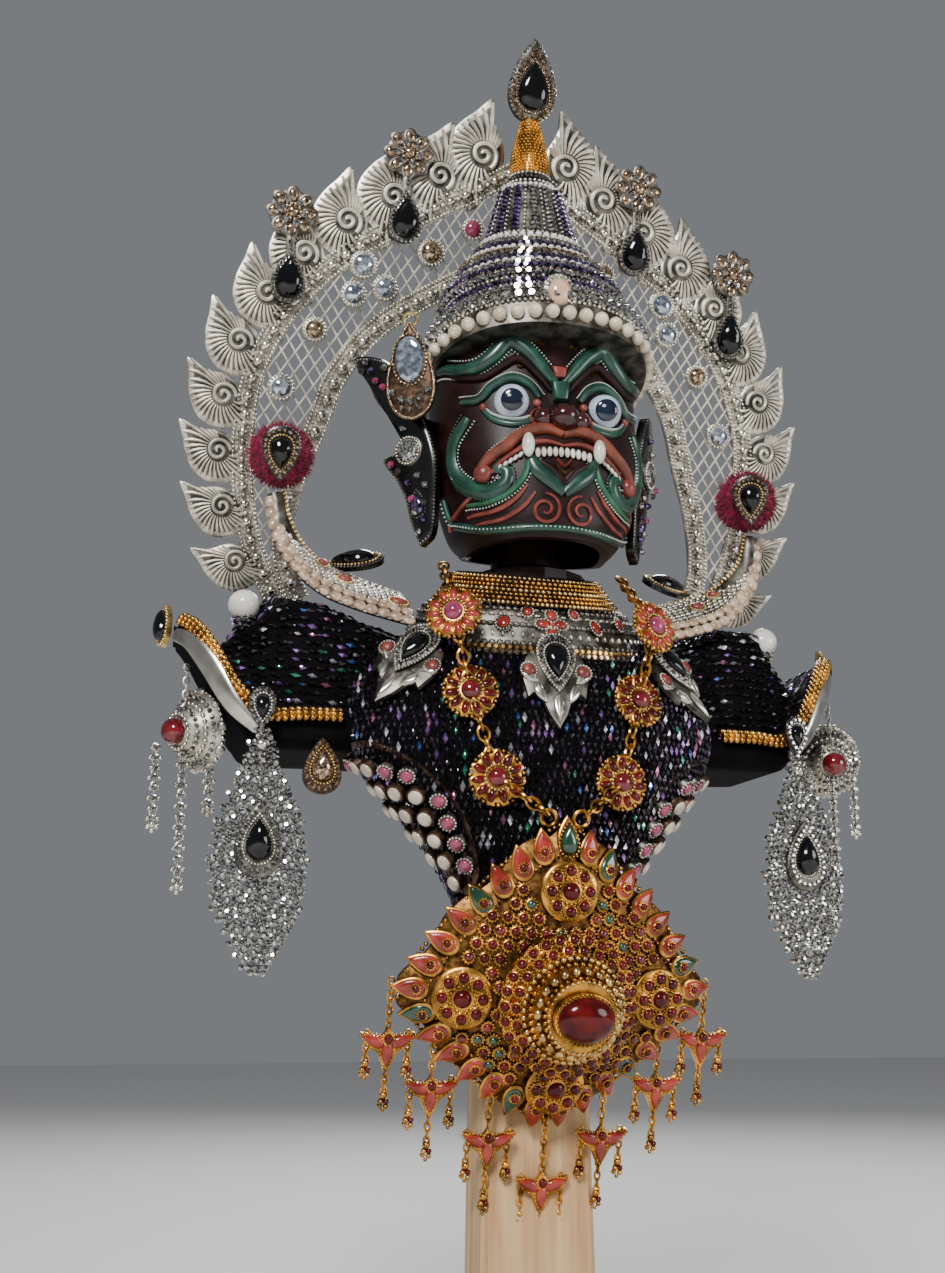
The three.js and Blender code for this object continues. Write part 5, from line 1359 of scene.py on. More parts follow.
def leaf_carving(shapes, m, k, hand):
    """A fluted leaf: a bright blade, a darker ground, curved flutes and a spiral boss"""
    outline = halo_leaf(k, hand)
    middle = np.array([2.0 * hand, 9.6]) * k
    shapes["silver"].append(dome(outline, 1.2, 0.6 * k, m, 3, 0.8))
    shapes["old_silver"].append(dome((outline - middle) * 0.84, 1.95, 0.2, shifted(m, *middle), 2, 0.9))
    away = outline - middle
    angles = np.arctan2(away[:, 1], away[:, 0] * hand) % (2 * pi)
    order = np.argsort(angles)
    edge = np.hypot(away[:, 0], away[:, 1])[order]
    for turn in np.linspace(0.35, 4.6, 22):
        path = []
        for share, height in ((0.0, 3.1), (0.35, 2.9), (0.7, 2.5), (1.0, 1.7)):
            angle = turn + 0.25 * share
            reach = mix(4.2 * k, 0.95 * np.interp(angle, angles[order], edge), share)
            path.append([middle[0] + reach * cos(angle) * hand, middle[1] + reach * sin(angle), height])
        shapes["wire"].append(tube(carried(m, path), np.array([0.6, 1.0, 1.3, 0.9]) * k, 1.2, m[:3, 2], 5))
    seat = shifted(m, *middle)
    shapes["old_silver"].append(dome(ellipse(4.8 * k, 4.8 * k, 20), 2.5, 0.5, seat, 3, 0.7))
    t = np.linspace(0, 1, 32)
    reach = 4.4 * k * (1 - 0.92 * t)
    turn = 2 * pi * 1.6 * t - 1.2
    flat = np.column_stack([reach * np.cos(turn) * hand, reach * np.sin(turn), 3.1 + 0.9 * t])
    shapes["wire"].append(tube(carried(seat, flat), 1.3 * k, 1.4, m[:3, 2], 6))


def flower(shapes, tray, m, radius, petals, petal, backing, stone, stone_share=0.34, rim="gold", bead=0.8):
    """A flower jewel: petals round a domed stone that stands in a ring of beads"""
    shapes[backing].append(dome(ellipse(radius * 0.9, radius * 0.9, 24), 1.4, 0.4, m, 3, 0.8))
    for k in range(petals):
        turned = shifted(m, roll=k * 2 * pi / petals)
        leaf = shifted(turned, y=radius * 0.68, z=1.2)
        wide = radius * 0.68 * pi / petals * 0.92
        shapes[backing].append(dome(ellipse(wide * 1.12, radius * 0.36, 14), 0.7, 0.3, leaf, 2, 0.8))
        shapes[petal].append(dome(ellipse(wide * 0.86, radius * 0.28, 12), 0.9, 0.9, leaf, 4))
    reach = radius * stone_share
    shapes[backing].append(dome(ellipse(reach * 1.5, reach * 1.5, 18), 2.2, 0.5, m, 3, 0.7))
    shapes[stone].append(dome(ellipse(reach, reach, 18), 0.5, reach * 0.7, shifted(m, z=2.5), 6))
    tray.ring("bead", rim, ellipse(reach * 1.28, reach * 1.28, 24), m, bead * 2.05, (bead,) * 3, 2.9)


def drop_brooch(
    shapes, tray, m, half, length, stone="onyx", backing="old_silver", stones="crystal", edge=2.2, big=False
):
    """A teardrop brooch: a domed stone, a row of fine beads and, round a small stone, a row of set stones"""
    if big:
        shapes[backing].append(dome(teardrop(half, length, 36), edge, 0.5, m, 3, 0.85))
        shapes[stone].append(
            dome(teardrop(half * 0.8, length * 0.82, 32), 1.2, half * 0.4, shifted(m, z=edge * 0.8), 7, 0.3)
        )
        tray.ring("cut", stones, teardrop(half, length, 36) * 0.93, m, 1.7, (0.8,) * 3, edge + 0.3)
        return
    outline = teardrop(half, length, 36)
    shapes[backing].append(dome(outline, edge, 0.5, m, 3, 0.75))
    shapes[stone].append(
        dome(teardrop(half * 0.56, length * 0.56, 32), 1.0, half * 0.36, shifted(m, z=edge * 0.8), 7)
    )
    tray.ring(
        "bead", "bright_silver" if stones == "crystal" else "pale_gold", outline * 0.66, m, 1.05, (0.5,) * 3,
        edge + 0.5
    )
    tray.ring("cut", stones, outline * 0.83, m, 1.95, (0.9, 0.9, 0.9), edge + 0.3)
    tray.ring("bead", backing, outline * 0.96, m, 1.2, (0.55,) * 3, edge - 0.2)


def link_chain(shapes, finish, path, normal, length=3.2, width=2.0, wire=0.7):
    """Oval links along a path, every other one turned on edge"""
    path = np.asarray(path, float)
    places = spaced(path, length * 0.72)
    along = tangents_of(places)
    for k, (p, a) in enumerate(zip(places, along)):
        z = unit(np.cross(a, np.cross(normal, a))) if k % 2 == 0 else unit(np.cross(a, normal))
        m = facing(p, z, a)
        angles = np.arange(10) * 2 * pi / 10
        ring = np.stack([width / 2 * np.cos(angles), length / 2 * np.sin(angles), np.zeros(10)], 1)
        shapes[finish].append(tube(carried(m, ring), wire, wire, m[:3, 2], 5, round_again=True))


# Halo jewels


def build_halo_jewels():
    lift = BAND_THICKNESS + 1.2
    for word, side in SIDES:
        for level, x, y in (("high", 46, 104), ("low", 88, 76)):
            shapes = defaultdict(list)
            tray = Tray()
            m = shifted(HALO, side * x, y, lift)
            top = shifted(m, y=13)
            flower(shapes, tray, top, 9.4, 8, "champagne", "old_silver", "champagne", 0.24, "champagne", 0.9)
            inner = shifted(top, z=1.4, roll=0.4)
            for k in range(6):
                leaf = shifted(shifted(inner, roll=k * pi / 3), y=3.9, z=0.6)
                shapes["crystal"].append(dome(ellipse(1.5, 1.9, 10), 0.9, 0.6, leaf, 3))
            stem = [[0, 5, 1.4], [0, 0, 1.8], [0, -4, 1.4]]
            shapes["old_silver"].append(tube(carried(m, stem), 3.4, 1.8, m[:3, 2], 8))
            tray.row(
                "cut", "crystal", carried(m, np.array(stem) + (0, 0, 1.0)), m[:3, 2], 2.6, (1.0, 1.0, 0.9)
            )
            drop_brooch(shapes, tray, shifted(m, y=-11), 8, 19, edge=2.4, big=True)
            name = "halo_jewel_" + word + "_" + level
            make_shapes(name, shapes, [name])
            tray.set_down(name + "_stones")
        spot = (side * (HALO_WIDTH / 2 - 4.2), 17.5, 282.5)
        pearl = ball(PEARL_RADIUS, shifted(np.eye(4), *spot), rings=20, sides=32)
        piece("halo_end_pearl_" + word, pearl, finish_of("white_pearl"), ["halo_pearl_" + word])
        tray = Tray()
        foot = shifted(np.eye(4), *spot)
        for drop, r in ((4.9, 3.6), (6.4, 3.2), (7.9, 2.7)):
            tray.ring("cut", "crystal", ellipse(r, r, 24), shifted(foot, z=-drop), 1.9, (0.9, 0.9, 0.9))
        tray.set_down("halo_end_stones_" + word)
    shapes = defaultdict(list)
    tray = Tray()
    m = shifted(HALO, 0, HALO_TOP + 25, lift)
    outline = teardrop(11.6, 32, 48)
    shapes["old_silver"].append(dome(outline, 3, 0.8, m, 3, 0.85))
    low = shifted(m, y=-2.6)
    shapes["onyx"].append(dome(teardrop(7.6, 18.5, 40), 1.4, 3.0, shifted(low, z=2.8), 8, 0.25))
    tray.ring("bead", "champagne", teardrop(8.5, 20.8, 44), low, 1.2, (0.58,) * 3, 3.8)
    tray.ring("cut", "champagne", teardrop(9.9, 26.2, 44) + (0, 0.6), low, 2.5, (1.2, 1.2, 1.1), 3.7)
    tray.ring("cut", "crystal", outline * 0.97, m, 1.7, (0.85,) * 3, 3.0)
    make_shapes("halo_apex", shapes, ["halo_apex_jewel"])
    tray.set_down("halo_apex_stones")


# Ears


# The guards' outlines: x away from the face, y up
FLAMES = {
    "left": [
        (0, -34), (3, -26), (5, -17), (8.5, -9), (14, -0.5), (6.5, 0.5), (5.5, 8), (9.5, 15), (15.5, 22),
        (19, 30),
        (25, 40), (13, 37), (5, 28), (0, 18), (-5, 8), (-8, -4), (-7, -18), (-5, -30),
    ],
    "right": [
        (0, -34), (3, -26), (5, -17), (6, -9), (7, -2), (6, 4), (7, 12), (5, 19), (0, 22), (-5, 8), (-8, -4),
        (-7, -18), (-5, -30),
    ],
}
FLAME_STONES = [
    (0, -29), (-2, -25), (1, -22), (-3, -19), (2, -17), (-4, -13), (3, -11), (-1, -9), (7, -6), (10, -3),
    (4, 9), (1, 13),
]
EAR_PENDANT_STONES = [
    (0, -11.0, 1.6), (-3.4, -10.4, 1.5), (3.4, -10.4, 1.5), (-6.2, -7.6, 1.5), (6.2, -7.6, 1.5),
    (0, -14.0, 1.2), (-3.0, -13.4, 1.0), (3.0, -13.4, 1.0),
]
TALL_STONES = [(8, 19), (6, 25), (12, 26), (11, 33), (17, 33), (19, 37), (21, 34), (15, 29)]


def build_ears():
    for word, side in SIDES:
        shapes = defaultdict(list)
        tray = Tray()
        m = facing((side * (42 if side < 0 else 39), -6, 336), (side * 0.75, -0.65, -0.1))
        outline = curve_through(FLAMES[word] + FLAMES[word][:1], 4)[:-1] * (side, 1)
        shapes["black_lacquer"].append(dome(outline, 3, 1.0, m, 4, 0.6))
        seat = [[-3, -16, -10], [3, -16, -10], [3, 12, -10], [-3, 12, -10]]
        high = [[x, y, 2] for x, y, _ in seat]
        shapes["black_lacquer"].append(loft([carried(m, seat), carried(m, high)]))
        tray.ring("bead", "old_silver", outline * 0.97, m, 1.3, (0.6,) * 3, 3.0)
        for k, (x, y) in enumerate(FLAME_STONES + (TALL_STONES if side < 0 else [])):
            finish = ("crystal", "violet_crystal", "crystal", "old_silver", "pink_stone")[k % 5]
            tray.lay("cut", finish, carried(m, [[side * x, y, 4.3]])[0], m[:3, 2], m[:3, 1], (1.4, 1.4, 1.2))
        disc = shifted(m, side * 2.2, 0.5, 3)
        shapes["old_silver"].append(dome(ellipse(5.6, 5.6, 26), 1.4, 0.4, disc, 3, 0.8))
        shapes["crystal"].append(dome(ellipse(4.2, 4.2, 12), 0.8, 1.7, shifted(disc, z=1.2), 3, 0.5))
        tray.ring("bead", "bright_silver", ellipse(4.8, 4.8, 26), disc, 1.25, (0.58,) * 3, 1.9)
        stone = shifted(m, y=-19, z=2.5)
        shapes["violet_crystal"].append(dome(teardrop(3.2, 8, 20), 1.4, 1.4, stone, 5))
        tray.ring("bead", "old_silver", teardrop(4.4, 10, 24), stone, 1.2, (0.5,) * 3, 1.4)
        make_shapes("ear_guard_" + word, shapes, ["ear_guard_" + word])
        tray.set_down("ear_guard_stones_" + word)
    shapes = defaultdict(list)
    tray = Tray()
    m = facing((-47.5, -15, 362), (-0.45, -0.88, -0.15))
    outline = teardrop(10.5, 34, 48)
    shapes["brown_bezel"].append(dome(outline, 3, 0.8, m, 3, 0.8))
    upper = shifted(m, y=1.5)
    shapes["clear"].append(dome(ellipse(5.2, 8.4, 14), 1.0, 1.9, shifted(upper, y=2.2, z=3.2), 4, 0.5))
    tray.ring("bead", "champagne", ellipse(6.0, 9.1, 34), shifted(upper, y=2.2), 1.4, (0.66,) * 3, 4.0)
    for x, y, r in EAR_PENDANT_STONES:
        tray.lay("cut", "crystal", carried(m, [[x, y, 4.2]])[0], m[:3, 2], m[:3, 1], (r, r, 1.2))
    for share, finish in ((0.99, "champagne"), (0.87, "bronze")):
        tray.ring("bead", finish, outline * share, m, 0.9, (0.72,) * 3, 2.9)
    loop = carried(shifted(m, y=18.6, z=1.5), np.column_stack([ellipse(2.4, 2.4, 16), np.zeros(16)]))
    shapes["pale_gold"].append(tube(loop, 1.2, 1.2, m[:3, 2], 6, round_again=True))
    make_shapes("ear_pendant", shapes, ["ear_pendant_left"])
    tray.set_down("ear_pendant_stones")


# Horns and pompoms

HORN_LOW = [
    (46, -8, 273), (62, -5, 277.5), (75.5, -1.5, 283.5), (86, 2, 294), (91.5, 5, 306), (93.5, 7.5, 320)
]
HORN_HIGH = [(46, 13, 289), (62, 16, 295), (74, 13, 299), (81.5, 9.5, 305), (85.5, 8, 312), (87.5, 8, 321)]


def horn_frame(side, count=70):
    """Along a horn: its middle line, its facing and half its width, which points to the lower edge"""
    low, high = (sampled(curve_through(edge), count) * (side, 1, 1) for edge in (HORN_LOW, HORN_HIGH))
    half = (low - high) / 2
    normals = unit(np.cross(half, tangents_of(low))) * side
    return (low + high) / 2, normals, half


def build_horns():
    for word, side in SIDES:
        shapes = defaultdict(list)
        tray = Tray()
        line, normals, half = horn_frame(side)
        angles = np.arange(16) * 2 * pi / 16
        thick = HORN_THICKNESS / 2
        rings = (
            line[:, None] + half[:, None] * np.cos(angles)[:, None] * 0.98
            + normals[:, None] * np.sin(angles)[:, None] * thick
        )
        shapes["old_silver"].append(loft(rings))

        def lane(share, form, finish, spacing, size, last=1.0, rise=0.0):
            b = int(last * (len(line) - 1)) + 1
            lift = thick * sqrt(max(1 - share * share, 0)) + rise
            path = line + half * share + normals * lift
            out = unit(normals + unit(half) * share * 0.5)
            tray.row(form, finish, path[:b], out[:b], spacing, size)

        lane(0.88, "pearl", "blush", 4.3, (2.1, 2.5, 1.2), 0.97)
        lane(0.56, "pearl", "blush", 4.2, (1.9, 2.3, 1.1), 0.8, 0.2)
        lane(0.42, "bead", "bright_silver", 1.5, (0.6, 0.8, 0.6), 0.7, 0.3)
        for step, share in enumerate(np.linspace(0.26, -0.72, 7)):
            finish = "bright_silver" if step % 2 else "silver"
            lane(share, "bead", finish, 2.5, (0.8, 1.5, 0.8), mix(0.8, 0.45, step / 6), 0.2)
        lane(-0.9, "bead", "pale_gold", 1.6, (0.9, 0.9, 0.7), 1.0, 0.1)
        for spot, share, size in ((0.34, 0.0, 2.4), (0.05, 0.3, 3.0), (0.5, -0.3, 1.8)):
            i = int(spot * (len(line) - 1))
            seat = facing(line[i] + half[i] * share + normals[i] * (thick + 0.3), normals[i])
            shapes["silver"].append(dome(ellipse(size * 1.35, size * 1.2, 20), 0.9, 0.3, seat, 3, 0.8))
            shapes["rose"].append(dome(ellipse(size, size * 0.85, 18), 0.9, 1.2, shifted(seat, z=0.5), 5))
            tray.ring("bead", "pale_gold", ellipse(size * 1.2, size * 1.05, 20), seat, 1.1, (0.5,) * 3, 1.1)
        make_shapes("shoulder_horn_" + word, shapes, ["shoulder_horn_" + word])
        tray.set_down("shoulder_horn_scales_" + word)

        shapes = defaultdict(list)
        tray = Tray()
        m = facing((side * 60, 19, 300.5), (side * 0.3, -0.55, 0.78), (side, 0, 0.3))
        outline = teardrop(7.5, 22, 36)
        shapes["black_lacquer"].append(dome(outline, 2.2, 0.5, m, 3, 0.7))
        shapes["onyx"].append(dome(outline * 0.7, 1.0, 3.0, shifted(m, z=1.8), 7))
        tray.ring("bead", "pale_gold", outline * 0.86, m, 1.3, (0.6,) * 3, 2.5)
        tray.ring("bead", "old_silver", outline * 0.98, m, 1.3, (0.6,) * 3, 1.9)
        make_shapes("horn_cabochon_" + word, shapes, ["horn_cabochon_" + word])
        tray.set_down("horn_cabochon_beads_" + word)
        build_pompom(word, side)


POMPOM_BROOCHES = {
    "left": ((-91, -5, 331), (-0.1, -1, -0.3)),
    "right": ((85.5, -4, 331.5), (-0.35, -1, -0.3)),
}


# The turn from one fibre to the next that spreads them evenly over a ball
GOLDEN_TURN = 2.399963


def build_pompom(word, side):
    middle = np.array([side * 89.3, 7, 335])
    m = shifted(np.eye(4), *middle)
    piece(
        "pompom_core_" + word, ball(POMPOM_RADIUS - 1.2, m, rings=14, sides=24), finish_of("fibre"),
        ["pompom_" + word],
    )
    tray = Tray()
    rng = np.random.default_rng(31)
    count = sizes().fibres
    for k in range(count):
        z = 1 - 2 * (k + 0.5) / count
        turn = k * GOLDEN_TURN
        flat = sqrt(1 - z * z)
        direction = unit(np.array([flat * cos(turn), flat * sin(turn), z]) + rng.normal(0, 0.10, 3))
        start = middle + direction * (POMPOM_RADIUS - 3.0)
        reach = 3.4 + rng.uniform(-0.5, 0.6)
        tray.lay("hair", "fibre", start, direction, (0.1, 0.9, 0.4), (0.42, 0.42, reach))
    tray.set_down("pompom_fibres_" + word)
    shapes = defaultdict(list)
    tray = Tray()
    place, turn = POMPOM_BROOCHES[word]
    m = shifted(facing(place, turn), roll=pi)
    drop_brooch(shapes, tray, m, 8.4, 19, "onyx", "black_lacquer", "champagne", 2.0)
    make_shapes("pompom_brooch_" + word, shapes, ["pompom_brooch_" + word])
    tray.set_down("pompom_brooch_stones_" + word)


# Collar, neck chains and the two strands


def neck_ring(half, front, back, z, dip, count=96):
    ring = ring_of(half, front, back, NECK_Y, z, 2.1, count)
    ring[:, 2] += dip * (ring[:, 1] - NECK_Y)
    return ring


COLLAR_ROWS = np.array(
    [
        (2, 1.32, 1.36, COLLAR_LOW + 7, 0.24),
        (2, 1.34, 1.36, COLLAR_LOW + 10, 0.24),
        (1.73, 1.23, 1.27, COLLAR_HIGH + 2, 0.24),
        (1.41, 1.11, 1.14, COLLAR_HIGH + 8, 0.26),
    ]
)


def collar_ring(share, grow=0.0):
    """The collar's surface at a share of the way from its lower edge to its upper one"""
    spot = share * (len(COLLAR_ROWS) - 1)
    i = int(clamp(floor(spot), 0, len(COLLAR_ROWS) - 2))
    w, f, b, z, dip = mix(COLLAR_ROWS[i], COLLAR_ROWS[i + 1], spot - i)
    return neck_ring(w * NECK_RADIUS + grow, f * NECK_RADIUS + grow, b * NECK_RADIUS + grow, z, dip)


def collar_row(tray, share, form, finish, spacing, size, grow=0.0):
    ring = collar_ring(share, grow)
    above = collar_ring(min(share + 0.04, 1.0), grow)
    loop = np.vstack([ring, ring[:1]])
    slope = np.vstack([above, above[:1]]) - loop if share < 0.96 else np.tile((0, 0, 1.0), (len(loop), 1))
    along = tangents_of(loop)
    normals = unit(np.cross(along, slope))
    away = unit((loop - (0, NECK_Y, 0)) * (1, 1, 0))
    normals = normals * np.sign((normals * away).sum(1, keepdims=True))
    tray.row(form, finish, loop, normals, spacing, size)


def build_collar():
    tray = Tray()
    rings = [collar_ring(s) for s in np.linspace(0, 1, 13)]
    piece("collar_body", loft(rings), finish_of("old_silver"), ["collar"])
    for share, form, finish, spacing, size, grow in (
        (0.02, "cut", "champagne", 2.5, (1.3,) * 3, 0.4), (0.2, "cut", "pale_gold", 2.3, (1.2,) * 3, 0.4),
        (0.34, "bead", "old_silver", 2.6, (1.2, 1.3, 1.0), 0.3),
        (0.44, "bead", "silver", 3.4, (1.3, 0.6, 0.8), 0.3),
        (0.54, "bead", "old_silver", 2.2, (1.0, 1.5, 1.0), 0.2),
        (0.64, "bead", "silver", 3.1, (0.6, 1.4, 0.8), 0.2),
        (0.74, "bead", "old_silver", 2.4, (1.1, 1.3, 0.9), 0.2),
        (0.84, "bead", "silver", 2.9, (1.2, 0.5, 0.8), 0.2),
        (0.94, "cut", "champagne", 2.2, (1.0,) * 3, 0.3),
    ):
        collar_row(tray, share, form, finish, spacing, size, grow)
    shapes = defaultdict(list)
    for x, z, a, b in (
        (0, 268.6, 1.5, 2.1), (0, 275.2, 1.5, 2.1), (-3.6, 271.8, 2.1, 1.5), (3.6, 271.8, 2.1, 1.5),
        (0, 271.8, 1.1, 1.1),
        (-16, 273, 2.0, 2.4), (16, 273, 2.0, 2.4), (-26, 275.6, 1.8, 2.2), (26, 275.6, 1.8, 2.2),
        (-9, 277, 1.4, 1.6), (9, 277, 1.4, 1.6),
    ):
        ring = np.vstack([collar_ring(s, 0.4) for s in np.linspace(0.3, 0.95, 22)])
        front = ring[ring[:, 1] < NECK_Y]
        spot = front[np.argmin(np.hypot(front[:, 0] - x, front[:, 2] - z))]
        seat = facing(spot, unit((x * 0.03, -0.9, 0.42)))
        shapes["coral"].append(dome(ellipse(a, b, 16), 0.8, 0.9, seat, 4))
        tray.ring("bead", "silver", ellipse(a + 0.7, b + 0.7, 18), seat, 1.1, (0.5,) * 3, 0.7)
    make_shapes("collar_stones", shapes)
    tray.set_down("collar_beads")

    tray = Tray()
    body = []
    for i in range(13):
        t = i / 12
        reach = NECK_RADIUS * mix(1.43, 1.12, t)
        body.append(neck_ring(reach, reach - 3, reach - 3, mix(COLLAR_HIGH + 6, CHIN - 2, t), 0.3))
    piece("neck_chain_body", loft(body), finish_of("brown_bezel"), ["neck_chains"])
    ropes = 7
    for i in range(ropes):
        t = (i + 0.4) / ropes
        reach = NECK_RADIUS * mix(1.45, 1.14, t) + 0.5
        ring = neck_ring(reach, reach - 3, reach - 3, mix(COLLAR_HIGH + 6.4, CHIN - 2.4, t), 0.3)
        loop = np.vstack([ring, ring[:1]])
        away = unit((loop - (0, NECK_Y, 0)) * (1, 1, 0) + (0, 0, 0.3))
        radius = 0.95 if i % 2 else 0.8
        tray.row("bead", "gold" if i % 3 else "pale_gold", loop, away, radius * 2.1, (radius,) * 3)
    tray.set_down("neck_chain_beads")
    build_necklaces()


def build_necklaces():
    for word, side in SIDES:
        shapes = defaultdict(list)
        tray = Tray()
        seats = [(np.array([side * 35, -25.5, 273]), unit((side * 0.35, -0.9, 0.2)))]
        for x, z in ((29, 247), (21, 219)):
            point, normal = on_chest(side * x, z, 1.4)
            seats.append((point, normal))
        stones = ["pink_stone", "ruby", "ruby"]
        for (point, normal), stone in zip(seats, stones):
            m = facing(point, normal)
            petal = "coral" if stone == "pink_stone" else "garnet"
            flower(shapes, tray, m, 9.0, 11, petal, "gold", stone, 0.36, "pale_gold", 0.6)
            tray.ring("bead", "gold", ellipse(8.9, 8.9, 30), m, 1.7, (0.72,) * 3, 1.2)
        stops = [np.array([side * 33, -4, 296])] + [p + n * 1.6 for p, n in seats] + [
            np.array([side * 8, -34.5, 208])
        ]
        for a, b in zip(stops, stops[1:]):
            middle = mix(a, b, 0.5)
            path = curve_through([a, middle, b], 6)
            normal = unit(seats[0][1] + (0, -0.6, 0))
            link_chain(shapes, "gold", path, normal, 5.2, 3.6, 1.1)
        make_shapes("necklace_" + word, shapes, ["necklace_" + word])
        tray.set_down("necklace_beads_" + word)


# Wings


def rim_point(side, share, out, lift):
    corner = wing_corners(share)[2]
    return np.array([side * (corner[0] + out), corner[1] - out * 0.2, corner[2] + lift])


def build_wings():
    for word, side in SIDES:
        shapes = defaultdict(list)
        tray = Tray()
        shares = (0.56, 0.66, 0.76, 0.84, 0.9, 0.945, 0.975)
        line = sampled(curve_through([rim_point(side, s, 0.6, 0.6) - (0, 1, 0) for s in shares]), 60)
        shapes["gold"].append(tube(line, 3.4, 3.2, (0, -0.6, 0.8), 10))
        normals = np.tile(unit((0, -0.6, 0.8)), (len(line), 1))
        across = unit(np.cross(tangents_of(line), normals))
        for shift, lift in ((1.25, 1.1), (-1.25, 1.1), (-2.0, -0.3), (2.0, -0.3)):
            tray.row("bead", "gold", line + across * shift + normals * lift, normals, 2.3, (1.2,) * 3)
        tray.row("bead", "pale_gold", line + normals * 1.9, normals, 2.3, (0.8,) * 3)
        make_shapes("wing_trim_" + word, shapes, ["wing_trim_" + word])
        tray.set_down("wing_trim_beads_" + word)

        shares = (0.77, 0.84, 0.9, 0.95, 0.985)
        line = sampled(curve_through([rim_point(side, s, 1.8, -5) - (0, 1.5, 0) for s in shares]), 40)
        t = np.linspace(0, 1, 40)
        width = mix(3, 8, np.sin(pi * mix(0.1, 0.9, t)))
        shapes = defaultdict(list)
        shapes["bright_silver"].append(tube(line, width, 2.8, (side * 0.8, -0.6, 0), 18))
        make_shapes("wing_crescent_" + word, shapes, ["wing_crescent_" + word])

        shapes = defaultdict(list)
        tray = Tray()
        m = facing((side * (WING_REACH + 2), WING_Y, WING_TIP), (side, -0.25, 0.1))
        outline = teardrop(6, 15, 32)
        shapes["pale_gold"].append(dome(outline, 1.6, 0.5, m, 3, 0.7))
        shapes["onyx"].append(dome(teardrop(4.4, 11, 28), 1.2, 2.8, shifted(m, z=1.2), 7))
        tray.ring("bead", "pale_gold", outline * 0.92, m, 1.4, (0.6,) * 3, 1.9)
        make_shapes("tip_button_" + word, shapes, ["tip_button_" + word])
        tray.set_down("tip_button_beads_" + word)


# Chest


LEAF_SHAPE = [
    (-9, 8), (-12, 1), (-10, -8), (-6, -6), (-3, -14), (0, -19), (3, -14), (6, -6), (10, -8), (12, 1), (9, 8),
]


def build_chest():
    for word, x, z, roll in (("centre", 0, 254, 0), ("left", -47, 258, -0.5), ("right", 47, 258, 0.5)):
        shapes = defaultdict(list)
        tray = Tray()
        point, normal = on_chest(x, z, 0.4)
        m = shifted(facing(point, normal), roll=roll)
        shapes["old_silver"].append(dome(np.array(LEAF_SHAPE, float), 1.6, 0.9, m, 3, 0.5))
        for dx, dy, turn, length in (
            (0, -12, 0, 11), (-5.6, -7, 0.5, 8), (5.6, -7, -0.5, 8), (-9, -1, 0.9, 7), (9, -1, -0.9, 7)
        ):
            leaf = shifted(shifted(m, dx, dy, 1.2), roll=turn)
            shapes["bright_silver"].append(dome(teardrop(2.6, length, 16) * (1, -1), 0.8, 1.0, leaf, 4, 0.2))
            rib = carried(leaf, [[0, length * 0.4, 1.7], [0, 0, 2.1], [0, -length * 0.4, 1.3]])
            shapes["silver"].append(tube(rib, 0.5, 0.6, m[:3, 2], 4))
        top = shifted(shifted(m, y=4, z=1.4), roll=pi)
        outline = teardrop(8.6, 21, 44)
        shapes["black_lacquer"].append(dome(outline, 2.2, 0.5, top, 3, 0.8))
        shapes["onyx"].append(dome(teardrop(4.7, 11.5, 32), 1.2, 2.0, shifted(top, z=2.2), 8))
        tray.ring("bead", "silver", teardrop(5.7, 13.8, 40), top, 1.0, (0.48,) * 3, 2.9)
        tray.ring("square", "crystal", teardrop(7.2, 17.4, 40), top, 2.05, (1.2, 1.2, 0.9), 2.7)
        tray.ring("bead", "silver", outline * 0.97, top, 1.1, (0.58,) * 3, 2.3)
        for s in (-1, 1):
            gem = shifted(m, s * 9.6, 1, 1.6)
            shapes["rose"].append(dome(ellipse(2.2, 2.2, 16), 1.2, 1.3, gem, 5))
            tray.ring("bead", "silver", ellipse(2.8, 2.8, 18), gem, 1.05, (0.5,) * 3, 1.0)
        make_shapes("chest_brooch_" + word, shapes, ["chest_brooch_" + word])
        tray.set_down("chest_brooch_stones_" + word)
    build_studs()


# The stud panels' edge: distance round the chest from its middle, and height
PANEL_EDGE = [
    (82, 228), (71, 217), (59, 205), (44, 192), (30, 183), (25, 189), (27, 199), (31, 209), (39, 219),
    (50, 227),
    (62, 232), (75, 232),
]
ALONG_PANEL, OVER_PANEL = np.array([0.78, 0.63]), np.array([-0.63, 0.78])


def round_chest(side, u, z, lift=0.0):
    """The place on the chest at a distance round it from its middle, with the way it faces"""
    _, w, f, b, y = row_at(BUST_FINE, z)
    half = ring_of(w, f, b, y, z, BUST_POWER, 361)[180:0:-1]
    reach = lengths_of(half)
    k = int(np.searchsorted(reach, min(u, reach[-2]))) or 1
    above = row_at(BUST_FINE, z + 1)[1] - row_at(BUST_FINE, z - 1)[1]
    along = unit(half[k] - half[k - 1])
    normal = unit(np.array([along[1], -along[0], -above / 2]))
    point = mix(half[k - 1], half[k], (u - reach[k - 1]) / (reach[k] - reach[k - 1]))
    return (point + normal * lift) * (side, 1, 1), normal * (side, 1, 1)


def inside(outline, x, z, margin=0.0):
    """Whether a place lies inside an outline, at least the margin from its edge"""
    points = np.asarray(outline, float)
    ahead = np.roll(points, -1, 0)
    hit = False
    near = 1e9
    for (x1, z1), (x2, z2) in zip(points, ahead):
        if (z1 > z) != (z2 > z) and x < x1 + (z - z1) * (x2 - x1) / (z2 - z1):
            hit = not hit
        along = np.array([x2 - x1, z2 - z1])
        t = clamp(np.dot((x - x1, z - z1), along) / np.dot(along, along), 0, 1)
        near = min(near, hypot(x - x1 - along[0] * t, z - z1 - along[1] * t))
    return hit and near >= margin


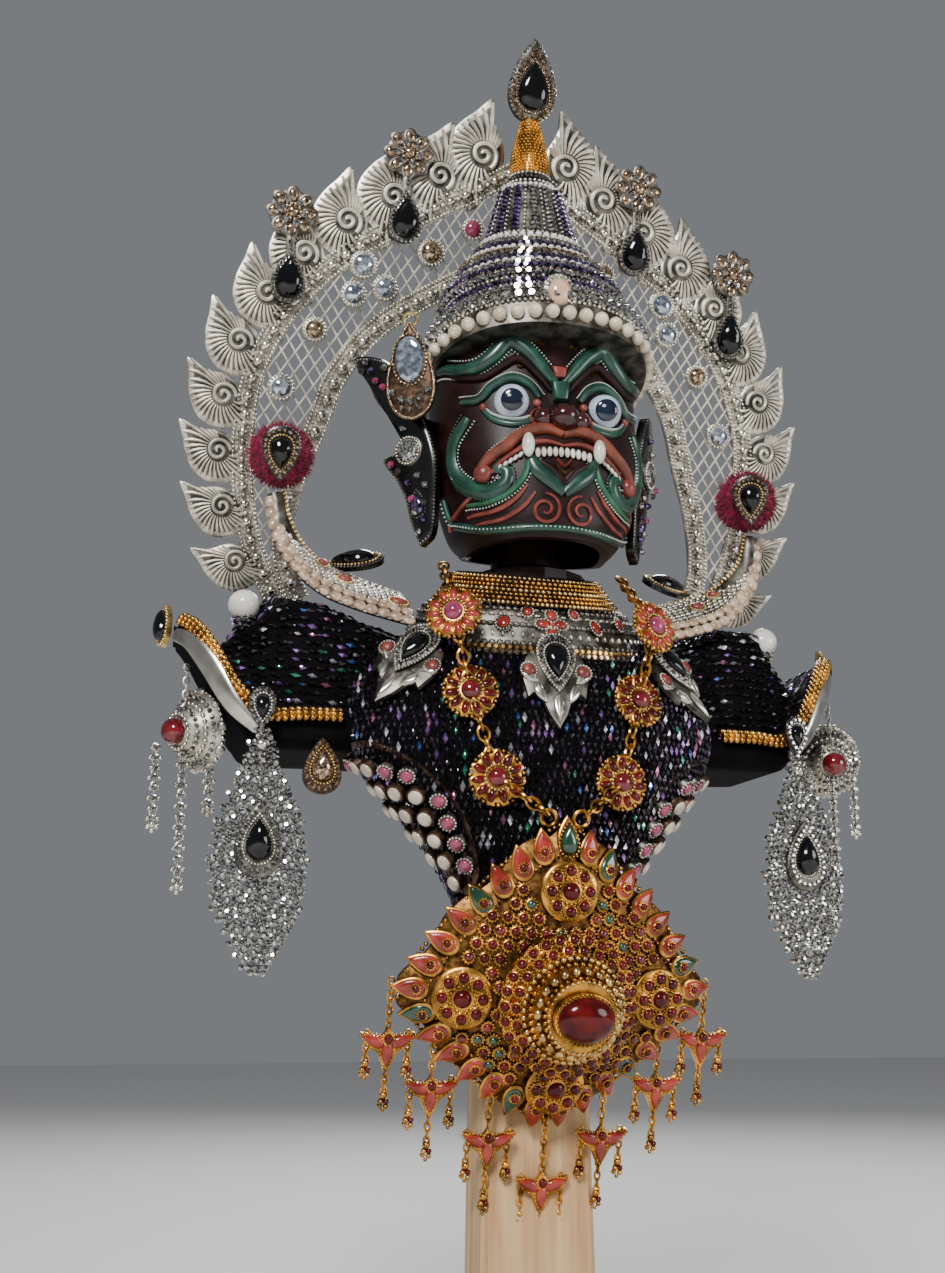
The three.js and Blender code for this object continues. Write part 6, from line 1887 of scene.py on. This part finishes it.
def build_studs():
    edge = curve_through(PANEL_EDGE + PANEL_EDGE[:1], 5)[:-1]
    for word, side in SIDES:
        shapes = defaultdict(list)
        tray = Tray()
        low, high = [], []
        for u, z in edge:
            point, normal = round_chest(side, u, z)
            low.append(point - normal * 1.6)
            high.append(point + normal * 0.9)
        shapes["brown_bezel"].append(loft([low, high]))
        grid = 6.6
        for row in range(12):
            for column in range(-6, 10):
                u, z = np.array([26, 186]) + ALONG_PANEL * (row * grid) + OVER_PANEL * (
                    (column + row % 2 / 2) * grid
                )
                if not inside(edge, u, z, 1.6):
                    continue
                point, normal = round_chest(side, u, z, 0.6)
                m = facing(point, normal)
                upper = not inside(edge - OVER_PANEL * 7, u, z)
                r = 2.1 if upper else 2.5
                shapes["old_silver" if upper else "brown_bezel"].append(
                    dome(ellipse(r + 0.7, r + 0.7, 16), 2.0, 0.2, m, 3, 0.86)
                )
                shapes["pink_stone" if upper else "cream_stud"].append(
                    dome(ellipse(r, r, 16), 1.0, 0.9, shifted(m, z=1.5), 4, 0.3)
                )
                if upper:
                    tray.ring("bead", "silver", ellipse(r + 0.6, r + 0.6, 16), m, 1.2, (0.5,) * 3, 2.1)
        make_shapes("stud_panel_" + word, shapes, ["stud_panel_" + word])
        if tray.places:
            tray.set_down("stud_panel_beads_" + word)
    shapes = defaultdict(list)
    tray = Tray()
    m = facing((-74, -3, 224), (0, -1, 0.05))
    drop_brooch(shapes, tray, m, 8, 19, "champagne", "brown_bezel", "champagne", 2.4)
    make_shapes("small_brooch", shapes, ["small_brooch"])
    tray.set_down("small_brooch_stones")


# Pendant

PENDANT_MIDDLE = mix(PENDANT_LOW, PENDANT_TOP, 0.43)
PENDANT = leaned((0, PENDANT_Y, PENDANT_MIDDLE), PENDANT_TILT)
PENDANT_UP = (PENDANT_TOP - PENDANT_MIDDLE) / cos(radians(PENDANT_TILT))
PENDANT_DOWN = (PENDANT_MIDDLE - PENDANT_LOW) / cos(radians(PENDANT_TILT))


def pendant_edge(count, share=1.0, scallop=0.035, waves=14):
    angles = np.arange(count) * 2 * pi / count
    s, c = np.sin(angles), np.cos(angles)
    x = PENDANT_HALF_WIDTH * np.sign(s) * np.abs(s) ** 1.6
    y = np.where(c > 0, PENDANT_UP, PENDANT_DOWN) * np.sign(c) * np.abs(c) ** 1.6
    bow = 1 + scallop * np.cos(angles * waves)
    return np.column_stack([x, y]) * (share * bow)[:, None]


def pendant_rise(x, y):
    """How far the plate bulges over a place of its own plane"""
    up = PENDANT_UP if y > 0 else PENDANT_DOWN
    share = ((abs(x) / PENDANT_HALF_WIDTH) ** 1.25 + (abs(y) / up) ** 1.25) ** 0.8
    return PENDANT_BULGE * (1 - min(share, 1) ** 2), share


def pendant_place(x, y, lift=0.0):
    rise = pendant_rise(x, y)[0]
    slope_x = (pendant_rise(x + 0.5, y)[0] - pendant_rise(x - 0.5, y)[0]) * 0.7
    slope_y = (pendant_rise(x, y + 0.5)[0] - pendant_rise(x, y - 0.5)[0]) * 0.7
    normal = PENDANT[:3, :3] @ unit((-slope_x, -slope_y, 1))
    point = carried(PENDANT, [[x, y, rise + PENDANT_THICKNESS / 2 - 0.3]])[0]
    return facing(point + normal * lift, normal, PENDANT[:3, 1])


def build_pendant():
    shapes = defaultdict(list)
    tray = Tray()
    half = PENDANT_THICKNESS / 2
    rings = []
    for s in (0.3, 0.5, 0.68, 0.84, 0.94):
        rings.append((s, PENDANT_BULGE * (1 - s * s) - half))
    rings += [(0.985, -half * 0.6), (0.985, half * 0.6)]
    for s in (0.94, 0.84, 0.68, 0.5, 0.3):
        rings.append((s, PENDANT_BULGE * (1 - s * s) + half * 0.6))
    layers = [np.column_stack([pendant_edge(112, s), np.full(112, h)]) for s, h in rings]
    points, faces = loft(layers)
    shapes["bronze"].append((carried(PENDANT, points), faces))
    rng = np.random.default_rng(5)

    centres = [
        (0, 0.62 * PENDANT_UP), (-0.62 * PENDANT_HALF_WIDTH, 0.5), (0.62 * PENDANT_HALF_WIDTH, 0.5),
        (0, -0.66 * PENDANT_DOWN)
    ]
    for x, y in centres:
        m = pendant_place(x, y, 0.6)
        shapes["gold"].append(dome(ellipse(9.6, 9.6, 30), 1.0, 0.6, m, 3, 0.8))
        for k in range(8):
            spot = shifted(m, 6.4 * cos(k * pi / 4), 6.4 * sin(k * pi / 4), 1.2)
            set_stone(shapes, tray, spot, 1.75, "garnet", 0.5)
        set_stone(shapes, tray, shifted(m, z=1.4), 2.9, "garnet", 0.62)
    skip = [(x, y, 10.6) for x, y in centres] + [(0, 0, DOME_RADIUS - 1)]
    step = 4.7
    for row in range(-13, 14):
        for column in range(-13, 14):
            x = (column + (row % 2) * 0.5) * step
            y = row * step * 0.9
            if any(hypot(x - a, y - b) < r for a, b, r in skip):
                continue
            share = pendant_rise(x, y)[1]
            if share > 0.8:
                continue
            kind = rng.integers(0, 12)
            finish = "green_enamel" if kind == 0 else "ruby" if kind < 4 else "garnet"
            set_stone(shapes, tray, pendant_place(x, y), 1.5, finish, 0.45)
    edge = pendant_edge(720, 1.0, 0.0)
    loop = np.vstack([edge, edge[:1]])
    for k, (x, y) in enumerate(spaced(loop, 9.2)[:-1]):
        place = pendant_place(x * 0.93, y * 0.93, 0.4)
        away = unit((x, y))
        turn = atan2(away[1], away[0]) - pi / 2
        petal = shifted(place, roll=turn)
        finish = "green_enamel" if k % 5 == 2 else "coral"
        shapes["gold"].append(dome(teardrop(4.4, 12, 18), 1.0, 0.3, petal, 2, 0.85))
        shapes[finish].append(dome(teardrop(3.6, 10, 16), 1.3, 0.7, petal, 4, 0.4))
        set_stone(shapes, tray, shifted(petal, y=-2, z=1.6), 1.2, "garnet", 0.4)
    tray.ring("bead", "gold", edge * 0.99, PENDANT, 1.9, (0.85,) * 3, 0.6)
    tray.ring(
        "bead", "gold", edge * 0.84, shifted(PENDANT, z=PENDANT_BULGE * 0.29 + half), 1.7, (0.6,) * 3, 0.3
    )
    for s in (-1, 1):
        ring = np.column_stack([ellipse(2.6, 2.6, 16) + (s * 5.5, PENDANT_UP + 1), np.zeros(16)])
        shapes["gold"].append(tube(carried(PENDANT, ring), 1.3, 1.3, PENDANT[:3, 2], 6, round_again=True))
    top = shifted(pendant_place(0, PENDANT_UP * 0.9, 1.0), z=0.6)
    shapes["green_enamel"].append(dome(teardrop(3.4, 9.5, 24), 1.2, 1.4, top, 5, 0.1))
    tray.ring("bead", "gold", teardrop(4.3, 11.4, 28), top, 1.3, (0.6,) * 3, 0.9)
    make_shapes("pendant", shapes, ["pendant_plate"])
    tray.set_down("pendant_beads")
    build_dome()
    build_dangles()


def set_stone(shapes, tray, m, radius, finish, bead):
    """A small domed stone in a cup with a ring of beads"""
    shapes["gold"].append(dome(ellipse(radius * 1.3, radius * 1.3, 10), 0.9, 0.2, m, 2, 0.85))
    shapes[finish].append(dome(ellipse(radius, radius, 12), 0.8, radius * 0.62, shifted(m, z=0.5), 4))
    tray.ring("bead", "gold", ellipse(radius * 1.35, radius * 1.35, 16), m, bead * 2.4, (bead,) * 3, 0.8)


def build_dome():
    shapes = defaultdict(list)
    tray = Tray()
    r, h = DOME_RADIUS, DOME_HEIGHT
    seat = shifted(PENDANT, z=PENDANT_BULGE + PENDANT_THICKNESS / 2 + 0.3)
    profile = [
        (0.02, 0), (r, 0), (r, 0.12 * h), (r * 0.9, 0.24 * h), (r * 0.84, 0.2 * h), (r * 0.78, 0.42 * h),
        (r * 0.68, 0.4 * h), (r * 0.62, 0.72 * h), (r * 0.53, 0.7 * h), (r * 0.5, h * 0.97),
        (0.02, h * 0.97),
    ]
    shapes["gold"].append(lathe(profile, 64, seat))

    def round_row(radius, height, count, form, finish, size, out=0.0):
        for k in range(count):
            a = (k + out) * 2 * pi / count
            spot = carried(seat, [[radius * cos(a), radius * sin(a), height]])[0]
            normal = seat[:3, :3] @ unit((cos(a) * 0.55, sin(a) * 0.55, 0.85))
            tray.lay(form, finish, spot, normal, seat[:3, 1], size)

    def stone_row(radius, height, count, size, finish):
        for k in range(count):
            a = k * 2 * pi / count
            spot = carried(seat, [[radius * cos(a), radius * sin(a), height]])[0]
            normal = seat[:3, :3] @ unit((cos(a) * 0.5, sin(a) * 0.5, 0.85))
            set_stone(shapes, tray, facing(spot, normal, seat[:3, 1]), size, finish, 0.42)

    stone_row(r * 0.93, 0.17 * h, 28, 1.5, "garnet")
    stone_row(r * 0.8, 0.32 * h, 22, 1.5, "garnet")
    round_row(r * 0.985, 0.15 * h, 72, "bead", "gold", (0.8,) * 3)
    round_row(r * 0.73, 0.45 * h, 44, "bead", "pale_gold", (1.1, 1.1, 1.1))
    round_row(r * 0.66, 0.55 * h, 40, "bead", "gold", (1.0,) * 3, 0.5)
    round_row(r * 0.6, 0.74 * h, 22, "bead", "pale_gold", (1.5, 1.9, 1.2))
    round_row(r * 0.52, 0.84 * h, 34, "bead", "gold", (0.85,) * 3)
    round_row(r * 0.5, 0.97 * h, 40, "bead", "pale_gold", (0.7,) * 3, 0.5)
    make_shapes("pendant_dome", shapes, ["pendant_dome"])
    tray.set_down("pendant_dome_beads")
    shapes = defaultdict(list)
    tray = Tray()
    top = shifted(seat, z=h + 0.2)
    shapes["gold"].append(dome(ellipse(10, 8, 40), 1.6, 0.3, top, 3, 0.85))
    shapes["garnet"].append(dome(ellipse(9.0, 7.1, 40), 1.2, 4.4, shifted(top, z=0.8), 10))
    tray.ring("bead", "gold", ellipse(9.6, 7.7, 40), top, 1.4, (0.62,) * 3, 1.7)
    make_shapes("pendant_gem", shapes, ["pendant_gem"])
    tray.set_down("pendant_gem_beads")


# The dangles: name, place across the plate, upper chain's length, and the length that sets the lower ones
DANGLES = [
    ("centre", 0, 18, 18), ("left_1", -19, 13, 16), ("right_1", 19, 13, 16), ("left_2", -38, 12, 16),
    ("right_2", 38, 12, 15), ("left_3", -53, 14, 14), ("right_3", 53, 14, 14),
]


def build_dangles():
    for word, x, lead, length in DANGLES:
        shapes = defaultdict(list)
        tray = Tray()
        share = min(abs(x) / PENDANT_HALF_WIDTH, 1)
        foot = -PENDANT_DOWN * (1 - share**1.25) ** 0.8
        m = shifted(PENDANT, x, foot + 3, 3 if abs(x) < 32 else 0)
        front = m[:3, 2]
        middle = shifted(m, y=-lead - 5, z=-0.6)
        outline = curve_through(
            [
                (0, 5), (2.6, 2), (8.6, 3.4), (5, -1.6), (3.2, -3), (0, -8.4), (-3.2, -3), (-5, -1.6),
                (-8.6, 3.4), (-2.6, 2), (0, 5),
            ],
            3,
        )[:-1]
        shapes["gold"].append(dome(outline, 1.5, 0.3, middle, 2, 0.8))
        for dx, dy, turn in ((0, -3.4, pi), (-4.6, 0.9, 1.2), (4.6, 0.9, -1.2)):
            petal = shifted(shifted(middle, dx, dy, 0.5), roll=turn)
            shapes["coral"].append(dome(teardrop(2.3, 7.6, 16), 1.5, 0.9, petal, 4, 0.15))
            tray.ring("bead", "gold", teardrop(2.9, 8.8, 20), petal, 1.2, (0.5,) * 3, 1.1)
        set_stone(shapes, tray, shifted(middle, y=1.6, z=1.4), 1.5, "garnet", 0.45)
        top = np.array([[0, 0, 0], [0, -lead / 2, 0], [0, -lead + 0.5, 0]])
        link_chain(shapes, "gold", carried(m, top), front, 3.2, 2.0, 0.75)
        for dx, start in ((-6.6, -lead - 2.4), (0, -lead - 12.4), (6.6, -lead - 2.4)):
            run = length * 0.56
            path = carried(m, [[dx, start, 0], [dx, start - run / 2, 0], [dx, start - run, 0]])
            link_chain(shapes, "gold", path, front, 3.0, 1.9, 0.75)
            low = start - run - 1.2
            for dy, r, n in ((0.0, 1.35, 1), (-1.9, 1.0, 3), (-3.4, 0.9, 2), (-4.7, 0.7, 1)):
                for k in range(n):
                    a = k * 2 * pi / n + 0.5
                    off = 1.0 if n > 1 else 0.0
                    spot = carried(m, [[dx + off * cos(a), low + dy, off * sin(a)]])[0]
                    tray.lay("bead", "garnet" if n == 3 and k == 0 else "gold", spot, front, size=(r,) * 3)
        make_shapes("dangle_" + word, shapes, ["dangle_" + word])
        tray.set_down("dangle_beads_" + word)


# Earrings on the wings


def build_drop_earrings():
    for word, side in SIDES:
        shapes = defaultdict(list)
        tray = Tray()
        m = facing((side * (WING_REACH - 27), -10.5, WING_RIM - 4), (side * 0.06, -1, 0))
        w, l = DROP_WIDTH / 2, DROP_LENGTH
        edge = [
            (2.5, 0), (0.55 * w, -0.2 * l), (w, -0.42 * l), (0.98 * w, -0.66 * l), (0.6 * w, -0.84 * l),
            (1.5, -l)
        ]
        right = curve_through(edge, 10)
        step = 1.95
        back = carried(m, [[0, -l * 0.02, 0.6], [0, -l * 0.5, 0.6], [0, -l * 0.8, 0.6]])
        shapes["silver"].append(tube(back, 1.2, 0.8, m[:3, 2], 5))
        for j, y in enumerate(np.arange(-1.5, -l + 1.2, -step)):
            half_at = float(np.interp(-y, -right[:, 1], right[:, 0]))
            bow = 0.16
            count = int(half_at / step)
            for k in range(-count, count + 1):
                x = k * step + (0.5 * step if j % 2 else 0.0)
                if abs(x) > half_at:
                    continue
                sag = y - bow * abs(x) - 0.6
                if sag < -l + 0.8:
                    continue
                spot = carried(m, [[x, sag, 1.2 + 0.25 * sin(x * 1.3 + j)]])[0]
                tilt = unit(
                    m[:3, 2] + 0.25 * np.array([sin(k * 2.1 + j), cos(j * 1.7 + k), sin(j + k * 3.1)])
                )
                tray.lay("cut", "crystal", spot, tilt, m[:3, 1], (1.05, 1.05, 1.1), 0.4 * k)
            row = [
                [-half_at, y - bow * half_at - 0.6, 0.9], [0, y - 0.6, 0.9],
                [half_at, y - bow * half_at - 0.6, 0.9]
            ]
            if j % 2 == 0 and half_at > 2.5:
                shapes["silver"].append(tube(carried(m, row), 0.5, 0.5, m[:3, 2], 4))
        for x in np.arange(-w * 0.9, w * 0.91, step * 1.3):
            low = -l * mix(0.97, 0.7, (abs(x) / w) ** 1.2)
            path = carried(m, [[x, low + 9, 0.9], [x * 0.98, low + 4, 0.9], [x * 0.96, low - 0.4, 0.9]])
            shapes["silver"].append(tube(path, 0.5, 0.5, m[:3, 2], 4))
        drop_brooch(shapes, tray, shifted(m, y=-0.47 * l, z=DROP_BACK), 9.6, 24, edge=2.0)
        drop_brooch(
            shapes, tray, shifted(shifted(m, y=5, z=-0.2), roll=pi), 5.4, 14, edge=2.2,
            backing="black_lacquer"
        )
        tray.lay("pearl", "bright_silver", carried(m, [[0, -7, 1.6]])[0], m[:3, 2], size=(2.0, 2.0, 1.6))
        make_shapes("drop_earring_" + word, shapes, ["drop_earring_" + word])
        tray.set_down("drop_earring_stones_" + word)


def build_outer_earrings():
    for word, side in SIDES:
        shapes = defaultdict(list)
        tray = Tray()
        middle = np.array([side * (WING_REACH + side * 5), WING_Y, WING_RIM - 2])
        turn = (-0.85, -0.5, -0.15) if side < 0 else (-0.15, -0.95, -0.25)
        cap = facing(middle, turn)
        profile = [(0.02, -9), (13, -8), (13.5, -5.5), (9.5, -3), (6, 2), (0.02, 4)]
        shapes["silver"].append(lathe(profile, 40, cap))
        shapes["ruby"].append(ball(4.6, shifted(cap, z=4.2), (1, 1, 0.9), 14, 22))
        rows = (
            (13.3, -6.4, 1.0, 40), (11.6, -3.8, 0.9, 30), (9.2, -2.3, 1.0, 26), (7.6, 0.2, 0.9, 22),
            (5.9, 2.6, 0.8, 20)
        )
        for k, (r, z, b, n) in enumerate(rows):
            for i in range(n):
                a = (i + 0.5 * (k % 2)) * 2 * pi / n
                spot = carried(cap, [[r * cos(a), r * sin(a), z]])[0]
                normal = cap[:3, :3] @ unit((cos(a) * 0.7, sin(a) * 0.7, 0.7))
                form = "cut" if k in (1, 3) else "bead"
                tray.lay(
                    form, "crystal" if form == "cut" else "bright_silver", spot, normal, cap[:3, 1], (b,) * 3
                )
        for i in range(10):
            a = i * 2 * pi / 10
            spot = carried(cap, [[13.6 * cos(a), 13.6 * sin(a), -6.0]])[0]
            normal = cap[:3, :3] @ unit((cos(a) * 0.8, sin(a) * 0.8, 0.5))
            tray.lay("pearl", "silver", spot, normal, cap[:3, 1], (1.9, 1.9, 1.2))
        m = facing(middle, (0, -1, 0))
        for dx, top, low in ((0, 22, 8), (-9, -6, -34), (0, -8, -54), (9, -6, -28)):
            path = carried(
                m, [[dx, top, 0], [dx, mix(top, low, 0.5), 0], [dx, low + (4 if low < 0 else 0), 0]]
            )
            link_chain(shapes, "silver", path, m[:3, 2], 3.0, 1.9, 0.6)
            if low > 0:
                continue
            stops = spaced(path, 3.6)
            for i, p in enumerate(stops):
                tray.lay("cut", "crystal", p + m[:3, 2] * 0.6, m[:3, 2], m[:3, 1], (1.3, 1.3, 1.2))
                for off in (-1.7, 1.7):
                    tray.lay(
                        "bead", "bright_silver", p + m[:3, 0] * off * (1 if i % 2 else 0.7), m[:3, 2],
                        size=(0.75,) * 3
                    )
            end = stops[-1]
            for dy, dx2, r in ((-1.8, 0, 1.2), (-2.6, -1.5, 0.9), (-2.6, 1.5, 0.9), (-3.9, 0, 0.9)):
                tray.lay(
                    "bead", "bright_silver", end + m[:3, 1] * dy + m[:3, 0] * dx2, m[:3, 2], size=(r,) * 3
                )
        make_shapes("outer_earring_" + word, shapes, ["outer_earring_" + word])
        tray.set_down("outer_earring_stones_" + word)


# Stage


def soft_light(name, place, target, size, power):
    lamp = bpy.data.lights.new(name, "AREA")
    lamp.shape = "DISK"
    lamp.size = size
    lamp.energy = power
    obj = bpy.data.objects.new(name, lamp)
    direction = Vector(target) - Vector(place)
    obj.location = place
    obj.rotation_euler = direction.to_track_quat("-Z", "Y").to_euler()
    bpy.context.scene.collection.objects.link(obj)


def build_stage():
    mesh = bpy.data.meshes.new("studio_floor")
    reach = FLOOR_REACH
    mesh.from_pydata(
        [(-reach, -reach, 0), (reach, -reach, 0), (reach, reach, 0), (-reach, reach, 0)], [], [(0, 1, 2, 3)]
    )
    material = bpy.data.materials.new("studio_floor")
    material.use_nodes = True
    shader = material.node_tree.nodes["Principled BSDF"]
    shader.inputs["Base Color"].default_value = (0.78, 0.77, 0.75, 1)
    shader.inputs["Roughness"].default_value = 0.7
    mesh.materials.append(material)
    floor_plane = bpy.data.objects.new("studio_floor", mesh)
    bpy.context.scene.collection.objects.link(floor_plane)
    world = bpy.data.worlds.new("studio")
    world.use_nodes = True
    world.node_tree.nodes["Background"].inputs["Color"].default_value = (0.80, 0.83, 0.88, 1)
    world.node_tree.nodes["Background"].inputs["Strength"].default_value = WORLD_STRENGTH
    bpy.context.scene.world = world
    for name, place, width, power in LIGHTS:
        soft_light(name, place, LIGHT_AIM, width, power)
    lens = bpy.data.cameras.new("view")
    lens.sensor_width = 36
    lens.lens = CAMERA_LENS
    lens.clip_start = 0.01
    viewpoint = bpy.data.objects.new("view", lens)
    viewpoint.location = CAMERA_PLACE
    viewpoint.rotation_euler = [radians(a) for a in CAMERA_TURN]
    bpy.context.scene.collection.objects.link(viewpoint)
    bpy.context.scene.camera = viewpoint


class KHON_OT_face(bpy.types.Operator):
    """Makes the mask's shell and its painted relief, and gives the neck stem its lacquer finish"""

    bl_idname = "khon.face"
    bl_label = "Face"

    def execute(self, context):
        build_face()
        return {"FINISHED"}


class KHON_OT_crown(bpy.types.Operator):
    """Makes the tiered crown and its gem"""

    bl_idname = "khon.crown"
    bl_label = "Crown"

    def execute(self, context):
        build_crown()
        return {"FINISHED"}


class KHON_OT_halo(bpy.types.Operator):
    """Makes the halo's bands, wire mesh, leaves and jewels"""

    bl_idname = "khon.halo"
    bl_label = "Halo"

    def execute(self, context):
        build_halo()
        build_halo_jewels()
        return {"FINISHED"}


class KHON_OT_ears(bpy.types.Operator):
    """Makes the ear guards and the ear pendant"""

    bl_idname = "khon.ears"
    bl_label = "Ears"

    def execute(self, context):
        build_ears()
        return {"FINISHED"}


class KHON_OT_bust(bpy.types.Operator):
    """Makes the caped bust with its sequins, and finishes the post and the base"""

    bl_idname = "khon.bust"
    bl_label = "Bust"

    def execute(self, context):
        build_bust()
        build_sequins()
        return {"FINISHED"}


class KHON_OT_horns(bpy.types.Operator):
    """Makes the shoulder horns, their cabochons and the pompoms"""

    bl_idname = "khon.horns"
    bl_label = "Horns"

    def execute(self, context):
        build_horns()
        return {"FINISHED"}


class KHON_OT_collar(bpy.types.Operator):
    """Makes the collar, the neck chains and the two necklace strands"""

    bl_idname = "khon.collar"
    bl_label = "Collar and necklace"

    def execute(self, context):
        build_collar()
        return {"FINISHED"}


class KHON_OT_wings(bpy.types.Operator):
    """Makes the wing trims, crescents and tip buttons"""

    bl_idname = "khon.wings"
    bl_label = "Wing trims"

    def execute(self, context):
        build_wings()
        return {"FINISHED"}


class KHON_OT_chest(bpy.types.Operator):
    """Makes the chest brooches, the stud panels and the small brooch"""

    bl_idname = "khon.chest"
    bl_label = "Chest"

    def execute(self, context):
        build_chest()
        return {"FINISHED"}


class KHON_OT_pendant(bpy.types.Operator):
    """Makes the pendant with its dome, gem and dangles"""

    bl_idname = "khon.pendant"
    bl_label = "Pendant"

    def execute(self, context):
        build_pendant()
        return {"FINISHED"}


class KHON_OT_earrings(bpy.types.Operator):
    """Makes the drop earrings and the outer earrings"""

    bl_idname = "khon.earrings"
    bl_label = "Earrings"

    def execute(self, context):
        build_drop_earrings()
        build_outer_earrings()
        return {"FINISHED"}


class KHON_OT_stage(bpy.types.Operator):
    """Sets the floor, the lights and the camera"""

    bl_idname = "khon.stage"
    bl_label = "Stage"

    def execute(self, context):
        build_stage()
        return {"FINISHED"}


OPERATORS = (
    KHON_OT_face,
    KHON_OT_crown,
    KHON_OT_halo,
    KHON_OT_ears,
    KHON_OT_bust,
    KHON_OT_horns,
    KHON_OT_collar,
    KHON_OT_wings,
    KHON_OT_chest,
    KHON_OT_pendant,
    KHON_OT_earrings,
    KHON_OT_stage,
)


class KHON_PT_panel(bpy.types.Panel):
    """Lists the sizes, the colours and the steps of the khon mask"""

    bl_label = "Khon Mask"
    bl_idname = "KHON_PT_panel"
    bl_space_type = "VIEW_3D"
    bl_region_type = "UI"
    bl_category = "Khon Mask"

    def draw(self, context):
        column = self.layout.column()
        for group in (context.scene.khon_sizes, context.scene.khon_colours):
            for key in group.__annotations__:
                column.prop(group, key)
        for step in OPERATORS:
            column.operator(step.bl_idname)


CLASSES = (KhonSizes, KhonColours, *OPERATORS, KHON_PT_panel)


def register():
    for each in CLASSES:
        bpy.utils.register_class(each)
    bpy.types.Scene.khon_sizes = PointerProperty(type=KhonSizes)
    bpy.types.Scene.khon_colours = PointerProperty(type=KhonColours)


def unregister():
    del bpy.types.Scene.khon_colours
    del bpy.types.Scene.khon_sizes
    for each in reversed(CLASSES):
        bpy.utils.unregister_class(each)


def main():
    register()
    make_finishes()
    bpy.ops.khon.face()
    bpy.ops.khon.crown()
    bpy.ops.khon.halo()
    bpy.ops.khon.ears()
    bpy.ops.khon.bust()
    bpy.ops.khon.horns()
    bpy.ops.khon.collar()
    bpy.ops.khon.wings()
    bpy.ops.khon.chest()
    bpy.ops.khon.pendant()
    bpy.ops.khon.earrings()
    bpy.ops.khon.stage()
    bpy.context.view_layer.update()


if __name__ == "__main__":
    main()
